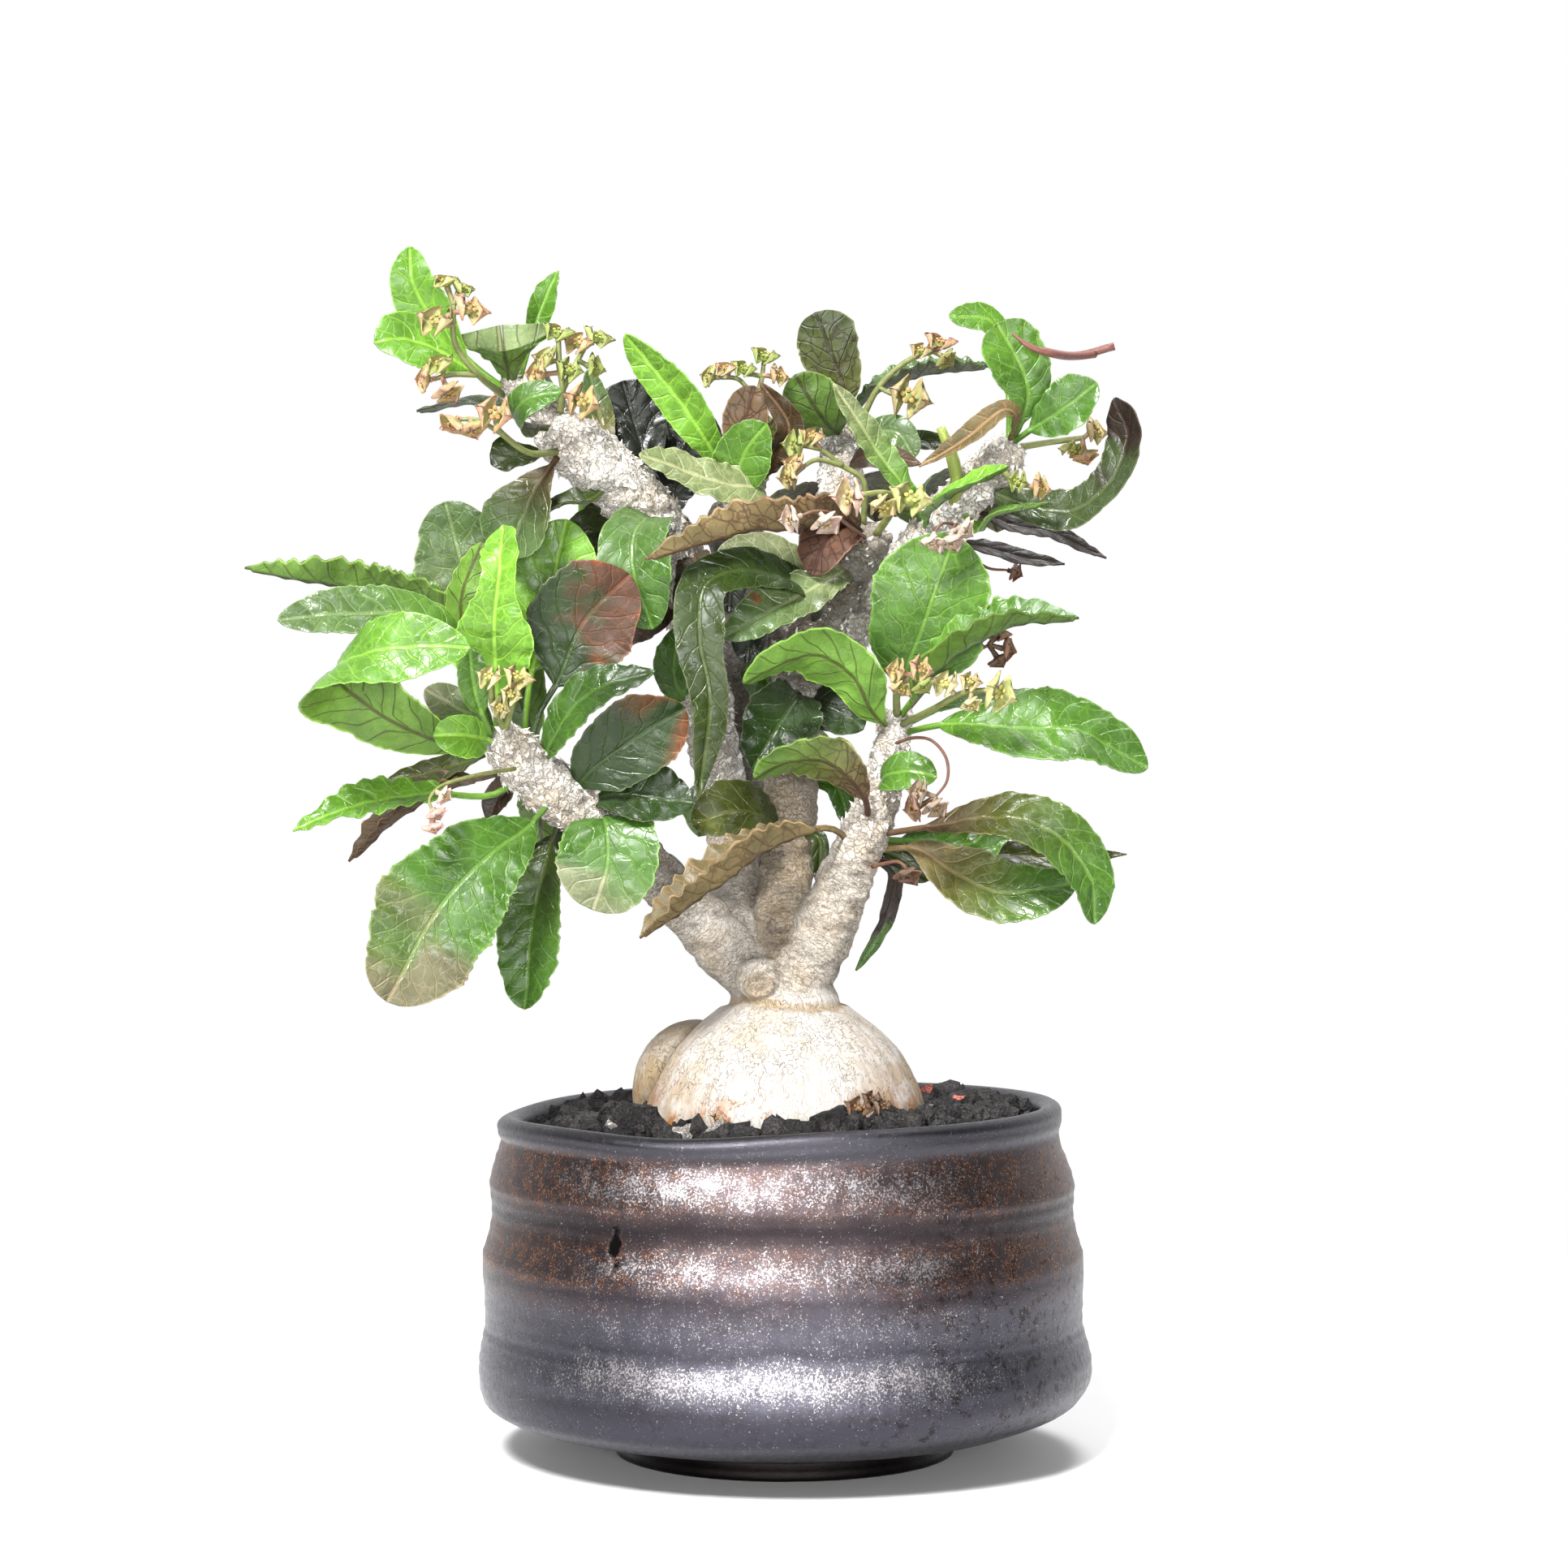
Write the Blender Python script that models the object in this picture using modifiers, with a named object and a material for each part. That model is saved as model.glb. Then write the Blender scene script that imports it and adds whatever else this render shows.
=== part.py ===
"""Potted euphorbia: a swollen caudex with knobbly limbs, crinkled leaves and small blooms in a ribbed pot.

Metres, +Z up, front towards -Y. Sizes below are in millimetres, and MM turns them into metres.
A place on the plant is (x, z, depth): x and z as they look in the plane of the pot's axis to an eye
in front of it, and depth behind that plane. spot() gives the real point.
"""

import math
import random

import bmesh
import bpy
from mathutils import Euler, Vector

MM = 0.001
GAP = 0.35
EYE_DISTANCE = 750.0
EYE_HEIGHT = 138.8
AXIS_X = 16.15
AXIS_Y = -4.59

POT_SIDES = 32
POT_RIM = 67.0
POT_WALL_PROFILE = [
    (53.6, 67.0), (55.2, 65.4), (54.7, 61.5), (57.2, 53.5), (56.8, 47.0), (58.9, 38.5),
    (58.4, 26.0), (60.0, 18.0), (59.3, 12.0), (56.5, 9.0), (48.0, 6.4), (33.6, 4.6),
]
FOOT_OUTER = 32.8
FOOT_INNER = 28.4
FOOT_RECESS = 4.0
DRAIN_RADIUS = 6.0
POT_INSIDE_PROFILE = [(6.0, 9.4), (45.0, 10.4), (54.0, 26.0), (50.6, 60.0), (50.6, 65.6)]
FOOT_NOTCHES = (-77.0, 43.0, 163.0)
NOTCH_RADIUS = 6.0
NOTCH_DROP = 3.0
OVAL = 0.35
FRONT_BULGE = 0.9
UNDERCUT = 2.4
RIM_MEAN = 0.75
RIM_TILT = 1.05
RIM_DIP = 1.1

SOIL_TOP_PROFILE = [(0.0, 64.0), (20.0, 64.0), (29.5, 64.2), (38.0, 64.0), (45.0, 63.4), (50.25, 62.8)]
STONE_COUNT = 70
STONE_RADIUS = (2.7, 3.7)
STONE_BAND = (34.4, 45.6)
STONE_HEIGHT = 63.8
STONE_DEPTH = 1.9

CAUDEX_SIDES = 24
CAUDEX_PROFILE = [
    (0.0, 96.0), (6.0, 95.5), (9.0, 92.5), (10.8, 89.5), (14.0, 86.5), (18.5, 83.0), (22.5, 79.0),
    (25.5, 74.0), (27.5, 69.0), (28.3, 64.0), (26.5, 56.0), (19.0, 44.0), (0.0, 36.0),
]
LOBE_CENTRE = (-17.5, 7.0, 70.0)
LOBE_RADII = (13.0, 14.0, 14.5)
SCAR_KNOB = ((-5.0, -8.0, 93.5), 5.5)
COLLAR_KNOB = ((5.0, -3.0, 97.0), 6.6)

LEAF_THICKNESS = 0.8
PETIOLE_HALF_WIDTH = 0.8
PETIOLE_THICKNESS = 1.4
TIP_HALF_WIDTH = 0.45
PEDICEL_RADIUS = 0.6
NARROW_WIDTH = 9.2
FLAT_FOLD = 8
LONG_PETIOLE = 12.0
BLADE_STATIONS = (0.12, 0.36, 0.64, 0.88, 1.0)
NARROW_BLADE_STATIONS = (0.18, 0.5, 0.84, 1.0)
LONG_BLADE_STATIONS = (0.1, 0.26, 0.42, 0.58, 0.74, 0.9, 1.0)
# Half width follows v^rise (1 - v)^fall from the petiole to the tip.
SHAPES = {
    "elliptic": (0.62, 0.62),
    "spoon": (1.0, 0.5),
    "lance": (0.75, 0.9),
    "round": (0.5, 0.5),
    "wedge": (1.3, 0.3),
}

# Limbs: where each starts to carry leaves it becomes a leafy stem of its own, split at the index given.
# Each point is (x, z, depth, radius).
LIMBS = {
    "left": (4, [
        (-5, 93, 0, 6), (-12, 99, -1, 6.2), (-18.7, 106.5, -3, 5.8), (-26, 113.8, -6, 5.3),
        (-31, 118.3, -9, 5.2), (-37.5, 124, -13, 5.4), (-45, 129.5, -17, 5.6), (-52.3, 136.3, -21, 5.2),
        (-57.6, 141.2, -24, 3.6),
    ]),
    "top_left": (3, [
        (-5, 94, 3, 6), (-9.6, 102, 5, 5.4), (-9.6, 110, 9, 5.2), (-10.2, 119, 13.5, 5.2),
        (-13, 133, 17.5, 5.2), (-16.3, 151.4, 16, 5.3), (-18.7, 167.4, 10, 5.5), (-23, 179, 2, 5.7),
        (-28.5, 186, -4, 6), (-36, 193.5, -9, 6.3), (-42, 198.5, -12, 5.8), (-46.8, 201.8, -14, 4.3),
    ]),
    "front": (3, [
        (-0.3, 94, 0, 6.6), (-0.2, 102, 1, 6), (0, 110, 2, 5.8), (0.4, 118, 4, 5.6),
        (0.8, 126, 6, 5.8), (1.5, 136, 8, 5.4), (2.9, 148.2, 10, 5.4), (5.3, 161, 8, 5),
        (10.5, 169.5, 4, 4.6), (14.5, 175.5, 0, 4.6), (17.8, 181, -4, 3.8),
    ]),
    "right": (4, [
        (2.6, 93, -2, 6.6), (5.5, 98, -3, 6.6), (8.6, 104.5, -4, 6.2), (11, 110, -4.6, 5.8),
        (12.6, 114.4, -5, 5.4), (16, 121.6, -6, 4.9), (19, 130, -6.5, 4.1), (20.9, 137, -7, 3.8),
        (22.1, 145.6, -7.5, 3.2),
    ]),
    "rear": (2, [
        (-3, 94, 4, 6), (-4, 103, 13.5, 5.2), (-5, 112, 22.5, 4.8), (-6.5, 123, 28.5, 4.6),
        (-8.5, 140, 32.5, 4.6), (-10, 160, 36.5, 4.4), (-11, 176, 39.5, 4), (-11.5, 187, 42, 3.2),
    ]),
}
# Side stems: (limb that they fork from, index where the stub ends and the leafy stem starts, points).
FORKS = {
    "inner": ("front", 2, [
        (2.6, 147, 10, 3.8), (0.4, 153.5, 15.5, 3.5), (-0.8, 157, 17.8, 3.4), (-2.5, 164, 19.5, 3.4),
        (-5, 174, 17, 3.2), (-8.5, 184, 11, 3.2), (-10.5, 190, 8, 2.8),
    ]),
    "back": ("front", 2, [
        (2.9, 146, 11, 4.6), (6, 153, 19.5, 4.6), (7.2, 158.5, 24, 4.5), (8.4, 167, 28.5, 4.4),
        (10.2, 184, 32.5, 4.4), (11.3, 197, 34.5, 4.6), (11.7, 203, 35, 3.8),
    ]),
    "upper_right": ("front", 2, [
        (4, 154, 9, 4.8), (12, 160.5, 13, 4.5), (15.8, 164.5, 14.6, 4.4), (22, 172.5, 15, 4.4),
        (29.5, 182, 11, 4.5), (37.3, 189.8, 6.5, 4.7), (42.6, 195.8, 2.5, 4.4), (44.6, 199, 1.5, 3.2),
    ]),
}
# Thin growths without a blade: a second tip beside the thick end of a limb, a young shoot and an old
# flower stalk.
TWIGS = [
    ("top_left", [
        (-41, 198.5, -9, 4.4), (-47, 205, -10, 3.6), (-52, 208, -13, 3.2), (-56.3, 209.6, -15, 2.6),
    ]),
    ("upper_right", [
        (32, 184.5, 9.5, 1.4), (33.8, 189.5, 2, 1.3), (33.2, 195, 0, 1.3), (30.7, 201.6, -1, 0.9),
    ]),
    ("upper_right", [
        (44.6, 198.2, 2.5, 0.9), (44.8, 209, 9, 0.8), (45.4, 215.5, 10, 0.8), (48.5, 217, 9, 0.8),
        (57, 215.7, 6, 0.8), (65, 217.6, 5, 0.8),
    ]),
]

# Leaves: (stem, name, width, shape, petiole length, fold in degrees, margin wave, way the upper face looks,
# fraction of the length where that holds, places from the stem's axis to the tip).
LEAVES = [
    ("left", "lime_upright", 17, "elliptic", 9, 12, 0.8, (0.05, -1, 0.15), 0.6,
     [(-57, 140.5, -22), (-56.8, 149, -25), (-57.3, 163, -31), (-56, 175, -33), (-55.5, 182.3, -29)]),
    ("left", "olive_beside_lime", 9, "elliptic", 10, 20, 1.0, (0.5, 0.85, 0.1), 0.6,
     [(-57.5, 140.5, -20), (-62.3, 155, -24), (-63.5, 168, -26), (-59.5, 179, -27)]),
    ("left", "rolled_back", 18, "elliptic", 7, 4, 0.5, (0.1, 1, 0.25), 0.3,
     [(-56.5, 138.7, -23), (-64, 138.8, -26), (-75, 142.5, -30), (-85, 149, -34), (-89, 153.5, -41),
      (-83, 157, -47), (-73, 158.5, -49), (-62, 158.2, -49)]),
    ("left", "crisp_edge_on", 12.5, "lance", 14, 55, 1.3, (0.1, -0.1, 1), 0.5,
     [(-57.5, 141, -19), (-62, 154, -19), (-69, 165.2, -20), (-85, 169.8, -24), (-106.5, 173.9, -29)]),
    ("left", "pale_level", 11, "elliptic", 16, 8, 0.5, (0.1, -0.8, 0.6), 0.6,
     [(-58, 140.5, -22), (-62.5, 155, -26), (-69.5, 163.8, -29), (-84, 165, -34), (-100, 163.6, -38)]),
    ("left", "olive_round_behind", 17, "round", 14, 8, 0.7, (0, -1, 0.1), 0.6,
     [(-56, 140, -20), (-59, 158, -8), (-63, 172, -6), (-67, 187, -8)]),
    ("left", "small_bright", 9, "elliptic", 3, 10, 0.6, (0, -1, 0.2), 0.6,
     [(-57.5, 139.5, -25), (-60.5, 140.5, -32), (-64.5, 141, -35), (-69.3, 140.8, -36)]),
    ("left", "small_dark_upright", 6.5, "elliptic", 5, 8, 0.3, (0.1, -1, 0), 0.6,
     [(-58, 141, -25), (-61, 149, -31), (-62.3, 158.3, -33)]),
    ("left", "long_wavy", 9, "lance", 14, 15, 1.4, (0, -0.65, 0.76), 0.6,
     [(-51.5, 133.5, -19), (-58, 129, -20), (-70, 129.3, -22), (-84, 127.6, -26), (-97, 122, -29)]),
    ("left", "brown_behind_wavy", 9, "lance", 8, 48, 0.9, (0.2, -0.2, 0.95), 0.6,
     [(-52.5, 134.5, -17), (-63, 131.5, -14), (-72, 128, -13), (-86, 116, -13)]),
    ("left", "big_lower", 26, "elliptic", 8, 8, 0.9, (0.1, -1, 0.15), 0.6,
     [(-45.5, 128.5, -19), (-51, 122.6, -27), (-58, 117.5, -33), (-68, 107, -38), (-78.5, 88.3, -41)]),
    ("left", "dark_hanging", 15, "elliptic", 7, 15, 0.8, (-0.3, -0.95, 0.1), 0.6,
     [(-43, 127, -14), (-46.5, 118, -15), (-49.5, 105, -17), (-51.3, 86.8, -20)]),
    ("left", "dark_short", 10, "elliptic", 4, 10, 0.4, (-0.2, -0.9, 0.4), 0.6,
     [(-41, 125.5, -11), (-44, 119, -8), (-48, 113.5, -7), (-53, 109, -7)]),
    ("left", "round_front", 20, "round", 4, 8, 0.5, (0.05, -0.95, 0.3), 0.6,
     [(-38, 124.5, -13), (-35.5, 123.5, -21), (-35, 115.5, -25), (-37.8, 106.4, -23)]),
    ("left", "glossy_crisp", 12.5, "elliptic", 5, 10, 0.9, (-0.25, -0.9, 0.35), 0.6,
     [(-47.5, 132.5, -18), (-46, 139.5, -24), (-39, 148.8, -28), (-25.4, 153.6, -30)]),
    ("left", "dark_orange_edged", 17, "elliptic", 4, 10, 0.4, (0.1, -0.95, -0.1), 0.6,
     [(-42.5, 128, -16), (-38.5, 133.6, -21), (-30, 140, -24), (-19.6, 146.3, -24)]),
    ("left", "dark_olive", 13, "elliptic", 3, 15, 1.0, (0, -0.8, 0.6), 0.6,
     [(-39.5, 126, -14), (-35.5, 128.5, -18), (-28, 128.6, -20), (-18, 127.6, -20)]),
    ("left", "two_toned", 21, "elliptic", 16, 8, 0.5, (0, -1, 0.1), 0.6,
     [(-51, 135.5, -19), (-48.5, 145, -20), (-44.5, 152, -20), (-39.5, 163.5, -21), (-30.5, 172.6, -21)]),
    ("left", "broad_green", 18, "elliptic", 18, 6, 0.4, (0.05, -1, 0.1), 0.6,
     [(-51.5, 136, -18), (-50.5, 150, -13), (-46.5, 168, -12), (-43, 183.5, -12)]),
    ("left", "small_drooping", 7, "lance", 2, 20, 0.5, (0, -0.9, 0.4), 0.6,
     [(-52.5, 135, -18), (-55, 130, -12), (-57, 127.5, -11), (-58.3, 123.3, -11)]),
    ("left", "dark_level_behind", 7, "elliptic", 5, 10, 0.6, (0, -0.6, 0.8), 0.6,
     [(-55.5, 139, -20), (-62, 136, -13), (-70, 133.5, -11), (-79, 131, -11)]),
    ("left", "brown_upright_behind", 9, "elliptic", 4, 10, 0.4, (0.2, -0.9, 0.3), 0.6,
     [(-56, 140, -20), (-61, 144, -13), (-66, 147, -11), (-71, 150, -11)]),
    ("left", "rear_upright", 14, "spoon", 7, 10, 0.6, (-0.2, 0.7, 0.7), 0.6,
     [(-50, 134.5, -19), (-50, 143, -3), (-54, 153, 5), (-57, 163, 8)]),
    ("left", "rear_drooping", 10, "elliptic", 5, 10, 0.6, (0.2, 0.7, 0.7), 0.6,
     [(-45, 129.5, -16), (-47, 132, -3), (-48, 125, 7), (-47, 115, 12)]),
    ("top_left", "lime_top", 10, "elliptic", 9, 12, 0.4, (-0.3, -0.9, 0.3), 0.6,
     [(-55.5, 209.4, -14.5), (-61.5, 214, -16), (-68, 221, -18), (-73, 229.5, -20), (-74, 237.3, -21)]),
    ("top_left", "lime_outer", 13, "elliptic", 8, 10, 0.4, (0, -0.9, 0.4), 0.6,
     [(-55.5, 209.2, -15), (-62, 212.8, -18), (-69, 217, -21), (-75, 219, -23), (-81, 218.3, -25)]),
    ("top_left", "cupped_grey", 17, "wedge", 2, 22, 1.2, (0, 0.9, 0.4), 0.6,
     [(-54, 208.8, -14), (-54.5, 212, -17), (-55.3, 216.5, -20), (-56, 221.8, -20)]),
    ("top_left", "twisted_top", 6, "lance", 9, 25, 0.8, (0.5, -0.85, 0), 0.6,
     [(-53, 208.4, -13), (-51.5, 214, -10), (-48.8, 223, -9), (-44.6, 232.5, -9)]),
    ("top_left", "level_outer", 8, "elliptic", 5, 10, 0.5, (0, -0.4, 0.92), 0.6,
     [(-50, 206.5, -11.5), (-57, 206.3, -7), (-65, 206, -7), (-72.6, 204.8, -8)]),
    ("top_left", "cupped_end", 8, "elliptic", 3, 8, 0.5, (-0.5, -0.8, 0.2), 0.6,
     [(-46.3, 201.5, -14), (-51, 201.8, -20), (-53.2, 204.2, -24), (-50.8, 207.2, -26), (-44, 208.6, -26.5)]),
    ("top_left", "toothed_dark", 8, "wedge", 5, 8, 0.7, (0, -0.9, 0.4), 0.6,
     [(-43, 198.5, -10), (-48.5, 196.3, -4), (-53, 196, -3), (-58.2, 196.2, -3)]),
    ("top_left", "brown_drooping", 18, "spoon", 7, 15, 0.5, (-0.2, -0.85, 0.45), 0.6,
     [(-42.5, 199, -12), (-46, 194, -17), (-49.5, 188.5, -18), (-55, 176.5, -17)]),
    ("top_left", "dark_curly", 6, "lance", 5, 25, 1.1, (0, -0.6, 0.8), 0.6,
     [(-34, 191.5, -8), (-38, 187.5, -15), (-44.5, 186.3, -16), (-51, 182, -15)]),
    ("top_left", "dark_behind", 12, "elliptic", 4, 8, 0.4, (0, -0.95, 0.2), 0.6,
     [(-29, 186.5, -3), (-33, 183, 5), (-38, 181, 8), (-43.5, 179, 8)]),
    ("top_left", "purple_upright", 15, "spoon", 8, 8, 0.8, (0.1, -1, 0.1), 0.6,
     [(-28, 185.5, -3), (-27.5, 193, 7), (-29.5, 202, 10), (-32, 210.8, 10)]),
    ("top_left", "grey_finger", 6, "elliptic", 8, 8, 0.3, (0.3, -0.9, 0), 0.6,
     [(-35, 192.5, -8), (-36, 201, 3), (-37.3, 207, 4), (-38.8, 213, 4)]),
    ("top_left", "blue_saddle", 16, "elliptic", 5, 10, 0.4, (-0.1, -0.95, 0.3), 0.7,
     [(-23.5, 180, 1), (-26.5, 184, -10), (-30, 180, -17), (-29.5, 172, -19), (-26, 161.8, -17)]),
    ("top_left", "brown_hanging", 8, "elliptic", 3, 8, 0.4, (0, -0.95, 0.3), 0.6,
     [(-20, 171.5, 8), (-18, 176, -1), (-17.8, 171, -3), (-20, 162.5, -4)]),
    ("top_left", "green_glow", 8.5, "elliptic", 3, 8, 0.4, (0, -1, 0.1), 0.6,
     [(-16, 148, 16), (-20.8, 149.5, 12), (-21.8, 155, 10), (-20.5, 162.3, 10)]),
    ("top_left", "black_green", 17, "spoon", 8, 8, 0.7, (0, -0.95, 0.3), 0.6,
     [(-22, 178, 3), (-22, 188, 14), (-20.5, 196, 18), (-17, 205.3, 19)]),
    ("top_left", "dark_lower", 8, "elliptic", 3, 8, 0.4, (0, -0.9, 0.4), 0.6,
     [(-19, 167, 10), (-24.5, 165, 4), (-29, 162, 2), (-35, 158, 0)]),
    ("top_left", "rear_tip", 9, "spoon", 6, 10, 0.6, (-0.2, 0.8, 0.6), 0.6,
     [(-39, 196, -10), (-41, 202, 3), (-45, 207, 13), (-47, 212, 19)]),
    ("top_left", "rear_arching", 14, "elliptic", 6, 10, 0.6, (0, 0.7, 0.7), 0.6,
     [(-32, 189.5, -6), (-34, 192, 10), (-36, 188, 22), (-38, 181, 28)]),
    ("inner", "lime_centre", 9, "elliptic", 5, 10, 0.4, (-0.3, -0.9, 0.3), 0.6,
     [(-10.2, 189, 8.5), (-14.3, 197, 3), (-20.5, 206.5, -2), (-31.5, 220, -6)]),
    ("inner", "grey_green_pointed", 9.5, "elliptic", 5, 8, 0.9, (0.2, -0.9, 0.4), 0.6,
     [(-8.5, 185, 10.5), (-4.5, 189.5, 0), (-12, 190.3, -5), (-20.5, 193.4, -8), (-28.8, 196.2, -11)]),
    ("inner", "brown_round", 9.5, "round", 8, 6, 0.4, (0, -1, 0), 0.6,
     [(-10, 188.5, 8.5), (-9, 196, 8), (-7.8, 203, 8), (-6, 209.8, 8)]),
    ("inner", "brown_crimped", 6.5, "lance", 6, 22, 0.9, (0.3, -0.9, 0.2), 0.6,
     [(-9.5, 187, 9.5), (-2.5, 195.5, 3), (0.8, 202, 0), (-5, 210.7, -1)]),
    ("inner", "glossy_dark", 12, "elliptic", 2, 8, 0.5, (0, -0.9, 0.4), 0.6,
     [(-10, 188, 8), (-9.5, 192.3, -1), (-7.5, 197.5, -4), (-3.5, 202.3, -6)]),
    ("inner", "shade_upper", 8, "elliptic", 3, 6, 0.4, (0, -1, 0.1), 0.6,
     [(-6, 178, 15), (-9, 177, 8), (-10.5, 172, 4), (-11, 165, 3)]),
    ("inner", "shade_lower", 9, "elliptic", 3, 6, 0.4, (0, -1, 0.1), 0.6,
     [(-2.8, 165.5, 19.2), (-5, 167, 12), (-6.5, 163, 8), (-7.5, 155, 8)]),
    ("inner", "rear_upright", 12, "elliptic", 6, 8, 0.6, (0, 0.9, 0.4), 0.6,
     [(-8, 183, 12), (-8, 188, 20), (-8.5, 195, 26), (-9, 203, 29)]),
    ("front", "veined_underside", 11, "lance", 5, 42, 1.0, (0, 0.45, 0.9), 0.6,
     [(16.5, 179, -2.5), (11.5, 184, -11), (3, 182.3, -18), (-9, 181, -24), (-27.5, 175.5, -30)]),
    ("front", "grey_dusty", 10, "elliptic", 6, 6, 0.4, (0, -0.85, 0.5), 0.6,
     [(6.5, 163, 7), (5, 171, -3), (-3, 176.3, -9), (-13.5, 176.7, -12)]),
    ("front", "long_strap", 10, "elliptic", 6, 8, 0.5, (0, -1, 0.1), 0.75,
     [(5.5, 161, 8), (5.5, 169, -7), (-5, 173.2, -18), (-15.3, 171, -24), (-16.8, 160, -27),
      (-14.8, 148, -27),
      (-17, 128.5, -25)]),
    ("front", "purple_veined", 11, "elliptic", 3, 8, 0.4, (0, -0.95, 0.3), 0.6,
     [(15, 176.5, -1), (12.5, 182, -8), (8.5, 179.5, -12), (5.3, 172.4, -12.5)]),
    ("front", "olive_spotted", 10.5, "elliptic", 3, 10, 1.0, (-0.1, -0.9, 0.4), 0.6,
     [(13.5, 174.5, 1), (9, 171.7, -9), (0, 167, -15), (-12.2, 160, -19)]),
    ("front", "dark_wavy", 15, "elliptic", 4, 15, 1.1, (0.2, -0.95, 0.3), 0.6,
     [(3, 149, 9), (2, 148, -3), (-1.5, 142.5, -10), (-6.5, 134.3, -13)]),
    ("front", "dark_glossy", 12, "elliptic", 2, 8, 0.4, (0, -0.85, 0.5), 0.6,
     [(2.6, 145, 9.5), (6.5, 146.3, 3), (10.5, 145.3, 1), (15.5, 142, 0)]),
    ("front", "big_olive", 14, "elliptic", 3, 8, 0.7, (0, -0.9, 0.45), 0.6,
     [(0.6, 121.5, 5), (-4, 124.5, -5), (-10.5, 125.8, -10), (-18.3, 123.2, -12)]),
    ("front", "thin_dark", 4, "lance", 3, 8, 0.3, (0.3, -0.9, 0), 0.6,
     [(0.5, 121, 4), (6.2, 121, 0), (7, 117, 0), (6.3, 111.5, 0)]),
    ("front", "small_behind", 5, "elliptic", 3, 6, 0.3, (0, -1, 0.2), 0.6,
     [(1.3, 132, 7.5), (9, 131.5, 12), (11.5, 128, 13), (12.3, 123, 13)]),
    ("back", "dark_rounded", 14, "round", 5, 6, 0.6, (0, 0.95, 0.1), 0.6,
     [(11.6, 201.5, 35), (12, 208, 33), (9.5, 215.5, 31), (6, 224.3, 30)]),
    ("back", "veined_lower", 12, "round", 4, 6, 0.5, (0, 0.9, 0.35), 0.6,
     [(11.5, 200, 34.5), (8.5, 202.3, 25), (5, 207, 21), (2, 212, 19)]),
    ("back", "long_edge_on", 8, "lance", 5, 45, 1.1, (0, -0.1, 1), 0.6,
     [(11.7, 201.5, 35), (17, 208.3, 39), (28, 212.3, 42), (41.2, 213.7, 44)]),
    ("back", "rear_high", 13, "elliptic", 6, 8, 0.6, (0, 0.5, 0.85), 0.6,
     [(11, 194, 34), (8, 199.5, 44), (5, 202.5, 54), (2, 198, 62)]),
    ("back", "rear_arching", 12, "elliptic", 6, 8, 0.6, (0.2, 0.6, 0.8), 0.6,
     [(10.5, 187, 33), (14, 192, 42), (17, 190, 52), (18, 183, 58)]),
    ("back", "rear_low", 12, "elliptic", 5, 8, 0.6, (0.2, 0.7, 0.7), 0.6,
     [(8.8, 170, 29), (13.5, 176, 35), (21, 173, 40), (27, 166, 43)]),
    ("back", "dark_strip", 6, "lance", 4, 6, 0.4, (0, -0.9, 0.4), 0.6,
     [(11, 192.5, 34), (15, 195.5, 27), (20, 195.8, 25), (27, 194.3, 24)]),
    ("back", "green_strip", 5.5, "elliptic", 6, 6, 0.4, (0, -0.8, 0.6), 0.6,
     [(11.5, 198.5, 35), (20, 198.5, 36), (28, 199, 37), (35, 198, 38)]),
    ("back", "pale_small", 7.5, "round", 5, 6, 0.3, (0, -1, 0.2), 0.6,
     [(11.5, 197.5, 34.5), (18, 200.5, 30), (22.5, 200.3, 27), (25.5, 195.5, 26)]),
    ("upper_right", "narrow_crimped", 5.5, "lance", 8, 18, 0.9, (0.3, -0.85, 0.4), 0.6,
     [(28, 180.5, 12), (24.2, 188.5, 3), (16.5, 199.3, -1), (9.5, 210.3, -5)]),
    ("upper_right", "folded_green", 7.5, "elliptic", 7, 22, 0.5, (0, -0.5, 0.85), 0.6,
     [(27.5, 180, 12), (29, 186, 0), (37, 190.3, -6), (44, 193.8, -9)]),
    ("upper_right", "broad_top", 13.5, "spoon", 4, 8, 0.5, (0, -0.95, 0.3), 0.6,
     [(44.2, 198.3, 1.5), (46.7, 203, -2), (47.5, 211, -5), (41.8, 222.2, -7)]),
    ("upper_right", "small_light", 6.5, "elliptic", 20, 8, 0.4, (0, -0.9, 0.4), 0.8,
     [(44.2, 198, 2), (44, 210, 8), (41, 222, 6), (32.3, 223.6, 4)]),
    ("upper_right", "wavy_outer", 11, "elliptic", 6, 8, 0.8, (0, -0.9, 0.4), 0.6,
     [(44.2, 198, 1), (49.5, 201.8, -4), (55, 205.3, -7), (61.6, 210.4, -9)]),
    ("upper_right", "hooked_dark", 9.5, "elliptic", 5, 8, 0.5, (-0.3, -0.85, 0.4), 0.6,
     [(38, 190.3, 6), (47, 186.5, 0), (57, 185.5, -4), (64.5, 191, -7), (67.3, 200, -7), (65, 207.5, -6)]),
    ("upper_right", "purple_low", 6.5, "lance", 5, 8, 0.5, (0, -0.6, 0.8), 0.6,
     [(34, 186.5, 9), (44, 182.8, 5), (54, 180, 3), (63.4, 175.8, 1)]),
    ("upper_right", "dark_low", 5.5, "lance", 6, 8, 0.6, (0, -0.6, 0.8), 0.6,
     [(27, 179, 13), (38, 178, 11), (47, 175.8, 11), (55.2, 174.6, 11)]),
    ("upper_right", "pale_edge_on", 5, "lance", 6, 15, 0.4, (0, -0.3, 0.95), 0.6,
     [(34, 186.5, 8.5), (38.3, 181.5, 0), (42, 184.8, -4), (52, 186.7, -7)]),
    ("upper_right", "brown_curled", 5, "lance", 3, 25, 0.3, (0, -0.9, 0.4), 0.6,
     [(44, 197.5, 1.5), (45.4, 203, -4), (43, 205, -6), (36, 199.5, -5), (26.5, 193.8, -3)]),
    ("upper_right", "rear_arching", 13, "elliptic", 6, 8, 0.6, (0.2, 0.7, 0.7), 0.6,
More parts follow.
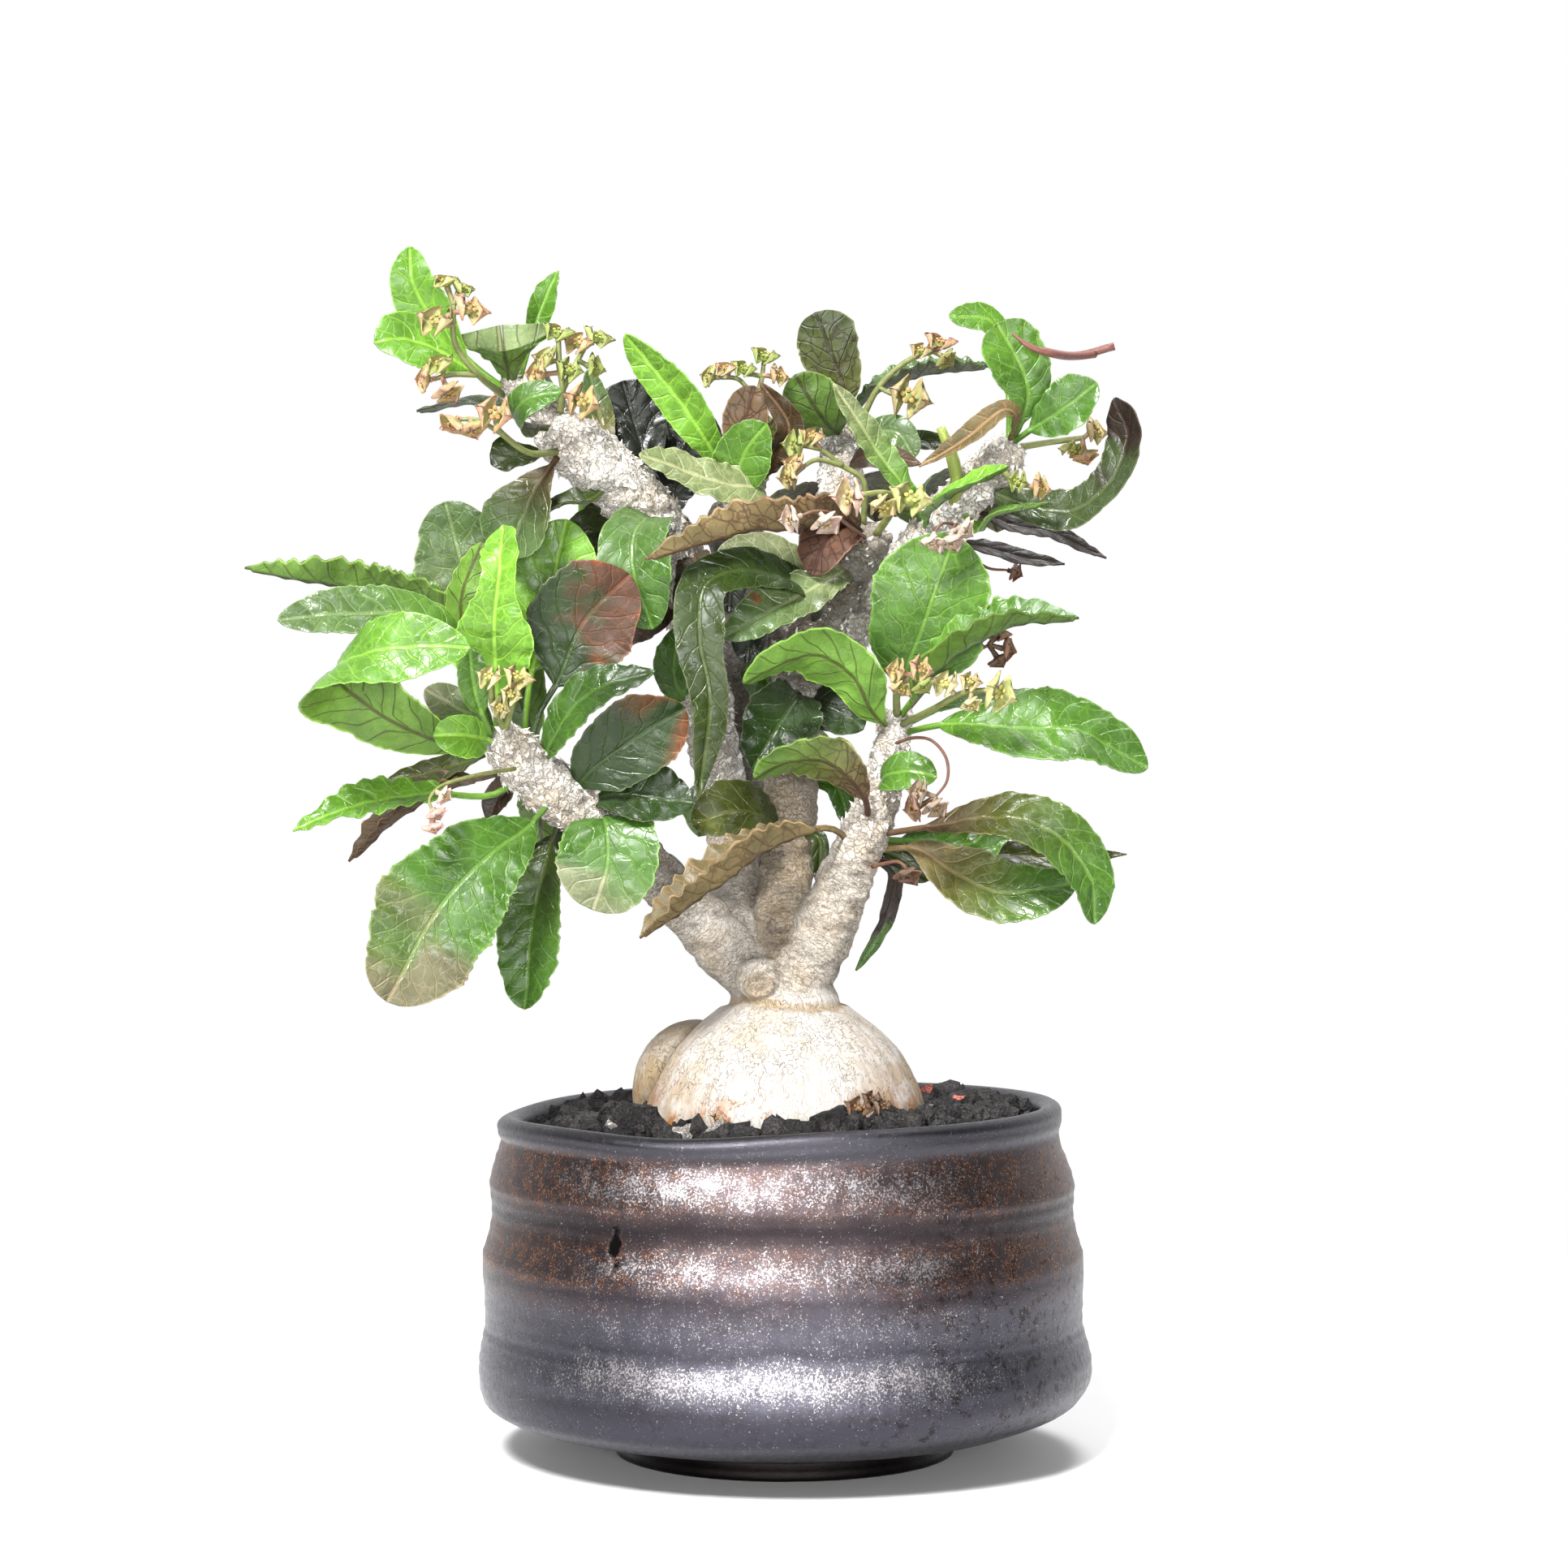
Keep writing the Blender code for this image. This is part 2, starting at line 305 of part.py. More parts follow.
     [(36, 188.3, 7.5), (37, 191, 20), (40, 188, 30), (42, 181, 36)]),
    ("upper_right", "rear_inner", 12, "elliptic", 6, 8, 0.6, (0, 0.7, 0.7), 0.6,
     [(27, 179, 13), (25, 187, 24), (28, 190, 34), (31, 186, 41)]),
    ("right", "arched_underside", 14, "elliptic", 4, 8, 0.6, (0.1, 0.85, 0.5), 0.6,
     [(21.5, 141.5, -7.3), (17, 146, -14), (13.5, 152.5, -18), (6, 157, -22), (-2, 155, -25),
      (-8.3, 151.2, -26)]),
    ("right", "big_glossy", 25, "elliptic", 6, 8, 0.4, (0.05, -0.95, 0.25), 0.6,
     [(22, 144.5, -7.4), (22.6, 150.5, -9), (27, 162, -15), (33.5, 180.5, -18)]),
    ("right", "crisp_folded", 14, "lance", 7, 46, 1.3, (-0.3, -0.2, 0.93), 0.6,
     [(22, 143.5, -8), (27, 150, -16), (34, 157, -21), (45, 162.3, -24), (58, 164, -26)]),
    ("right", "big_outer", 17, "elliptic", 10, 8, 0.5, (0.05, -0.8, 0.6), 0.6,
     [(21.8, 141, -7.3), (32, 143, -14), (44, 142.5, -18), (58, 141.8, -18), (71.5, 134.3, -17)]),
    ("right", "green_behind_outer", 9, "elliptic", 9, 6, 0.4, (0, -0.4, 0.9), 0.6,
     [(21.8, 142, -7), (33, 147, -2), (45, 147.8, 0), (58, 147, 1)]),
    ("right", "olive_underside", 11.5, "elliptic", 9, 10, 0.8, (0, 0.8, 0.6), 0.6,
     [(16.5, 122.5, -6), (15.5, 129, -14), (9, 135.5, -19), (1, 136, -22), (-6.3, 132.4, -23)]),
    ("right", "small_bright", 8.5, "elliptic", 3, 8, 0.5, (0.1, -0.9, 0.4), 0.6,
     [(19, 130.5, -6.5), (19.5, 132.8, -13), (24.5, 133.8, -16), (30, 132.6, -17)]),
    ("right", "long_tan", 15, "lance", 13, 45, 1.2, (-0.4, -0.05, 0.9), 0.6,
     [(14, 118.5, -5.6), (8.5, 122.6, -13), (-2, 119.5, -19), (-15, 110.5, -25), (-28.6, 100.9, -29)]),
    ("right", "long_drooping", 13.5, "elliptic", 12, 10, 0.6, (0.2, -0.75, 0.6), 0.6,
     [(16.5, 121, -6.2), (30, 123, -14), (43, 124.6, -19), (53, 121.5, -22), (60, 113, -23),
      (61, 103.6, -22)]),
    ("right", "brown_to_green", 14, "elliptic", 9, 8, 0.5, (0, -0.85, 0.5), 0.6,
     [(14.5, 117.8, -5), (25.5, 118.5, -5), (33, 114, -8), (43, 109.7, -10), (57.5, 111.5, -11)]),
    ("right", "bright_behind", 11, "elliptic", 8, 6, 0.5, (0, -0.9, 0.4), 0.6,
     [(16, 120.5, -5), (26, 120, 1), (37, 119.5, 2), (46, 129.5, 2)]),
    ("right", "olive_tip_behind", 7, "lance", 10, 8, 0.4, (0, -0.8, 0.6), 0.6,
     [(15.5, 120, -5), (31, 118.3, 6), (50, 117, 8), (67.4, 117.4, 8)]),
    ("right", "dark_below", 6, "elliptic", 3, 6, 0.4, (0, -0.9, 0.4), 0.6,
     [(14.5, 118, -4.5), (21, 117.5, 0), (28.5, 112.3, 0)]),
    ("right", "purple_dangling", 6.5, "elliptic", 2, 8, 0.4, (0.2, -0.95, 0), 0.6,
     [(14.2, 117.5, -4.6), (21.5, 114.5, 0), (20.5, 107, 3), (17.5, 100, 3), (14, 94.5, 2)]),
    ("right", "rear_outer", 10, "elliptic", 5, 8, 0.6, (0.2, 0.6, 0.7), 0.6,
     [(19.2, 130.5, -6.4), (21, 134, 6), (24, 136, 16), (27, 132, 23)]),
    ("right", "rear_inner", 12, "elliptic", 5, 8, 0.6, (0, 0.7, 0.7), 0.6,
     [(17, 124, -6), (14.5, 129, 6), (12, 134, 15), (10, 139, 22)]),
    ("rear", "top_left_side", 16, "elliptic", 6, 8, 0.6, (0, 0.6, 0.8), 0.6,
     [(-11.4, 185.5, 41.5), (-14, 192, 50), (-20, 195.5, 58), (-27, 192, 64)]),
    ("rear", "top_upright", 13, "spoon", 6, 8, 0.6, (0, 0.9, 0.4), 0.6,
     [(-11.4, 186, 41.8), (-9, 194, 46), (-6, 199, 48), (-2, 203, 50)]),
    ("rear", "top_right_side", 16, "elliptic", 6, 8, 0.6, (0.1, 0.6, 0.8), 0.6,
     [(-11.2, 182, 41), (-5, 186, 52), (2, 186, 62), (8, 180, 68)]),
    ("rear", "left_side", 16, "elliptic", 6, 8, 0.6, (-0.2, 0.7, 0.7), 0.6,
     [(-10.6, 171, 38.4), (-17, 174, 48), (-24, 173, 56), (-30, 168, 60)]),
    ("rear", "right_side", 16, "elliptic", 6, 8, 0.6, (0.1, 0.7, 0.7), 0.6,
     [(-10, 159, 35.8), (-4, 163, 46), (3, 161, 56), (9, 154, 62)]),
    ("rear", "low_left", 14, "elliptic", 5, 8, 0.6, (-0.1, 0.7, 0.7), 0.6,
     [(-9.2, 144, 31), (-14, 147, 42), (-19, 146, 52), (-22, 140, 58)]),
    ("rear", "low_right", 14, "elliptic", 5, 8, 0.6, (0.1, 0.7, 0.7), 0.6,
     [(-8.8, 138, 29.5), (-3, 142, 42), (3, 139, 52), (7, 132, 58)]),
    ("rear", "lowest_left", 12, "elliptic", 5, 8, 0.6, (-0.1, 0.7, 0.7), 0.6,
     [(-8, 128, 26), (-11, 130, 38), (-15, 127, 48), (-17, 121, 54)]),
    ("rear", "lowest_right", 11, "elliptic", 5, 8, 0.6, (0.1, 0.7, 0.7), 0.6,
     [(-7.4, 122, 24), (-3, 121, 34), (0, 115, 42), (1, 108, 46)]),
    ("rear", "shade_upper", 9, "elliptic", 4, 6, 0.4, (0, -0.9, 0.3), 0.6,
     [(-10.8, 174, 39), (-6, 178, 34), (-3, 175, 31), (0, 169, 30)]),
    ("rear", "shade_lower", 10, "elliptic", 4, 6, 0.4, (0, -0.9, 0.3), 0.6,
     [(-9.3, 148, 34), (-7.5, 154, 28), (-4.5, 153.5, 26), (-1, 146, 25)]),
]

# Blooms: (stalks, heads). A stalk is (radius, places), a head is (place of its base, radius, way that it
# opens, index of the stalk it grows from).
SPRAYS = {
    "spray_top_left_upper": (
        [(0.9, [(-56.0, 206.6, -18.6), (-60.5, 212.0, -27), (-65.0, 218, -30), (-65.3, 226, -32)]),
         (0.8, [(-60.5, 212.0, -27), (-65.5, 212.0, -29), (-69, 211.2, -30)])],
        [((-68, 221.5, -32.5), 3.3, (-0.3, -0.8, 0.6), 0), ((-63.2, 224.2, -32.5), 3.3, (0.6, -0.6, 0.5), 0),
         ((-66.6, 229.3, -32), 2.2, (-0.2, -0.4, 0.9), 0), ((-64.4, 228.2, -31.5), 2.4, (0.6, -0.3, 0.7), 0),
         ((-67.4, 213, -30.5), 2.6, (-0.3, -0.6, 0.7), 1), ((-70, 211, -30.8), 2.4, (-0.9, -0.4, 0.1), 1),
         ((-66.8, 209.6, -30.6), 2.8, (0.3, -0.5, -0.8), 1)],
    ),
    "spray_top_left_front": (
        [(0.9, [(-46.5, 195.8, -18.4), (-50.5, 196.6, -26), (-55.8, 200.4, -31), (-57, 202.6, -32)]),
         (0.7, [(-55.8, 200.4, -31), (-60.5, 203, -31), (-64, 203.2, -31)])],
        [((-57.1, 203.8, -32.5), 3.3, (0.05, -0.95, 0.2), 0),
         ((-64.8, 203.4, -31.6), 2.8, (-0.4, -0.3, -0.85), 1),
         ((-61.9, 202.6, -31.6), 2.6, (0.2, -0.3, -0.9), 1)],
    ),
    "spray_top_left_right": (
        [(0.9, [(-42.6, 206.6, -16.6), (-43.8, 209, -18), (-44.5, 214, -18), (-44.6, 218.5, -18)]),
         (0.8, [(-43.8, 209, -18), (-41.5, 213.5, -17), (-39.3, 217.5, -16)])],
        [((-44.8, 219, -18.2), 2.8, (0.1, -0.5, 0.8), 0), ((-46.3, 214.5, -18.8), 2.5, (-0.6, -0.6, 0.5), 0),
         ((-47.6, 212, -18.8), 2.7, (-0.8, -0.6, 0.1), 0), ((-42.9, 212.4, -18.5), 2.6, (0.3, -0.8, 0.4), 1),
         ((-40.3, 217.2, -16.6), 2.8, (-0.2, -0.7, 0.7), 1), ((-37.9, 218.4, -16), 2.8, (0.5, -0.5, 0.7), 1),
         ((-38.6, 213.6, -16.6), 2.3, (0.8, -0.5, 0.1), 1),
         ((-40.6, 206.6, -19.6), 3.2, (0.3, -0.95, 0.1), 0)],
    ),
    "spray_left": (
        [(1.0, [(-55.4, 145.0, -28.6), (-57.6, 147.2, -32), (-57.9, 151, -34)]),
         (1.0, [(-55.4, 145.0, -28.6), (-53.8, 147, -32), (-53.5, 150.5, -34)])],
        [((-57.8, 151.8, -34.6), 2.4, (-0.3, -0.8, 0.5), 0),
         ((-53.3, 151.6, -34.8), 2.6, (0.4, -0.7, 0.6), 1),
         ((-54.2, 148.8, -35), 2.0, (0.2, -0.9, 0.2), 1),
         ((-55.8, 146.6, -33.2), 2.0, (-0.2, -0.9, -0.2), 0)],
    ),
    "spray_left_hanging": (
        [(0.7, [(-53.4, 133.3, -27.6), (-61, 133, -35), (-67.5, 131, -40), (-70, 128.4, -42),
                (-69.5, 126, -42.5)])],
        [((-67.8, 129.3, -41.5), 1.7, (0.8, -0.5, -0.4), 0),
         ((-69.0, 126.2, -43), 1.8, (0.4, -0.3, -0.85), 0),
         ((-69.5, 123.6, -43), 1.8, (0.2, -0.3, -0.95), 0)],
    ),
    "spray_back_left": (
        [(0.8, [(-11.2, 193.5, 11), (-9.6, 200, 16), (-6, 207, 17), (-4.6, 211, 17), (-4.2, 214, 17)]),
         (0.7, [(-6, 207, 17), (-9, 211, 16), (-13, 211.4, 16)])],
        [((-14, 211.4, 16), 2.2, (-0.8, -0.5, 0.3), 1), ((-11.2, 212.2, 16), 2.2, (-0.2, -0.5, 0.8), 1),
         ((-8, 212.2, 16), 2.4, (0.1, -0.6, 0.7), 0), ((-4, 214.6, 17), 2.6, (0.1, -0.6, 0.8), 0),
         ((-2.2, 211.6, 17), 2.2, (0.7, -0.6, 0.3), 0)],
    ),
    "spray_back_right": (
        [(0.9, [(15.6, 204.6, 34.5), (18.5, 209.5, 32), (24, 214.6, 31), (29.5, 216.6, 30)]),
         (0.7, [(18.5, 209.5, 32), (21, 208.2, 31), (23.3, 207.6, 30)])],
        [((27, 216, 30), 2.2, (-0.1, -0.7, 0.7), 0), ((30.6, 217.2, 30), 2.8, (0.1, -0.5, 0.85), 0),
         ((31.2, 215.6, 29.6), 2.2, (0.6, -0.5, -0.6), 0), ((24, 207.4, 29.4), 4.0, (0.1, -0.98, 0.1), 1)],
    ),
    "spray_front": (
        [(1.0, [(20.4, 184.4, -7.0), (22, 186.8, -12.5), (19.8, 188.6, -16.5), (15.4, 188.4, -19)]),
         (0.9, [(22, 186.8, -12.5), (24, 186.4, -16)])],
        [((14, 188.2, -19.4), 3.4, (-0.6, -0.7, -0.2), 0), ((19.4, 186.8, -18.6), 2.7, (0, -0.7, -0.7), 0),
         ((24.4, 186.6, -17), 3.5, (0.2, -0.8, 0.5), 1)],
    ),
    "spray_front_left": (
        [(0.8, [(17.2, 185.4, -5.2), (15.6, 190.8, -5.5), (11.4, 194, -7), (7, 197.4, -9)]),
         (0.7, [(11.4, 194, -7), (6.5, 195.2, -10), (3.6, 193.8, -12)])],
        [((3.0, 198.2, -9.6), 2.6, (-0.7, -0.7, 0), 0), ((5.6, 199, -9), 2.3, (-0.1, -0.7, 0.7), 0),
         ((2.6, 193.8, -12.6), 2.3, (-0.6, -0.6, 0.5), 1), ((1.6, 192, -12.6), 2.3, (-0.7, -0.7, -0.3), 1)],
    ),
    "spray_upper_right": (
        [(0.9, [(48.2, 198.6, 3.4), (52, 198.6, 4.5), (56.4, 199.2, 5), (59, 199.6, 5)])],
        [((60, 200.4, 5), 2.8, (0.7, -0.6, 0.4), 0), ((56.8, 198.2, 4.8), 2.6, (-0.2, -0.5, -0.8), 0),
         ((59, 197, 5), 2.4, (0.2, -0.3, -0.95), 0)],
    ),
    "spray_upper_right_low": (
        [(0.8, [(43.4, 191.6, -2.6), (45.2, 190.6, -8), (48.3, 190, -10)])],
        [((46.2, 190.8, -10), 2.0, (-0.3, -0.9, 0.1), 0), ((49.4, 189.8, -10.6), 2.4, (0.7, -0.6, 0.1), 0)],
    ),
    "spray_right_upper": (
        [(1.0, [(22.6, 148.4, -13), (22.2, 150.8, -22), (24.8, 152.8, -29)])],
        [((22.8, 153.4, -29), 2.2, (-0.6, -0.7, 0.2), 0), ((23.2, 150.8, -29), 2.0, (-0.2, -0.6, -0.8), 0),
         ((26.2, 153.8, -30), 2.4, (0.4, -0.8, 0.2), 0), ((26.8, 151.4, -29.8), 2.0, (0.4, -0.5, -0.8), 0)],
    ),
    "spray_right": (
        [(0.9, [(24.4, 142.8, -12), (29.8, 146.4, -22), (35, 149.2, -27), (39.6, 149.8, -29)])],
        [((32.2, 150.4, -26.5), 2.6, (-0.3, -0.8, 0.5), 0), ((36.4, 151, -28.6), 2.0, (0.1, -0.8, 0.5), 0),
         ((36.6, 147.8, -28.6), 2.0, (0.1, -0.6, -0.8), 0), ((41, 149.6, -29.6), 3.5, (0.5, -0.8, -0.1), 0)],
    ),
    "dry_spray_right": (
        [(0.8, [(24.6, 147.8, -4.4), (30, 152.4, -6.5), (35, 156, -7), (40.4, 158.8, -8)])],
        [((41.4, 160, -8), 2.3, (0.2, -0.5, 0.8), 0), ((43, 158, -8), 2.2, (0.9, -0.4, 0), 0),
         ((41.8, 156.4, -8.4), 2.0, (0.4, -0.4, -0.8), 0), ((38.4, 159.2, -8), 2.0, (-0.5, -0.5, 0.7), 0)],
    ),
    "dry_spray_centre": (
        [(0.7, [(33.6, 181.3, 5.0), (34, 181.8, -3), (33.6, 182.4, -14), (33, 181, -22.5)]),
         (0.6, [(33.6, 182.4, -14), (31, 182.6, -19), (29.4, 180.6, -23)])],
        [((29.2, 180, -23.8), 2.5, (-0.2, -0.4, -0.9), 1), ((32.8, 180.2, -24), 2.5, (0, -0.4, -0.9), 0),
         ((34.6, 181.8, -23.6), 2.3, (0.7, -0.5, -0.4), 0)],
    ),
    "dry_spray_front": (
        [(0.7, [(15.4, 180.4, -8.8), (12.6, 182.2, -16), (9.4, 184.6, -25), (5.8, 185, -29),
                (3.2, 184.2, -29.5)])],
        [((2.2, 183.8, -30), 2.5, (-0.7, -0.6, -0.3), 0), ((7.8, 183.8, -28.8), 2.8, (0.2, -0.6, -0.8), 0)],
    ),
    "dry_spray_loops": (
        [(0.6, [(22.2, 139.2, -11.6), (25.5, 140.4, -19), (29, 139.8, -22), (31.8, 136.4, -23),
                (32, 132, -23),
                (29.6, 128.6, -22.5)])],
        [((27.4, 129.6, -23), 2.3, (-0.7, -0.6, 0.2), 0), ((29.4, 127.4, -23), 2.4, (0.2, -0.6, -0.7), 0),
         ((26.4, 126.8, -23), 2.4, (-0.8, -0.5, -0.3), 0)],
    ),
    "dry_spray_low": (
        [(0.7, [(18.6, 114.2, -9.4), (21.8, 116, -13), (23.6, 115.2, -15)])],
        [((24, 114.4, -15.4), 2.5, (0.1, -0.5, -0.85), 0)],
    ),
    "dry_spray_outer": (
        [(0.6, [(33.2, 180.6, 15), (39, 174.4, 16), (44.2, 173.4, 15)])],
        [((44.8, 173.2, 14.6), 1.8, (0.7, -0.6, -0.2), 0)],
    ),
}


def spot(place):
    """The real point, in millimetres, of a place on the plant."""
    x, z, depth = place[:3]
    scale = (EYE_DISTANCE + depth) / EYE_DISTANCE
    return Vector((x * scale + AXIS_X, depth + AXIS_Y, EYE_HEIGHT + (z - EYE_HEIGHT) * scale))


def smooth_line(points, steps=8):
    """A smooth line through the given points."""
    padded = [points[0] * 2 - points[1]] + points + [points[-1] * 2 - points[-2]]
    line = []
    for before, start, end, after in zip(padded, padded[1:], padded[2:], padded[3:]):
        for step in range(steps):
            t = step / steps
            line.append(0.5 * (
                start * 2
                + (end - before) * t
                + (before * 2 - start * 5 + end * 4 - after) * t ** 2
                + (after - before + (start - end) * 3) * t ** 3
            ))
    return line + [points[-1]]


def along(line, fractions):
    """The points at these fractions of the line's length."""
    reach = [0.0]
    for start, end in zip(line, line[1:]):
        reach.append(reach[-1] + (end - start).length)
    found = []
    i = 0
    for fraction in fractions:
        want = fraction * reach[-1]
        while i < len(line) - 2 and reach[i + 1] < want:
            i += 1
        found.append(line[i].lerp(line[i + 1], (want - reach[i]) / max(reach[i + 1] - reach[i], 1e-9)))
    return found, reach[-1]


def frames(line, facing, held):
    """(along, across, up) at each point of a line, turned without twist from one held facing."""
    ways = []
    for i in range(len(line)):
        ways.append((line[min(i + 1, len(line) - 1)] - line[max(i - 1, 0)]).normalized())
    middle = round(held * (len(line) - 1))
    up = Vector(facing)
    ups = [None] * len(line)
    ups[middle] = (up - ways[middle] * up.dot(ways[middle])).normalized()
    for i in range(middle + 1, len(line)):
        ups[i] = (ups[i - 1] - ways[i] * ups[i - 1].dot(ways[i])).normalized()
    for i in range(middle - 1, -1, -1):
        ups[i] = (ups[i + 1] - ways[i] * ups[i + 1].dot(ways[i])).normalized()
    return [(way, way.cross(lift), lift) for way, lift in zip(ways, ups)]


def solid(name, rings):
    """A closed solid lofted through rings of points, its quads split alike on facing sides."""
    mesh = bpy.data.meshes.new(name)
    shape = bmesh.new()
    rows = [[shape.verts.new(point * MM) for point in ring] for ring in rings]
    count = len(rings[0])
    for near, far in zip(rows, rows[1:]):
        for i in range(count):
            j = (i + 1) % count
            # The first half of a ring is the upper face, the second the lower: both take the same diagonal.
            if i < count // 2:
                shape.faces.new((near[i], near[j], far[i]))
                shape.faces.new((near[j], far[j], far[i]))
            else:
                shape.faces.new((near[i], far[j], far[i]))
                shape.faces.new((near[i], near[j], far[j]))
    for row in (rows[0], rows[-1]):
        for i in range(count // 2 - 1):
            shape.faces.new((row[i], row[i + 1], row[count - 2 - i]))
            shape.faces.new((row[i], row[count - 2 - i], row[count - 1 - i]))
    bmesh.ops.recalc_face_normals(shape, faces=shape.faces)
    shape.to_mesh(mesh)
    shape.free()
    return bpy.data.objects.new(name, mesh)


def leaf(record):
    """One leaf as a thin closed solid: a narrow petiole, then a folded blade with a waved margin."""
    _, name, width, shape, petiole, fold, wave, facing, held, places = record
    line = smooth_line([spot(place) for place in places])
    _, length = along(line, [])
    stem_end = petiole / length
    narrow = width < NARROW_WIDTH
    flat = narrow or fold <= FLAT_FOLD
    blade = LONG_BLADE_STATIONS if len(places) > 4 else NARROW_BLADE_STATIONS if narrow else BLADE_STATIONS
    bare = [0.0, stem_end / 2, stem_end] if petiole > LONG_PETIOLE else [0.0, stem_end]
    fractions = bare + [stem_end + (1 - stem_end) * v for v in blade]
    centres, _ = along(line, fractions)
    fine = [i / 60 for i in range(61)]
    fine_frames = frames(along(line, fine)[0], facing, held)
    rise, fall = SHAPES[shape]
    widest = rise / (rise + fall)
    peak = widest ** rise * (1 - widest) ** fall
    tilt = math.radians(fold)
    rings = []
    for i, (centre, fraction) in enumerate(zip(centres, fractions)):
        way, across, up = fine_frames[round(fraction * 60)]
        v = max(0.0, (fraction - stem_end) / (1 - stem_end))
        half = max(PETIOLE_HALF_WIDTH, TIP_HALF_WIDTH) if v == 0 else TIP_HALF_WIDTH
        half = max(half, width / 2 * v ** rise * (1 - v) ** fall / peak)
        zigzag = (-1) ** i * (0.5 if 0 < v < 1 else 0.0)
        thick = PETIOLE_THICKNESS if v == 0 else LEAF_THICKNESS
        lean = tilt * min(1.0, v * 8)
        lift = half * math.sin(lean)
        reach = half * math.cos(lean) * (1 + 0.1 * zigzag)
        left = centre - across * reach + up * (lift + wave * zigzag)
        right = centre + across * reach + up * (lift - wave * zigzag)
        left_up = (up * math.cos(lean) + across * math.sin(lean)) * thick / 2
        right_up = (up * math.cos(lean) - across * math.sin(lean)) * thick / 2
        ring = [left + left_up, right + right_up, right - right_up, left - left_up]
        if not flat:
            ring.insert(1, centre + up * thick / 2)
            ring.insert(4, centre - up * thick / 2)
        rings.append(ring)
    return solid(name, rings)


def tube(name, points, radii, sides=8):
    """A bevelled curve through points in millimetres, made a mesh with its caps welded."""
    curve = bpy.data.curves.new(name, "CURVE")
    curve.dimensions = "3D"
    curve.bevel_depth = MM
    curve.bevel_resolution = (sides - 4) // 2
    curve.use_fill_caps = True
    spline = curve.splines.new("POLY")
    spline.points.add(len(points) - 1)
    for target, point, radius in zip(spline.points, points, radii):
        target.co = (point * MM).to_4d()
        target.radius = radius
    guide = bpy.data.objects.new(name + "_guide", curve)
    bpy.context.scene.collection.objects.link(guide)
    mesh = bpy.data.meshes.new_from_object(guide.evaluated_get(bpy.context.evaluated_depsgraph_get()))
    bpy.data.objects.remove(guide)
    return welded(bpy.data.objects.new(name, mesh))


def welded(obj, distance=1e-5):
    """The same object with doubled points joined and its faces pointing out."""
    shape = bmesh.new()
    shape.from_mesh(obj.data)
    bmesh.ops.remove_doubles(shape, verts=shape.verts, dist=distance)
    bmesh.ops.recalc_face_normals(shape, faces=shape.faces)
    shape.to_mesh(obj.data)
    shape.free()
    return obj


def ball(name, centre, radii, segments=12, rings=8):
    """A sphere primitive stretched to three radii, in millimetres."""
    mesh = bpy.data.meshes.new(name)
    shape = bmesh.new()
    bmesh.ops.create_uvsphere(shape, u_segments=segments, v_segments=rings, radius=1.0)
    for vert in shape.verts:
        vert.co = Vector(centre[i] + vert.co[i] * radii[i] for i in range(3)) * MM
    shape.to_mesh(mesh)
    shape.free()
    return bpy.data.objects.new(name, mesh)


def turned(name, profile, sides, closed):
    """A profile of (radius, height) in millimetres turned about the pot's axis by a Screw modifier."""
    mesh = bpy.data.meshes.new(name)
    points = [(radius * MM, 0, height * MM) for radius, height in profile]
    edges = [(i, i + 1) for i in range(len(points) - 1)]
    if closed:
        edges.append((len(points) - 1, 0))
    mesh.from_pydata(points, edges, [])
    guide = bpy.data.objects.new(name, mesh)
    bpy.context.scene.collection.objects.link(guide)
    screw = guide.modifiers.new("turn", "SCREW")
    screw.steps = screw.render_steps = sides
    screw.use_merge_vertices = True
    screw.merge_threshold = 0.00001
    turned_mesh = bpy.data.meshes.new_from_object(guide.evaluated_get(bpy.context.evaluated_depsgraph_get()))
    bpy.data.objects.remove(guide)
    obj = welded(bpy.data.objects.new(name, turned_mesh))
    for vert in obj.data.vertices:
        vert.co += Vector((AXIS_X, AXIS_Y, 0)) * MM
    return obj


def combined(body, others, operation):
    """The body after one Boolean with all the others as a collection, cleared of sealed hollows."""
    scene = bpy.context.scene.collection
    scene.objects.link(body)
    group = bpy.data.collections.new(body.name + "_pieces")
    scene.children.link(group)
    for piece in others:
        group.objects.link(piece)
    step = body.modifiers.new(operation.lower(), "BOOLEAN")
    step.operation = operation
    step.operand_type = "COLLECTION"
    step.collection = group
    bpy.context.view_layer.update()
    mesh = bpy.data.meshes.new_from_object(body.evaluated_get(bpy.context.evaluated_depsgraph_get()))
    body.modifiers.clear()
    body.data = mesh
    mesh.name = body.name
    scene.objects.unlink(body)
    for piece in others:
        bpy.data.objects.remove(piece)
    bpy.data.collections.remove(group)
    keep_largest_shell(mesh)
    return body


def keep_largest_shell(mesh):
    """Deletes every closed shell of the mesh except the one that holds the most."""
    shape = bmesh.new()
    shape.from_mesh(mesh)
    bmesh.ops.triangulate(shape, faces=shape.faces)
    left = set(shape.faces)
    shells = []
    while left:
        shell = []
        edge_of_search = [left.pop()]
        while edge_of_search:
            face = edge_of_search.pop()
            shell.append(face)
            found = {other for edge in face.edges for other in edge.link_faces} & left
            left -= found
            edge_of_search += found
        shells.append(shell)
    volumes = []
    for shell in shells:
        corners = [face.verts for face in shell]
        volumes.append(sum(a.co.dot(b.co.cross(c.co)) for a, b, c in corners))
    largest = shells[volumes.index(max(volumes))]
    for shell in shells:
        if shell is not largest:
            verts = {vert for face in shell for vert in face.verts}
            bmesh.ops.delete(shape, geom=list(verts), context="VERTS")
    shape.to_mesh(mesh)
    shape.free()


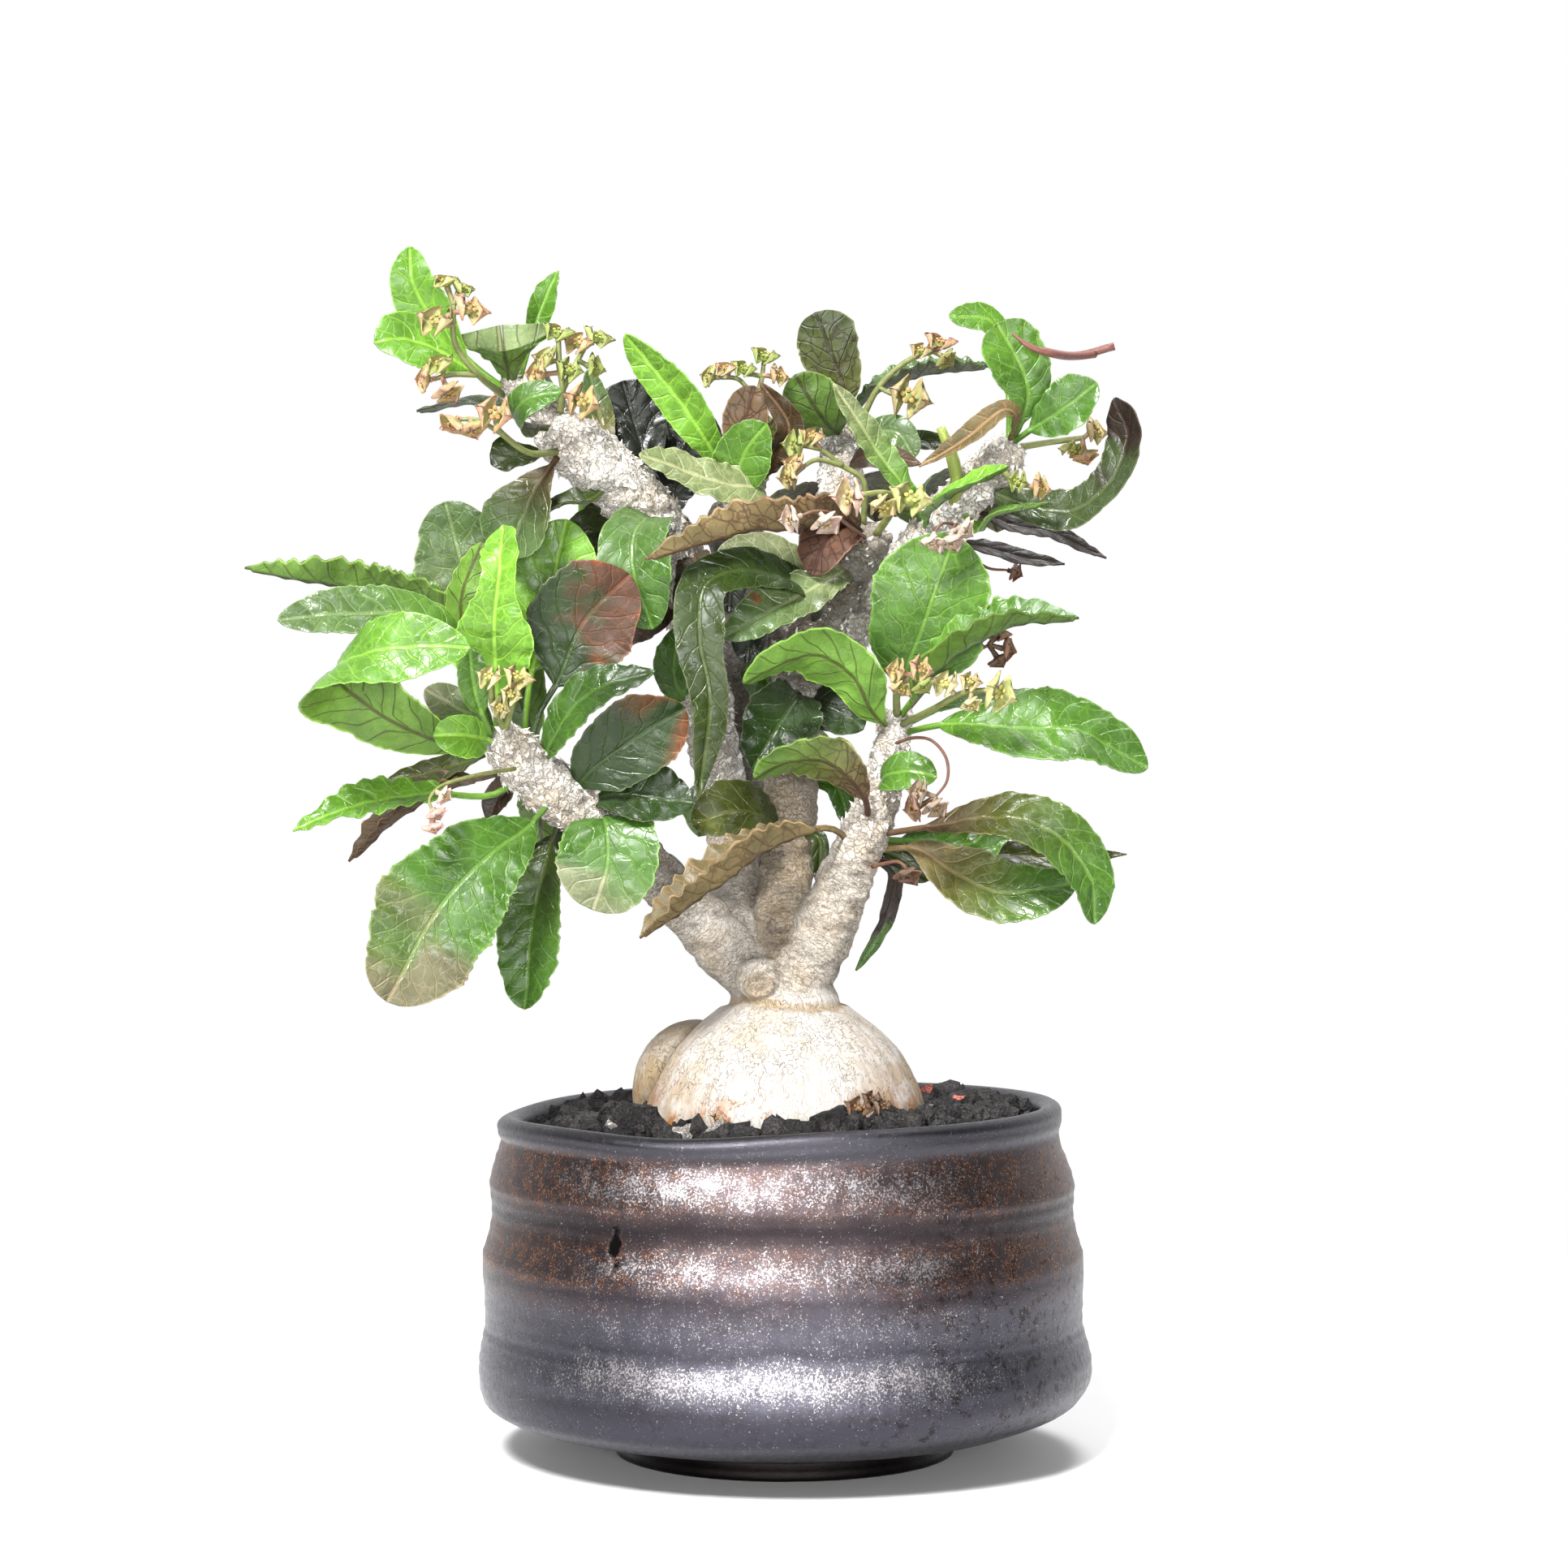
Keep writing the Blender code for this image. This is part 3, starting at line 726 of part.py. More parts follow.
def finished(obj, collection, colour, roughness, metallic=0.0):
    """Puts the object into the plant's collection with its own Principled material and smooth shading."""
    collection.objects.link(obj)
    material = bpy.data.materials.new(obj.name)
    material.use_nodes = True
    shader = material.node_tree.nodes["Principled BSDF"]
    shader.inputs["Base Color"].default_value = (*colour, 1.0)
    shader.inputs["Roughness"].default_value = roughness
    shader.inputs["Metallic"].default_value = metallic
    obj.data.materials.clear()
    obj.data.materials.append(material)
    obj.data.shade_smooth()
    obj.data.set_sharp_from_angle(angle=math.radians(40))
    return obj


def bump(angle, centre, width):
    """1 at the centre and falling away on both sides, by angles in degrees."""
    away = math.remainder(math.degrees(angle) - centre, 360)
    return math.exp(-((away / width) ** 2))


def uneven(angle, radius, height):
    """How far the hand-thrown pot's wall stands out from a true circle."""
    upper = min(1.0, max(0.0, (height - 20) / 45))
    low = min(1.0, max(0.0, (15 - height) / 6)) * min(1.0, max(0.0, (radius - 46) / 6))
    undercut = UNDERCUT * low * max(0.0, math.cos(angle + 0.35))
    pushed = upper * (FRONT_BULGE * bump(angle, -52, 26) - math.cos(angle))
    return OVAL * math.cos(2 * angle + 0.7) + pushed - undercut


def rim_rise(angle):
    """How far the rim stands above its profile: higher at the right, with soft dips front left and left."""
    dips = RIM_DIP * (bump(angle, -112, 20) + 0.9 * bump(angle, 172, 22))
    return RIM_MEAN + RIM_TILT * math.cos(angle) - dips


def thrown(obj, rises):
    """Moves the points of a turned body as the potter's hand did: an uneven plan and a tilted rim."""
    for vert in obj.data.vertices:
        x = vert.co.x / MM - AXIS_X
        y = vert.co.y / MM - AXIS_Y
        z = vert.co.z / MM
        radius = math.hypot(x, y)
        if radius < 36:
            continue
        angle = math.atan2(y, x)
        near_rim = min(1.0, max(0.0, (z - 59) / 7))
        radius += uneven(angle, radius, z)
        z += rim_rise(angle) * near_rim * near_rim * (3 - 2 * near_rim) if rises else 0
        vert.co = Vector((radius * math.cos(angle) + AXIS_X, radius * math.sin(angle) + AXIS_Y, z)) * MM
    return obj


def make_pot(collection):
    foot = [(FOOT_OUTER + 0.4, 1.2), (FOOT_OUTER, 0.0), (FOOT_INNER, 0.0), (FOOT_INNER - 0.4, FOOT_RECESS)]
    underside = [(DRAIN_RADIUS, FOOT_RECESS + 0.4)]
    profile = POT_WALL_PROFILE + foot + underside + POT_INSIDE_PROFILE
    pot = thrown(turned("pot", profile, POT_SIDES, closed=True), rises=True)
    notches = []
    for degrees in FOOT_NOTCHES:
        way = Vector((math.cos(math.radians(degrees)), math.sin(math.radians(degrees)), 0))
        start = Vector((AXIS_X, AXIS_Y, -NOTCH_DROP))
        notch = tube("notch", [start + way * 24, start + way * 38], [NOTCH_RADIUS] * 2, 12)
        notches.append(notch)
    finished(combined(pot, notches, "DIFFERENCE"), collection, (0.13, 0.115, 0.12), 0.32, 0.55)


def caudex_pieces(grow):
    """The swollen base and its rear lobe, grown a little where they cut their own place in the soil."""
    profile = [(r + (grow if r > 0 else 0), z + (grow if z > 60 else -grow)) for r, z in CAUDEX_PROFILE]
    x, y, z = LOBE_CENTRE
    centre = (x + AXIS_X, y + AXIS_Y, z)
    body = turned("caudex", profile, CAUDEX_SIDES, closed=False)
    lobe = ball("lobe", centre, [radius + grow for radius in LOBE_RADII], 12, 9)
    return [body, lobe]


def make_soil(collection):
    """Grit that fills the pot, with a plain hollow for the caudex and stones standing out of its top."""
    inner = [(radius - GAP, height) for radius, height in POT_INSIDE_PROFILE if 15.0 <= height <= 60.0]
    hole, corner = POT_INSIDE_PROFILE[:2]
    floor = [(corner[0] - 0.25, corner[1] + GAP), (hole[0], hole[1] + GAP), (0.0, hole[1] + GAP)]
    outline = SOIL_TOP_PROFILE + inner[::-1] + floor
    soil = thrown(turned("soil", outline, POT_SIDES, closed=False), rises=False)
    rng = random.Random(11)
    stones = []
    places = []
    tries = 0
    while len(places) < STONE_COUNT and tries < 4000:
        tries += 1
        radius = math.sqrt(rng.uniform(STONE_BAND[0] ** 2, STONE_BAND[1] ** 2))
        angle = rng.uniform(-math.pi, math.pi)
        size = rng.uniform(*STONE_RADIUS)
        x = radius * math.cos(angle)
        y = radius * math.sin(angle)
        off_lobe = math.hypot(x - LOBE_CENTRE[0], y - LOBE_CENTRE[1])
        crowded = any(math.hypot(x - px, y - py) < (size + other) * 0.92 for px, py, other in places)
        if crowded or off_lobe < max(LOBE_RADII[:2]) + size + 0.8:
            continue
        places.append((x, y, size))
        stones.append(stone(rng, x, y, size))
    soil = combined(combined(soil, stones, "UNION"), caudex_pieces(GAP), "DIFFERENCE")
    finished(soil, collection, (0.06, 0.058, 0.06), 0.9)


def stone(rng, x, y, size):
    """One angular chip of lava, tilted and sunk to about half its height."""
    mesh = bpy.data.meshes.new("stone")
    shape = bmesh.new()
    bmesh.ops.create_cone(
        shape, cap_ends=True, segments=5, radius1=size, radius2=size * rng.uniform(0.35, 0.6),
        depth=size * STONE_DEPTH,
    )
    tilt = Euler((rng.uniform(-0.4, 0.4), rng.uniform(-0.4, 0.4), rng.uniform(0, math.tau)))
    centre = Vector((x + AXIS_X, y + AXIS_Y, STONE_HEIGHT + rng.uniform(-0.5, 0.6)))
    for vert in shape.verts:
        turned_point = vert.co.copy()
        turned_point.rotate(tilt)
        vert.co = (centre + turned_point) * MM
    shape.to_mesh(mesh)
    shape.free()
    return bpy.data.objects.new("stone", mesh)


def limb_points(points, split, upper):
    """The points and radii of a limb below its split, or of the leafy stem above it, flat ends facing."""
    centres = [spot(point) for point in points]
    radii = [point[3] for point in points]
    way = (centres[split + 1] - centres[split - 1]).normalized()
    if upper:
        start = centres[split] + way * GAP
        return [start, start + way * 1.5] + centres[split + 1:], [radii[split]] * 2 + radii[split + 1:]
    end = centres[split]
    return centres[:split] + [end - way * 1.5, end], radii[:split] + [radii[split]] * 2


def make_caudex(collection):
    body, *pieces = caudex_pieces(0)
    for centre, radius in (SCAR_KNOB, COLLAR_KNOB):
        x, y, z = centre
        pieces.append(ball("knob", (x + AXIS_X, y + AXIS_Y, z), (radius, radius, radius), 8, 6))
    for name, (split, points) in LIMBS.items():
        pieces.append(tube(name, *limb_points(points, split, upper=False)))
    finished(combined(body, pieces, "UNION"), collection, (0.86, 0.82, 0.75), 0.75)


def make_shoot(stem, collection):
    """A leafy stem: the bark, the stubs of side stems, and every leaf that grows from it, in one solid."""
    if stem in LIMBS:
        split, points = LIMBS[stem]
    else:
        _, split, points = FORKS[stem]
    bark = tube("leafy_stem_" + stem, *limb_points(points, split, upper=True))
    pieces = []
    for name, (parent, side_split, side_points) in FORKS.items():
        if parent == stem:
            pieces.append(tube(name, *limb_points(side_points, side_split, upper=False)))
    for parent, twig in TWIGS:
        if parent == stem:
            pieces.append(tube("twig", [spot(point) for point in twig], [point[3] for point in twig], 6))
    pieces += [leaf(record) for record in LEAVES if record[0] == stem]
    finished(combined(bark, pieces, "UNION"), collection, (0.2, 0.36, 0.13), 0.5)


def head(root, base, radius, up):
    """A small bloom: a short stalk that widens into a cup of two pointed bracts round a cushion."""
    side = up.cross(Vector((0.31, 0.2, 0.93))).normalized()
    other = up.cross(side)
    columns = 6 if radius >= 3 else 4
    mesh = bpy.data.meshes.new("head")
    shape = bmesh.new()

    def ring(centre, reach, point_out=0.0, point_up=0.0):
        verts = []
        for i in range(columns):
            angle = math.tau * i / columns
            pointed = i % (columns // 2) == 0
            out = reach * (1 + point_out if pointed else 1 - point_out)
            rise = up * radius * point_up if pointed else Vector()
            beside = (side * math.cos(angle) + other * math.sin(angle)) * out
            verts.append(shape.verts.new((centre + beside + rise) * MM))
        return verts

    start = ring(root, PEDICEL_RADIUS)
    foot = ring(base, PEDICEL_RADIUS)
    rim = ring(base + up * radius * 0.7, radius, 0.13, 0.3)
    hollow = ring(base + up * radius * 0.45, radius * 0.5)
    cushion = shape.verts.new((base + up * radius * 0.8) * MM)
    for i in range(columns):
        j = (i + 1) % columns
        for low, high in ((start, foot), (foot, rim), (rim, hollow)):
            shape.faces.new((low[i], low[j], high[j]))
            shape.faces.new((low[i], high[j], high[i]))
        shape.faces.new((hollow[i], hollow[j], cushion))
    for i in range(1, columns - 1):
        shape.faces.new((start[0], start[i + 1], start[i]))
    bmesh.ops.recalc_face_normals(shape, faces=shape.faces)
    shape.to_mesh(mesh)
    shape.free()
    return bpy.data.objects.new("head", mesh)


def make_spray(name, collection):
    """A spray of blooms on thin stalks, fused at the forks."""
    stalks, heads = SPRAYS[name]
    lines = [[spot(place) for place in places] for _, places in stalks]
    thick = stalks[0][0]
    foot = seated(lines[0][0], lines[0][1], thick)
    for line in lines:
        if line[0] == lines[0][0]:
            line[0] = foot
    pieces = [tube(name, line, [radius] * len(line), 4) for (radius, _), line in zip(stalks, lines)]
    for place, radius, facing, stalk in heads:
        base = spot(place)
        root = nearest_on(lines[stalk], base)
        pieces.append(head(root, base, radius, Vector(facing).normalized()))
    body, *others = pieces
    colour = (0.42, 0.3, 0.2) if name.startswith("dry") else (0.85, 0.66, 0.48)
    finished(combined(body, others, "UNION"), collection, colour, 0.6)


def seated(start, after, radius):
    """The start of a stalk moved to leave GAP between its end and the bark or tip of the nearest limb."""
    found = []
    limbs = [points for _, points in LIMBS.values()] + [points for _, _, points in FORKS.values()]
    for points in limbs + [points for _, points in TWIGS]:
        for near, far in zip(points, points[1:]):
            way = spot(far) - spot(near)
            share = min(1.0, max(0.0, (start - spot(near)).dot(way) / way.length_squared))
            centre = spot(near) + way * share
            bark = near[3] + (far[3] - near[3]) * share
            tip_way = way.normalized() if far is points[-1] and share == 1.0 else None
            found.append(((start - centre).length - bark, centre, bark, tip_way))
    _, centre, bark, tip_way = min(found, key=lambda item: item[0])
    away = start - centre
    beside = Vector()
    if tip_way:
        beside = away - tip_way * away.dot(tip_way)
        beside = beside.normalized() * min(beside.length, bark - radius / 2)
        away = tip_way
        bark = 0
    away = away.normalized()
    return centre + beside + away * (bark + GAP + radius * math.sin(away.angle(after - start)))


def nearest_on(line, point):
    """The point of a line of straight pieces that lies nearest to the given one, clear of its start."""
    best = None
    for start, end in zip(line, line[1:]):
        way = end - start
        share = min(0.97, max(0.15, (point - start).dot(way) / way.length_squared))
        found = start + way * share
        if best is None or (found - point).length < (best - point).length:
            best = found
    return best


def main():
    for obj in list(bpy.data.objects):
        bpy.data.objects.remove(obj)
    plant = bpy.data.collections.new("potted_euphorbia")
    bpy.context.scene.collection.children.link(plant)
    make_pot(plant)
    make_soil(plant)
    make_caudex(plant)
    for stem in [*LIMBS, *FORKS]:
        make_shoot(stem, plant)
    for name in SPRAYS:
        make_spray(name, plant)


main()
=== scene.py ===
"""The potted euphorbia dressed for its picture: pot, grit, bark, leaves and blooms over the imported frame.

Sizes below are in millimetres, and MM turns them into metres. A place on the plant is (x, z, depth), as in
the part: x and z as the camera sees them beside the pot's axis, and depth away from the camera. The scales of
the noises are per millimetre.
"""

import math
import random

import bmesh
import bpy
import numpy as np
from mathutils import Euler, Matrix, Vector, noise


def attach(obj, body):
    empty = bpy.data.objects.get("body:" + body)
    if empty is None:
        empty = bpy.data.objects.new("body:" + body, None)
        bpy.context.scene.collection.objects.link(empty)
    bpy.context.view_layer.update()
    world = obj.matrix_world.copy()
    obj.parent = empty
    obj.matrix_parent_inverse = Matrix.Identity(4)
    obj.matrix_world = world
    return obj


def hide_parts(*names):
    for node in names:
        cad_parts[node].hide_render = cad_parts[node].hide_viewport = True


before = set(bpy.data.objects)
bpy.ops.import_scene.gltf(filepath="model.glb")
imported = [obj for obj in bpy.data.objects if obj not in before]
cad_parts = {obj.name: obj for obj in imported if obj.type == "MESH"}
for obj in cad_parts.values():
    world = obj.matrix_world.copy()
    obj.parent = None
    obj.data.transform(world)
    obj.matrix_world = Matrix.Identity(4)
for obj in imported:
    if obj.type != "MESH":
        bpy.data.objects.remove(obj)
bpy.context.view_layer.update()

MM = 0.001
# The camera's distance from the pot's axis, its height, and where the axis stands.
EYE_DISTANCE = 750.0
EYE_HEIGHT = 138.8
AXIS_X = 16.15
AXIS_Y = -4.59

# Limbs: (index of the point where the bare limb ends and the leafy stem starts, points with their radius).
LIMBS = {
    "left": (4, [
        (-5, 93, 0, 6), (-12, 99, -1, 6.2), (-18.7, 106.5, -3, 5.8), (-26, 113.8, -6, 5.3),
        (-31, 118.3, -9, 5.2), (-37.5, 124, -13, 5.4), (-45, 129.5, -17, 5.6), (-52.3, 136.3, -21, 5.2),
        (-57.6, 141.2, -24, 3.6),
    ]),
    "top_left": (3, [
        (-5, 94, 3, 6), (-9.6, 102, 5, 5.4), (-9.6, 110, 9, 5.2), (-10.2, 119, 13.5, 5.2),
        (-13, 133, 17.5, 5.2), (-16.3, 151.4, 16, 5.3), (-18.7, 167.4, 10, 5.5), (-23, 179, 2, 5.7),
        (-28.5, 186, -4, 6), (-36, 193.5, -9, 6.3), (-42, 198.5, -12, 5.8), (-46.8, 201.8, -14, 4.3),
    ]),
    "front": (3, [
        (-0.3, 94, 0, 6.6), (-0.2, 102, 1, 6), (0, 110, 2, 5.8), (0.4, 118, 4, 5.6),
        (0.8, 126, 6, 5.8), (1.5, 136, 8, 5.4), (2.9, 148.2, 10, 5.4), (5.3, 161, 8, 5),
        (10.5, 169.5, 4, 4.6), (14.5, 175.5, 0, 4.6), (17.8, 181, -4, 3.8),
    ]),
    "right": (4, [
        (2.6, 93, -2, 6.6), (5.5, 98, -3, 6.6), (8.6, 104.5, -4, 6.2), (11, 110, -4.6, 5.8),
        (12.6, 114.4, -5, 5.4), (16, 121.6, -6, 4.9), (19, 130, -6.5, 4.1), (20.9, 137, -7, 3.8),
        (22.1, 145.6, -7.5, 3.2),
    ]),
    "rear": (2, [
        (-3, 94, 4, 6), (-4, 103, 13.5, 5.2), (-5, 112, 22.5, 4.8), (-6.5, 123, 28.5, 4.6),
        (-8.5, 140, 32.5, 4.6), (-10, 160, 36.5, 4.4), (-11, 176, 39.5, 4), (-11.5, 187, 42, 3.2),
    ]),
}
# Side stems: (limb that they fork from, index where the stub ends and the leafy stem starts, points with
# their radius).
FORKS = {
    "inner": ("front", 2, [
        (2.6, 147, 10, 3.8), (0.4, 153.5, 15.5, 3.5), (-0.8, 157, 17.8, 3.4), (-2.5, 164, 19.5, 3.4),
        (-5, 174, 17, 3.2), (-8.5, 184, 11, 3.2), (-10.5, 190, 8, 2.8),
    ]),
    "back": ("front", 2, [
        (2.9, 146, 11, 4.6), (6, 153, 19.5, 4.6), (7.2, 158.5, 24, 4.5), (8.4, 167, 28.5, 4.4),
        (10.2, 184, 32.5, 4.4), (11.3, 197, 34.5, 4.6), (11.7, 203, 35, 3.8),
    ]),
    "upper_right": ("front", 2, [
        (4, 154, 9, 4.8), (12, 160.5, 13, 4.5), (15.8, 164.5, 14.6, 4.4), (22, 172.5, 15, 4.4),
        (29.5, 182, 11, 4.5), (37.3, 189.8, 6.5, 4.7), (42.6, 195.8, 2.5, 4.4), (44.6, 199, 1.5, 3.2),
    ]),
}
# Growths without a blade: (stem, points with their radius). The first is a second tip beside the thick end of
# a limb, and is part of the bark. The others are young shoots and old twigs.
TWIGS = [
    ("top_left", [
        (-41, 198.5, -9, 4.4), (-47, 205, -10, 3.6), (-52, 208, -13, 3.2), (-56.3, 209.6, -15, 2.6),
    ]),
    ("upper_right", [
        (32, 184.5, 9.5, 1.4), (33.8, 189.5, 2, 1.3), (33.2, 195, 0, 1.3), (30.7, 201.6, -1, 0.9),
    ]),
    ("upper_right", [
        (44.6, 198.2, 2.5, 0.9), (44.8, 209, 9, 0.8), (45.4, 215.5, 10, 0.8), (48.5, 217, 9, 0.8),
        (57, 215.7, 6, 0.8), (65, 217.6, 5, 0.8),
    ]),
]

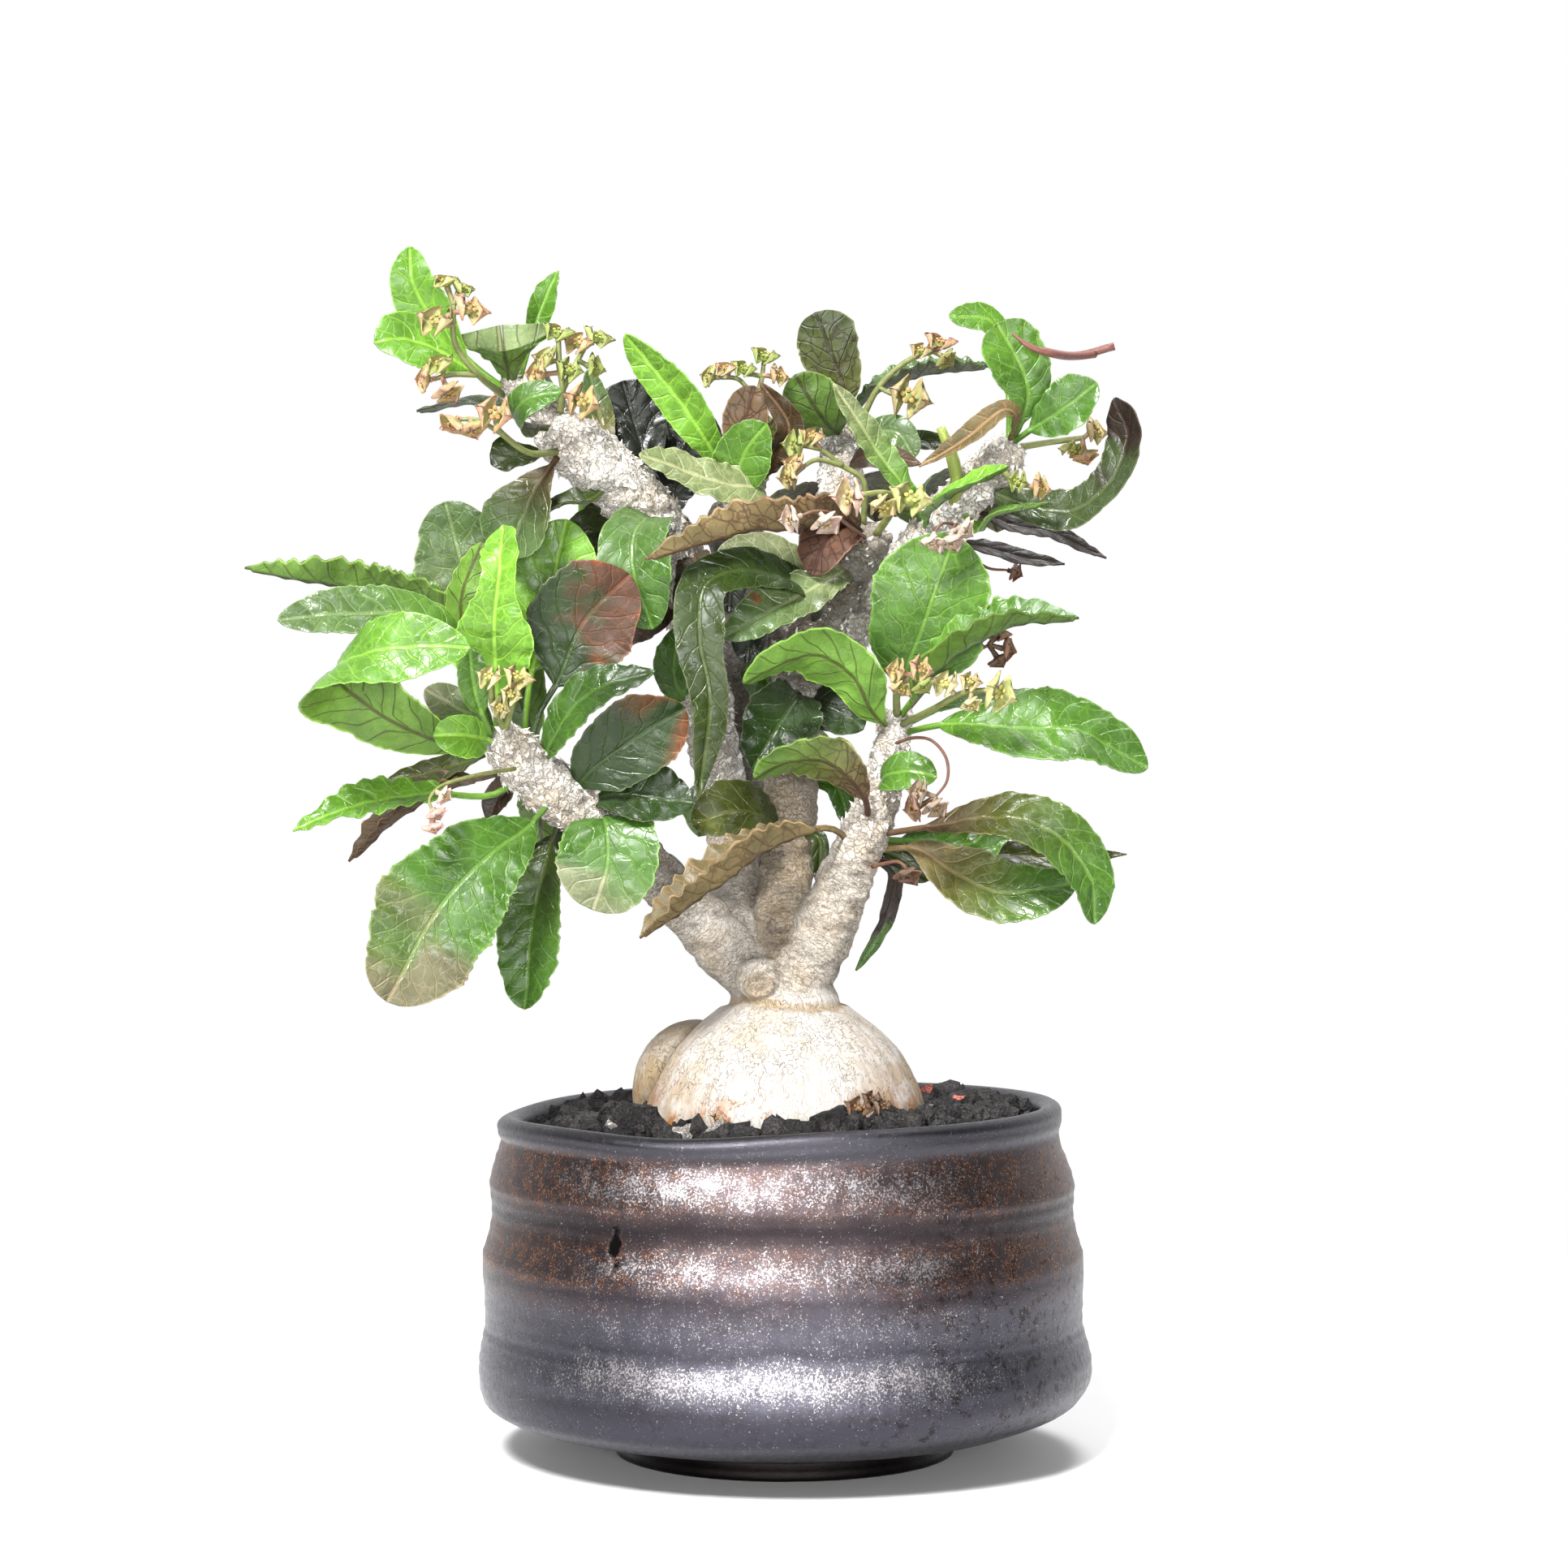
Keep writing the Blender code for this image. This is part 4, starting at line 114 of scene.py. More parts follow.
# Leaves of each stem: (name, tones, width, shape, petiole length, fold in degrees, margin wave, way the upper
# face looks, fraction of the length where that holds, places from the stem's axis to the tip). The tones are
# those of the base and the tip. A third word puts the second tone elsewhere (side, rim, tip or lip) or adds
# sore spots. Leaves without tones take any two of REAR_TONES.
LEAVES = {
    "left": [
        ("lime_upright", "lime lime", 17, "elliptic", 9, 12, 0.8, (0.05, -1, 0.15), 0.6,
         [(-57, 140.5, -22), (-56.8, 149, -25), (-57.3, 163, -31), (-56, 175, -33), (-55.5, 182.3, -29)]),
        ("olive_beside_lime", "bright bright", 9, "elliptic", 10, 20, 1.0, (0.5, 0.85, 0.1), 0.6,
         [(-57.5, 140.5, -20), (-62.3, 155, -24), (-63.5, 168, -26), (-59.5, 179, -27)]),
        ("rolled_back", "bright bright", 18, "elliptic", 7, 4, 0.5, (0.1, 1, 0.25), 0.3,
         [(-56.5, 138.7, -23), (-64, 138.8, -26), (-75, 142.5, -30), (-85, 149, -34), (-89, 153.5, -41),
          (-83, 157, -47), (-73, 158.5, -49), (-62, 158.2, -49)]),
        ("crisp_edge_on", "green fresh", 12.5, "lance", 14, 55, 1.3, (0.1, -0.1, 1), 0.5,
         [(-57.5, 141, -19), (-62, 154, -19), (-69, 165.2, -20), (-85, 169.8, -24), (-106.5, 173.9, -29)]),
        ("pale_level", "fresh dusty", 11, "elliptic", 16, 8, 0.5, (0.1, -0.8, 0.6), 0.6,
         [(-58, 140.5, -22), (-62.5, 155, -26), (-69.5, 163.8, -29), (-84, 165, -34), (-100, 163.6, -38)]),
        ("olive_round_behind", "pale dusty", 17, "round", 14, 8, 0.7, (0, -1, 0.1), 0.6,
         [(-56, 140, -20), (-59, 158, -8), (-63, 172, -6), (-67, 187, -8)]),
        ("small_bright", "lime lime", 9, "elliptic", 3, 10, 0.6, (0, -1, 0.2), 0.6,
         [(-57.5, 139.5, -25), (-60.5, 140.5, -32), (-64.5, 141, -35), (-69.3, 140.8, -36)]),
        ("small_dark_upright", "fresh green", 6.5, "elliptic", 5, 8, 0.3, (0.1, -1, 0), 0.6,
         [(-58, 141, -25), (-61, 149, -31), (-62.3, 158.3, -33)]),
        ("long_wavy", "lime bright", 9, "lance", 14, 15, 1.4, (0, -0.65, 0.76), 0.6,
         [(-51.5, 133.5, -19), (-58, 129, -20), (-70, 129.3, -22), (-84, 127.6, -26), (-97, 122, -29)]),
        ("brown_behind_wavy", "brown brown", 9, "lance", 8, 48, 0.9, (0.2, -0.2, 0.95), 0.6,
         [(-52.5, 134.5, -17), (-63, 131.5, -14), (-72, 128, -13), (-86, 116, -13)]),
        ("big_lower", "green faded tip", 26, "elliptic", 8, 8, 0.9, (0.1, -1, 0.15), 0.6,
         [(-45.5, 128.5, -19), (-51, 122.6, -27), (-58, 117.5, -33), (-68, 107, -38), (-78.5, 88.3, -41)]),
        ("dark_hanging", "dark green", 15, "elliptic", 7, 15, 0.8, (-0.3, -0.95, 0.1), 0.6,
         [(-43, 127, -14), (-46.5, 118, -15), (-49.5, 105, -17), (-51.3, 86.8, -20)]),
        ("dark_short", "dark dark", 10, "elliptic", 4, 10, 0.4, (-0.2, -0.9, 0.4), 0.6,
         [(-41, 125.5, -11), (-44, 119, -8), (-48, 113.5, -7), (-53, 109, -7)]),
        ("round_front", "green silver tip", 20, "round", 4, 8, 0.5, (0.05, -0.95, 0.3), 0.6,
         [(-38, 124.5, -13), (-35.5, 123.5, -21), (-35, 115.5, -25), (-37.8, 106.4, -23)]),
        ("glossy_crisp", "green deep", 12.5, "elliptic", 5, 10, 0.9, (-0.25, -0.9, 0.35), 0.6,
         [(-47.5, 132.5, -18), (-46, 139.5, -24), (-39, 148.8, -28), (-25.4, 153.6, -30)]),
        ("dark_orange_edged", "deep orange rim", 17, "elliptic", 4, 10, 0.4, (0.1, -0.95, -0.1), 0.6,
         [(-42.5, 128, -16), (-38.5, 133.6, -21), (-30, 140, -24), (-19.6, 146.3, -24)]),
        ("dark_olive", "deep deep", 13, "elliptic", 3, 15, 1.0, (0, -0.8, 0.6), 0.6,
         [(-39.5, 126, -14), (-35.5, 128.5, -18), (-28, 128.6, -20), (-18, 127.6, -20)]),
        ("two_toned", "deep rust side", 21, "elliptic", 16, 8, 0.5, (0, -1, 0.1), 0.6,
         [(-51, 135.5, -19), (-48.5, 145, -20), (-44.5, 152, -20), (-39.5, 163.5, -21), (-30.5, 172.6, -21)]),
        ("broad_green", "lime lime", 18, "elliptic", 18, 6, 0.4, (0.05, -1, 0.1), 0.6,
         [(-51.5, 136, -18), (-50.5, 150, -13), (-46.5, 168, -12), (-43, 183.5, -12)]),
        ("small_drooping", "brown purple", 7, "lance", 2, 20, 0.5, (0, -0.9, 0.4), 0.6,
         [(-52.5, 135, -18), (-55, 130, -12), (-57, 127.5, -11), (-58.3, 123.3, -11)]),
        ("dark_level_behind", "dark olive", 7, "elliptic", 5, 10, 0.6, (0, -0.6, 0.8), 0.6,
         [(-55.5, 139, -20), (-62, 136, -13), (-70, 133.5, -11), (-79, 131, -11)]),
        ("brown_upright_behind", "bright silver", 9, "elliptic", 4, 10, 0.4, (0.2, -0.9, 0.3), 0.6,
         [(-56, 140, -20), (-61, 144, -13), (-66, 147, -11), (-71, 150, -11)]),
        ("rear_upright", "", 14, "spoon", 7, 10, 0.6, (-0.2, 0.7, 0.7), 0.6,
         [(-50, 134.5, -19), (-50, 143, -3), (-54, 153, 5), (-57, 163, 8)]),
        ("rear_drooping", "", 10, "elliptic", 5, 10, 0.6, (0.2, 0.7, 0.7), 0.6,
         [(-45, 129.5, -16), (-47, 132, -3), (-48, 125, 7), (-47, 115, 12)]),
    ],
    "top_left": [
        ("lime_top", "lime bright", 10, "elliptic", 9, 12, 0.4, (-0.3, -0.9, 0.3), 0.6,
         [(-55.5, 209.4, -14.5), (-61.5, 214, -16), (-68, 221, -18), (-73, 229.5, -20), (-74, 237.3, -21)]),
        ("lime_outer", "lime bright", 13, "elliptic", 8, 10, 0.4, (0, -0.9, 0.4), 0.6,
         [(-55.5, 209.2, -15), (-62, 212.8, -18), (-69, 217, -21), (-75, 219, -23), (-81, 218.3, -25)]),
        ("cupped_grey", "green pale lip", 17, "wedge", 2, 22, 1.2, (0, 0.9, 0.4), 0.6,
         [(-54, 208.8, -14), (-54.5, 212, -17), (-55.3, 216.5, -20), (-56, 221.8, -20)]),
        ("twisted_top", "fresh fresh", 6, "lance", 9, 25, 0.8, (0.5, -0.85, 0), 0.6,
         [(-53, 208.4, -13), (-51.5, 214, -10), (-48.8, 223, -9), (-44.6, 232.5, -9)]),
        ("level_outer", "dusty dark", 8, "elliptic", 5, 10, 0.5, (0, -0.4, 0.92), 0.6,
         [(-50, 206.5, -11.5), (-57, 206.3, -7), (-65, 206, -7), (-72.6, 204.8, -8)]),
        ("cupped_end", "dark green", 8, "elliptic", 3, 8, 0.5, (-0.5, -0.8, 0.2), 0.6,
         [(-46.3, 201.5, -14), (-51, 201.8, -20), (-53.2, 204.2, -24), (-50.8, 207.2, -26),
          (-44, 208.6, -26.5)]),
        ("toothed_dark", "dark dark", 8, "wedge", 5, 8, 0.7, (0, -0.9, 0.4), 0.6,
         [(-43, 198.5, -10), (-48.5, 196.3, -4), (-53, 196, -3), (-58.2, 196.2, -3)]),
        ("brown_drooping", "brown dusty", 18, "spoon", 7, 15, 0.5, (-0.2, -0.85, 0.45), 0.6,
         [(-42.5, 199, -12), (-46, 194, -17), (-49.5, 188.5, -18), (-55, 176.5, -17)]),
        ("dark_curly", "dark dark", 6, "lance", 5, 25, 1.1, (0, -0.6, 0.8), 0.6,
         [(-34, 191.5, -8), (-38, 187.5, -15), (-44.5, 186.3, -16), (-51, 182, -15)]),
        ("dark_behind", "dark dark", 12, "elliptic", 4, 8, 0.4, (0, -0.95, 0.2), 0.6,
         [(-29, 186.5, -3), (-33, 183, 5), (-38, 181, 8), (-43.5, 179, 8)]),
        ("purple_upright", "black black", 15, "spoon", 8, 8, 0.8, (0.1, -1, 0.1), 0.6,
         [(-28, 185.5, -3), (-27.5, 193, 7), (-29.5, 202, 10), (-32, 210.8, 10)]),
        ("grey_finger", "tan dusty", 6, "elliptic", 8, 8, 0.3, (0.3, -0.9, 0), 0.6,
         [(-35, 192.5, -8), (-36, 201, 3), (-37.3, 207, 4), (-38.8, 213, 4)]),
        ("blue_saddle", "dusty green", 16, "elliptic", 5, 10, 0.4, (-0.1, -0.95, 0.3), 0.7,
         [(-23.5, 180, 1), (-26.5, 184, -10), (-30, 180, -17), (-29.5, 172, -19), (-26, 161.8, -17)]),
        ("brown_hanging", "brown purple", 8, "elliptic", 3, 8, 0.4, (0, -0.95, 0.3), 0.6,
         [(-20, 171.5, 8), (-18, 176, -1), (-17.8, 171, -3), (-20, 162.5, -4)]),
        ("green_glow", "green green", 8.5, "elliptic", 3, 8, 0.4, (0, -1, 0.1), 0.6,
         [(-16, 148, 16), (-20.8, 149.5, 12), (-21.8, 155, 10), (-20.5, 162.3, 10)]),
        ("black_green", "black black", 17, "spoon", 8, 8, 0.7, (0, -0.95, 0.3), 0.6,
         [(-22, 178, 3), (-22, 188, 14), (-20.5, 196, 18), (-17, 205.3, 19)]),
        ("dark_lower", "brown purple", 8, "elliptic", 3, 8, 0.4, (0, -0.9, 0.4), 0.6,
         [(-19, 167, 10), (-24.5, 165, 4), (-29, 162, 2), (-35, 158, 0)]),
        ("rear_tip", "", 9, "spoon", 6, 10, 0.6, (-0.2, 0.8, 0.6), 0.6,
         [(-39, 196, -10), (-41, 202, 3), (-45, 207, 13), (-47, 212, 19)]),
        ("rear_arching", "", 14, "elliptic", 6, 10, 0.6, (0, 0.7, 0.7), 0.6,
         [(-32, 189.5, -6), (-34, 192, 10), (-36, 188, 22), (-38, 181, 28)]),
    ],
    "inner": [
        ("lime_centre", "lime lime", 9, "elliptic", 5, 10, 0.4, (-0.3, -0.9, 0.3), 0.6,
         [(-10.2, 189, 8.5), (-14.3, 197, 3), (-20.5, 206.5, -2), (-31.5, 220, -6)]),
        ("grey_green_pointed", "pale pale", 9.5, "elliptic", 5, 8, 0.9, (0.2, -0.9, 0.4), 0.6,
         [(-8.5, 185, 10.5), (-4.5, 189.5, 0), (-12, 190.3, -5), (-20.5, 193.4, -8), (-28.8, 196.2, -11)]),
        ("brown_round", "brown brown", 9.5, "round", 8, 6, 0.4, (0, -1, 0), 0.6,
         [(-10, 188.5, 8.5), (-9, 196, 8), (-7.8, 203, 8), (-6, 209.8, 8)]),
        ("brown_crimped", "brown brown", 6.5, "lance", 6, 22, 0.9, (0.3, -0.9, 0.2), 0.6,
         [(-9.5, 187, 9.5), (-2.5, 195.5, 3), (0.8, 202, 0), (-5, 210.7, -1)]),
        ("glossy_dark", "fresh fresh", 12, "elliptic", 2, 8, 0.5, (0, -0.9, 0.4), 0.6,
         [(-10, 188, 8), (-9.5, 192.3, -1), (-7.5, 197.5, -4), (-3.5, 202.3, -6)]),
        ("shade_upper", "black black", 8, "elliptic", 3, 6, 0.4, (0, -1, 0.1), 0.6,
         [(-6, 178, 15), (-9, 177, 8), (-10.5, 172, 4), (-11, 165, 3)]),
        ("shade_lower", "black black", 9, "elliptic", 3, 6, 0.4, (0, -1, 0.1), 0.6,
         [(-2.8, 165.5, 19.2), (-5, 167, 12), (-6.5, 163, 8), (-7.5, 155, 8)]),
        ("rear_upright", "", 12, "elliptic", 6, 8, 0.6, (0, 0.9, 0.4), 0.6,
         [(-8, 183, 12), (-8, 188, 20), (-8.5, 195, 26), (-9, 203, 29)]),
    ],
    "front": [
        ("veined_underside", "brown tan", 11, "lance", 5, 42, 1.0, (0, 0.45, 0.9), 0.6,
         [(16.5, 179, -2.5), (11.5, 184, -11), (3, 182.3, -18), (-9, 181, -24), (-27.5, 175.5, -30)]),
        ("grey_dusty", "pale silver", 10, "elliptic", 6, 6, 0.4, (0, -0.85, 0.5), 0.6,
         [(6.5, 163, 7), (5, 171, -3), (-3, 176.3, -9), (-13.5, 176.7, -12)]),
        ("long_strap", "deep dark", 10, "elliptic", 6, 8, 0.5, (0, -1, 0.1), 0.75,
         [(5.5, 161, 8), (5.5, 169, -7), (-5, 173.2, -18), (-15.3, 171, -24), (-16.8, 160, -27),
          (-14.8, 148, -27), (-17, 128.5, -25)]),
        ("purple_veined", "rust rust", 11, "elliptic", 3, 8, 0.4, (0, -0.95, 0.3), 0.6,
         [(15, 176.5, -1), (12.5, 182, -8), (8.5, 179.5, -12), (5.3, 172.4, -12.5)]),
        ("olive_spotted", "pale dusty spots", 10.5, "elliptic", 3, 10, 1.0, (-0.1, -0.9, 0.4), 0.6,
         [(13.5, 174.5, 1), (9, 171.7, -9), (0, 167, -15), (-12.2, 160, -19)]),
        ("dark_wavy", "deep deep", 15, "elliptic", 4, 15, 1.1, (0.2, -0.95, 0.3), 0.6,
         [(3, 149, 9), (2, 148, -3), (-1.5, 142.5, -10), (-6.5, 134.3, -13)]),
        ("dark_glossy", "black deep", 12, "elliptic", 2, 8, 0.4, (0, -0.85, 0.5), 0.6,
         [(2.6, 145, 9.5), (6.5, 146.3, 3), (10.5, 145.3, 1), (15.5, 142, 0)]),
        ("big_olive", "dark olive", 14, "elliptic", 3, 8, 0.7, (0, -0.9, 0.45), 0.6,
         [(0.6, 121.5, 5), (-4, 124.5, -5), (-10.5, 125.8, -10), (-18.3, 123.2, -12)]),
        ("thin_dark", "dark dark", 4, "lance", 3, 8, 0.3, (0.3, -0.9, 0), 0.6,
         [(0.5, 121, 4), (6.2, 121, 0), (7, 117, 0), (6.3, 111.5, 0)]),
        ("small_behind", "green green", 5, "elliptic", 3, 6, 0.3, (0, -1, 0.2), 0.6,
         [(1.3, 132, 7.5), (9, 131.5, 12), (11.5, 128, 13), (12.3, 123, 13)]),
    ],
    "back": [
        ("dark_rounded", "olive dark", 14, "round", 5, 6, 0.6, (0, 0.95, 0.1), 0.6,
         [(11.6, 201.5, 35), (12, 208, 33), (9.5, 215.5, 31), (6, 224.3, 30)]),
        ("veined_lower", "fresh green", 12, "round", 4, 6, 0.5, (0, 0.9, 0.35), 0.6,
         [(11.5, 200, 34.5), (8.5, 202.3, 25), (5, 207, 21), (2, 212, 19)]),
        ("long_edge_on", "dusty dusty", 8, "lance", 5, 45, 1.1, (0, -0.1, 1), 0.6,
         [(11.7, 201.5, 35), (17, 208.3, 39), (28, 212.3, 42), (41.2, 213.7, 44)]),
        ("rear_high", "", 13, "elliptic", 6, 8, 0.6, (0, 0.5, 0.85), 0.6,
         [(11, 194, 34), (8, 199.5, 44), (5, 202.5, 54), (2, 198, 62)]),
        ("rear_arching", "", 12, "elliptic", 6, 8, 0.6, (0.2, 0.6, 0.8), 0.6,
         [(10.5, 187, 33), (14, 192, 42), (17, 190, 52), (18, 183, 58)]),
        ("rear_low", "", 12, "elliptic", 5, 8, 0.6, (0.2, 0.7, 0.7), 0.6,
         [(8.8, 170, 29), (13.5, 176, 35), (21, 173, 40), (27, 166, 43)]),
        ("dark_strip", "purple brown", 6, "lance", 4, 6, 0.4, (0, -0.9, 0.4), 0.6,
         [(11, 192.5, 34), (15, 195.5, 27), (20, 195.8, 25), (27, 194.3, 24)]),
        ("green_strip", "dark dark", 5.5, "elliptic", 6, 6, 0.4, (0, -0.8, 0.6), 0.6,
         [(11.5, 198.5, 35), (20, 198.5, 36), (28, 199, 37), (35, 198, 38)]),
        ("pale_small", "dusty dusty", 7.5, "round", 5, 6, 0.3, (0, -1, 0.2), 0.6,
         [(11.5, 197.5, 34.5), (18, 200.5, 30), (22.5, 200.3, 27), (25.5, 195.5, 26)]),
    ],
    "upper_right": [
        ("narrow_crimped", "bright pale", 5.5, "lance", 8, 18, 0.9, (0.3, -0.85, 0.4), 0.6,
         [(28, 180.5, 12), (24.2, 188.5, 3), (16.5, 199.3, -1), (9.5, 210.3, -5)]),
        ("folded_green", "lime lime", 7.5, "elliptic", 7, 22, 0.5, (0, -0.5, 0.85), 0.6,
         [(27.5, 180, 12), (29, 186, 0), (37, 190.3, -6), (44, 193.8, -9)]),
        ("broad_top", "green fresh", 13.5, "spoon", 4, 8, 0.5, (0, -0.95, 0.3), 0.6,
         [(44.2, 198.3, 1.5), (46.7, 203, -2), (47.5, 211, -5), (41.8, 222.2, -7)]),
        ("small_light", "bright fresh", 6.5, "elliptic", 20, 8, 0.4, (0, -0.9, 0.4), 0.8,
         [(44.2, 198, 2), (44, 210, 8), (41, 222, 6), (32.3, 223.6, 4)]),
        ("wavy_outer", "green green", 11, "elliptic", 6, 8, 0.8, (0, -0.9, 0.4), 0.6,
         [(44.2, 198, 1), (49.5, 201.8, -4), (55, 205.3, -7), (61.6, 210.4, -9)]),
        ("hooked_dark", "shaded purple tip", 9.5, "elliptic", 5, 8, 0.5, (-0.3, -0.85, 0.4), 0.6,
         [(38, 190.3, 6), (47, 186.5, 0), (57, 185.5, -4), (64.5, 191, -7), (67.3, 200, -7),
          (65, 207.5, -6)]),
        ("purple_low", "purple purple", 6.5, "lance", 5, 8, 0.5, (0, -0.6, 0.8), 0.6,
         [(34, 186.5, 9), (44, 182.8, 5), (54, 180, 3), (63.4, 175.8, 1)]),
        ("dark_low", "purple purple", 5.5, "lance", 6, 8, 0.6, (0, -0.6, 0.8), 0.6,
         [(27, 179, 13), (38, 178, 11), (47, 175.8, 11), (55.2, 174.6, 11)]),
        ("pale_edge_on", "bright bright", 5, "lance", 6, 15, 0.4, (0, -0.3, 0.95), 0.6,
         [(34, 186.5, 8.5), (38.3, 181.5, 0), (42, 184.8, -4), (52, 186.7, -7)]),
        ("brown_curled", "tan tan", 5, "lance", 3, 25, 0.3, (0, -0.9, 0.4), 0.6,
         [(44, 197.5, 1.5), (45.4, 203, -4), (43, 205, -6), (36, 199.5, -5), (26.5, 193.8, -3)]),
        ("rear_arching", "", 13, "elliptic", 6, 8, 0.6, (0.2, 0.7, 0.7), 0.6,
         [(36, 188.3, 7.5), (37, 191, 20), (40, 188, 30), (42, 181, 36)]),
        ("rear_inner", "", 12, "elliptic", 6, 8, 0.6, (0, 0.7, 0.7), 0.6,
         [(27, 179, 13), (25, 187, 24), (28, 190, 34), (31, 186, 41)]),
    ],
    "right": [
        ("arched_underside", "lime lime", 14, "elliptic", 4, 8, 0.6, (0.1, 0.85, 0.5), 0.6,
         [(21.5, 141.5, -7.3), (17, 146, -14), (13.5, 152.5, -18), (6, 157, -22), (-2, 155, -25),
          (-8.3, 151.2, -26)]),
        ("big_glossy", "green fresh", 25, "elliptic", 6, 8, 0.4, (0.05, -0.95, 0.25), 0.6,
         [(22, 144.5, -7.4), (22.6, 150.5, -9), (27, 162, -15), (33.5, 180.5, -18)]),
        ("crisp_folded", "bright green", 14, "lance", 7, 46, 1.3, (-0.3, -0.2, 0.93), 0.6,
         [(22, 143.5, -8), (27, 150, -16), (34, 157, -21), (45, 162.3, -24), (58, 164, -26)]),
        ("big_outer", "fresh green", 17, "elliptic", 10, 8, 0.5, (0.05, -0.8, 0.6), 0.6,
         [(21.8, 141, -7.3), (32, 143, -14), (44, 142.5, -18), (58, 141.8, -18), (71.5, 134.3, -17)]),
        ("green_behind_outer", "bright fresh", 9, "elliptic", 9, 6, 0.4, (0, -0.4, 0.9), 0.6,
         [(21.8, 142, -7), (33, 147, -2), (45, 147.8, 0), (58, 147, 1)]),
        ("olive_underside", "brown fresh", 11.5, "elliptic", 9, 10, 0.8, (0, 0.8, 0.6), 0.6,
         [(16.5, 122.5, -6), (15.5, 129, -14), (9, 135.5, -19), (1, 136, -22), (-6.3, 132.4, -23)]),
        ("small_bright", "green fresh", 8.5, "elliptic", 3, 8, 0.5, (0.1, -0.9, 0.4), 0.6,
         [(19, 130.5, -6.5), (19.5, 132.8, -13), (24.5, 133.8, -16), (30, 132.6, -17)]),
        ("long_tan", "tan tan", 15, "lance", 13, 45, 1.2, (-0.4, -0.05, 0.9), 0.6,
         [(14, 118.5, -5.6), (8.5, 122.6, -13), (-2, 119.5, -19), (-15, 110.5, -25), (-28.6, 100.9, -29)]),
        ("long_drooping", "brown green", 13.5, "elliptic", 12, 10, 0.6, (0.2, -0.75, 0.6), 0.6,
         [(16.5, 121, -6.2), (30, 123, -14), (43, 124.6, -19), (53, 121.5, -22), (60, 113, -23),
          (61, 103.6, -22)]),
        ("brown_to_green", "tan green", 14, "elliptic", 9, 8, 0.5, (0, -0.85, 0.5), 0.6,
         [(14.5, 117.8, -5), (25.5, 118.5, -5), (33, 114, -8), (43, 109.7, -10), (57.5, 111.5, -11)]),
        ("bright_behind", "green fresh", 11, "elliptic", 8, 6, 0.5, (0, -0.9, 0.4), 0.6,
         [(16, 120.5, -5), (26, 120, 1), (37, 119.5, 2), (46, 129.5, 2)]),
        ("olive_tip_behind", "olive olive", 7, "lance", 10, 8, 0.4, (0, -0.8, 0.6), 0.6,
         [(15.5, 120, -5), (31, 118.3, 6), (50, 117, 8), (67.4, 117.4, 8)]),
        ("dark_below", "dark dark", 6, "elliptic", 3, 6, 0.4, (0, -0.9, 0.4), 0.6,
         [(14.5, 118, -4.5), (21, 117.5, 0), (28.5, 112.3, 0)]),
        ("purple_dangling", "purple green tip", 6.5, "elliptic", 2, 8, 0.4, (0.2, -0.95, 0), 0.6,
         [(14.2, 117.5, -4.6), (21.5, 114.5, 0), (20.5, 107, 3), (17.5, 100, 3), (14, 94.5, 2)]),
        ("rear_outer", "", 10, "elliptic", 5, 8, 0.6, (0.2, 0.6, 0.7), 0.6,
         [(19.2, 130.5, -6.4), (21, 134, 6), (24, 136, 16), (27, 132, 23)]),
        ("rear_inner", "", 12, "elliptic", 5, 8, 0.6, (0, 0.7, 0.7), 0.6,
         [(17, 124, -6), (14.5, 129, 6), (12, 134, 15), (10, 139, 22)]),
    ],
    "rear": [
        ("top_left_side", "", 16, "elliptic", 6, 8, 0.6, (0, 0.6, 0.8), 0.6,
         [(-11.4, 185.5, 41.5), (-14, 192, 50), (-20, 195.5, 58), (-27, 192, 64)]),
        ("top_upright", "", 13, "spoon", 6, 8, 0.6, (0, 0.9, 0.4), 0.6,
         [(-11.4, 186, 41.8), (-9, 194, 46), (-6, 199, 48), (-2, 203, 50)]),
        ("top_right_side", "", 16, "elliptic", 6, 8, 0.6, (0.1, 0.6, 0.8), 0.6,
         [(-11.2, 182, 41), (-5, 186, 52), (2, 186, 62), (8, 180, 68)]),
        ("left_side", "", 16, "elliptic", 6, 8, 0.6, (-0.2, 0.7, 0.7), 0.6,
         [(-10.6, 171, 38.4), (-17, 174, 48), (-24, 173, 56), (-30, 168, 60)]),
        ("right_side", "", 16, "elliptic", 6, 8, 0.6, (0.1, 0.7, 0.7), 0.6,
         [(-10, 159, 35.8), (-4, 163, 46), (3, 161, 56), (9, 154, 62)]),
        ("low_left", "", 14, "elliptic", 5, 8, 0.6, (-0.1, 0.7, 0.7), 0.6,
         [(-9.2, 144, 31), (-14, 147, 42), (-19, 146, 52), (-22, 140, 58)]),
        ("low_right", "", 14, "elliptic", 5, 8, 0.6, (0.1, 0.7, 0.7), 0.6,
         [(-8.8, 138, 29.5), (-3, 142, 42), (3, 139, 52), (7, 132, 58)]),
        ("lowest_left", "", 12, "elliptic", 5, 8, 0.6, (-0.1, 0.7, 0.7), 0.6,
         [(-8, 128, 26), (-11, 130, 38), (-15, 127, 48), (-17, 121, 54)]),
        ("lowest_right", "", 11, "elliptic", 5, 8, 0.6, (0.1, 0.7, 0.7), 0.6,
         [(-7.4, 122, 24), (-3, 121, 34), (0, 115, 42), (1, 108, 46)]),
        ("shade_upper", "", 9, "elliptic", 4, 6, 0.4, (0, -0.9, 0.3), 0.6,
         [(-10.8, 174, 39), (-6, 178, 34), (-3, 175, 31), (0, 169, 30)]),
        ("shade_lower", "", 10, "elliptic", 4, 6, 0.4, (0, -0.9, 0.3), 0.6,
         [(-9.3, 148, 34), (-7.5, 154, 28), (-4.5, 153.5, 26), (-1, 146, 25)]),
    ],
}

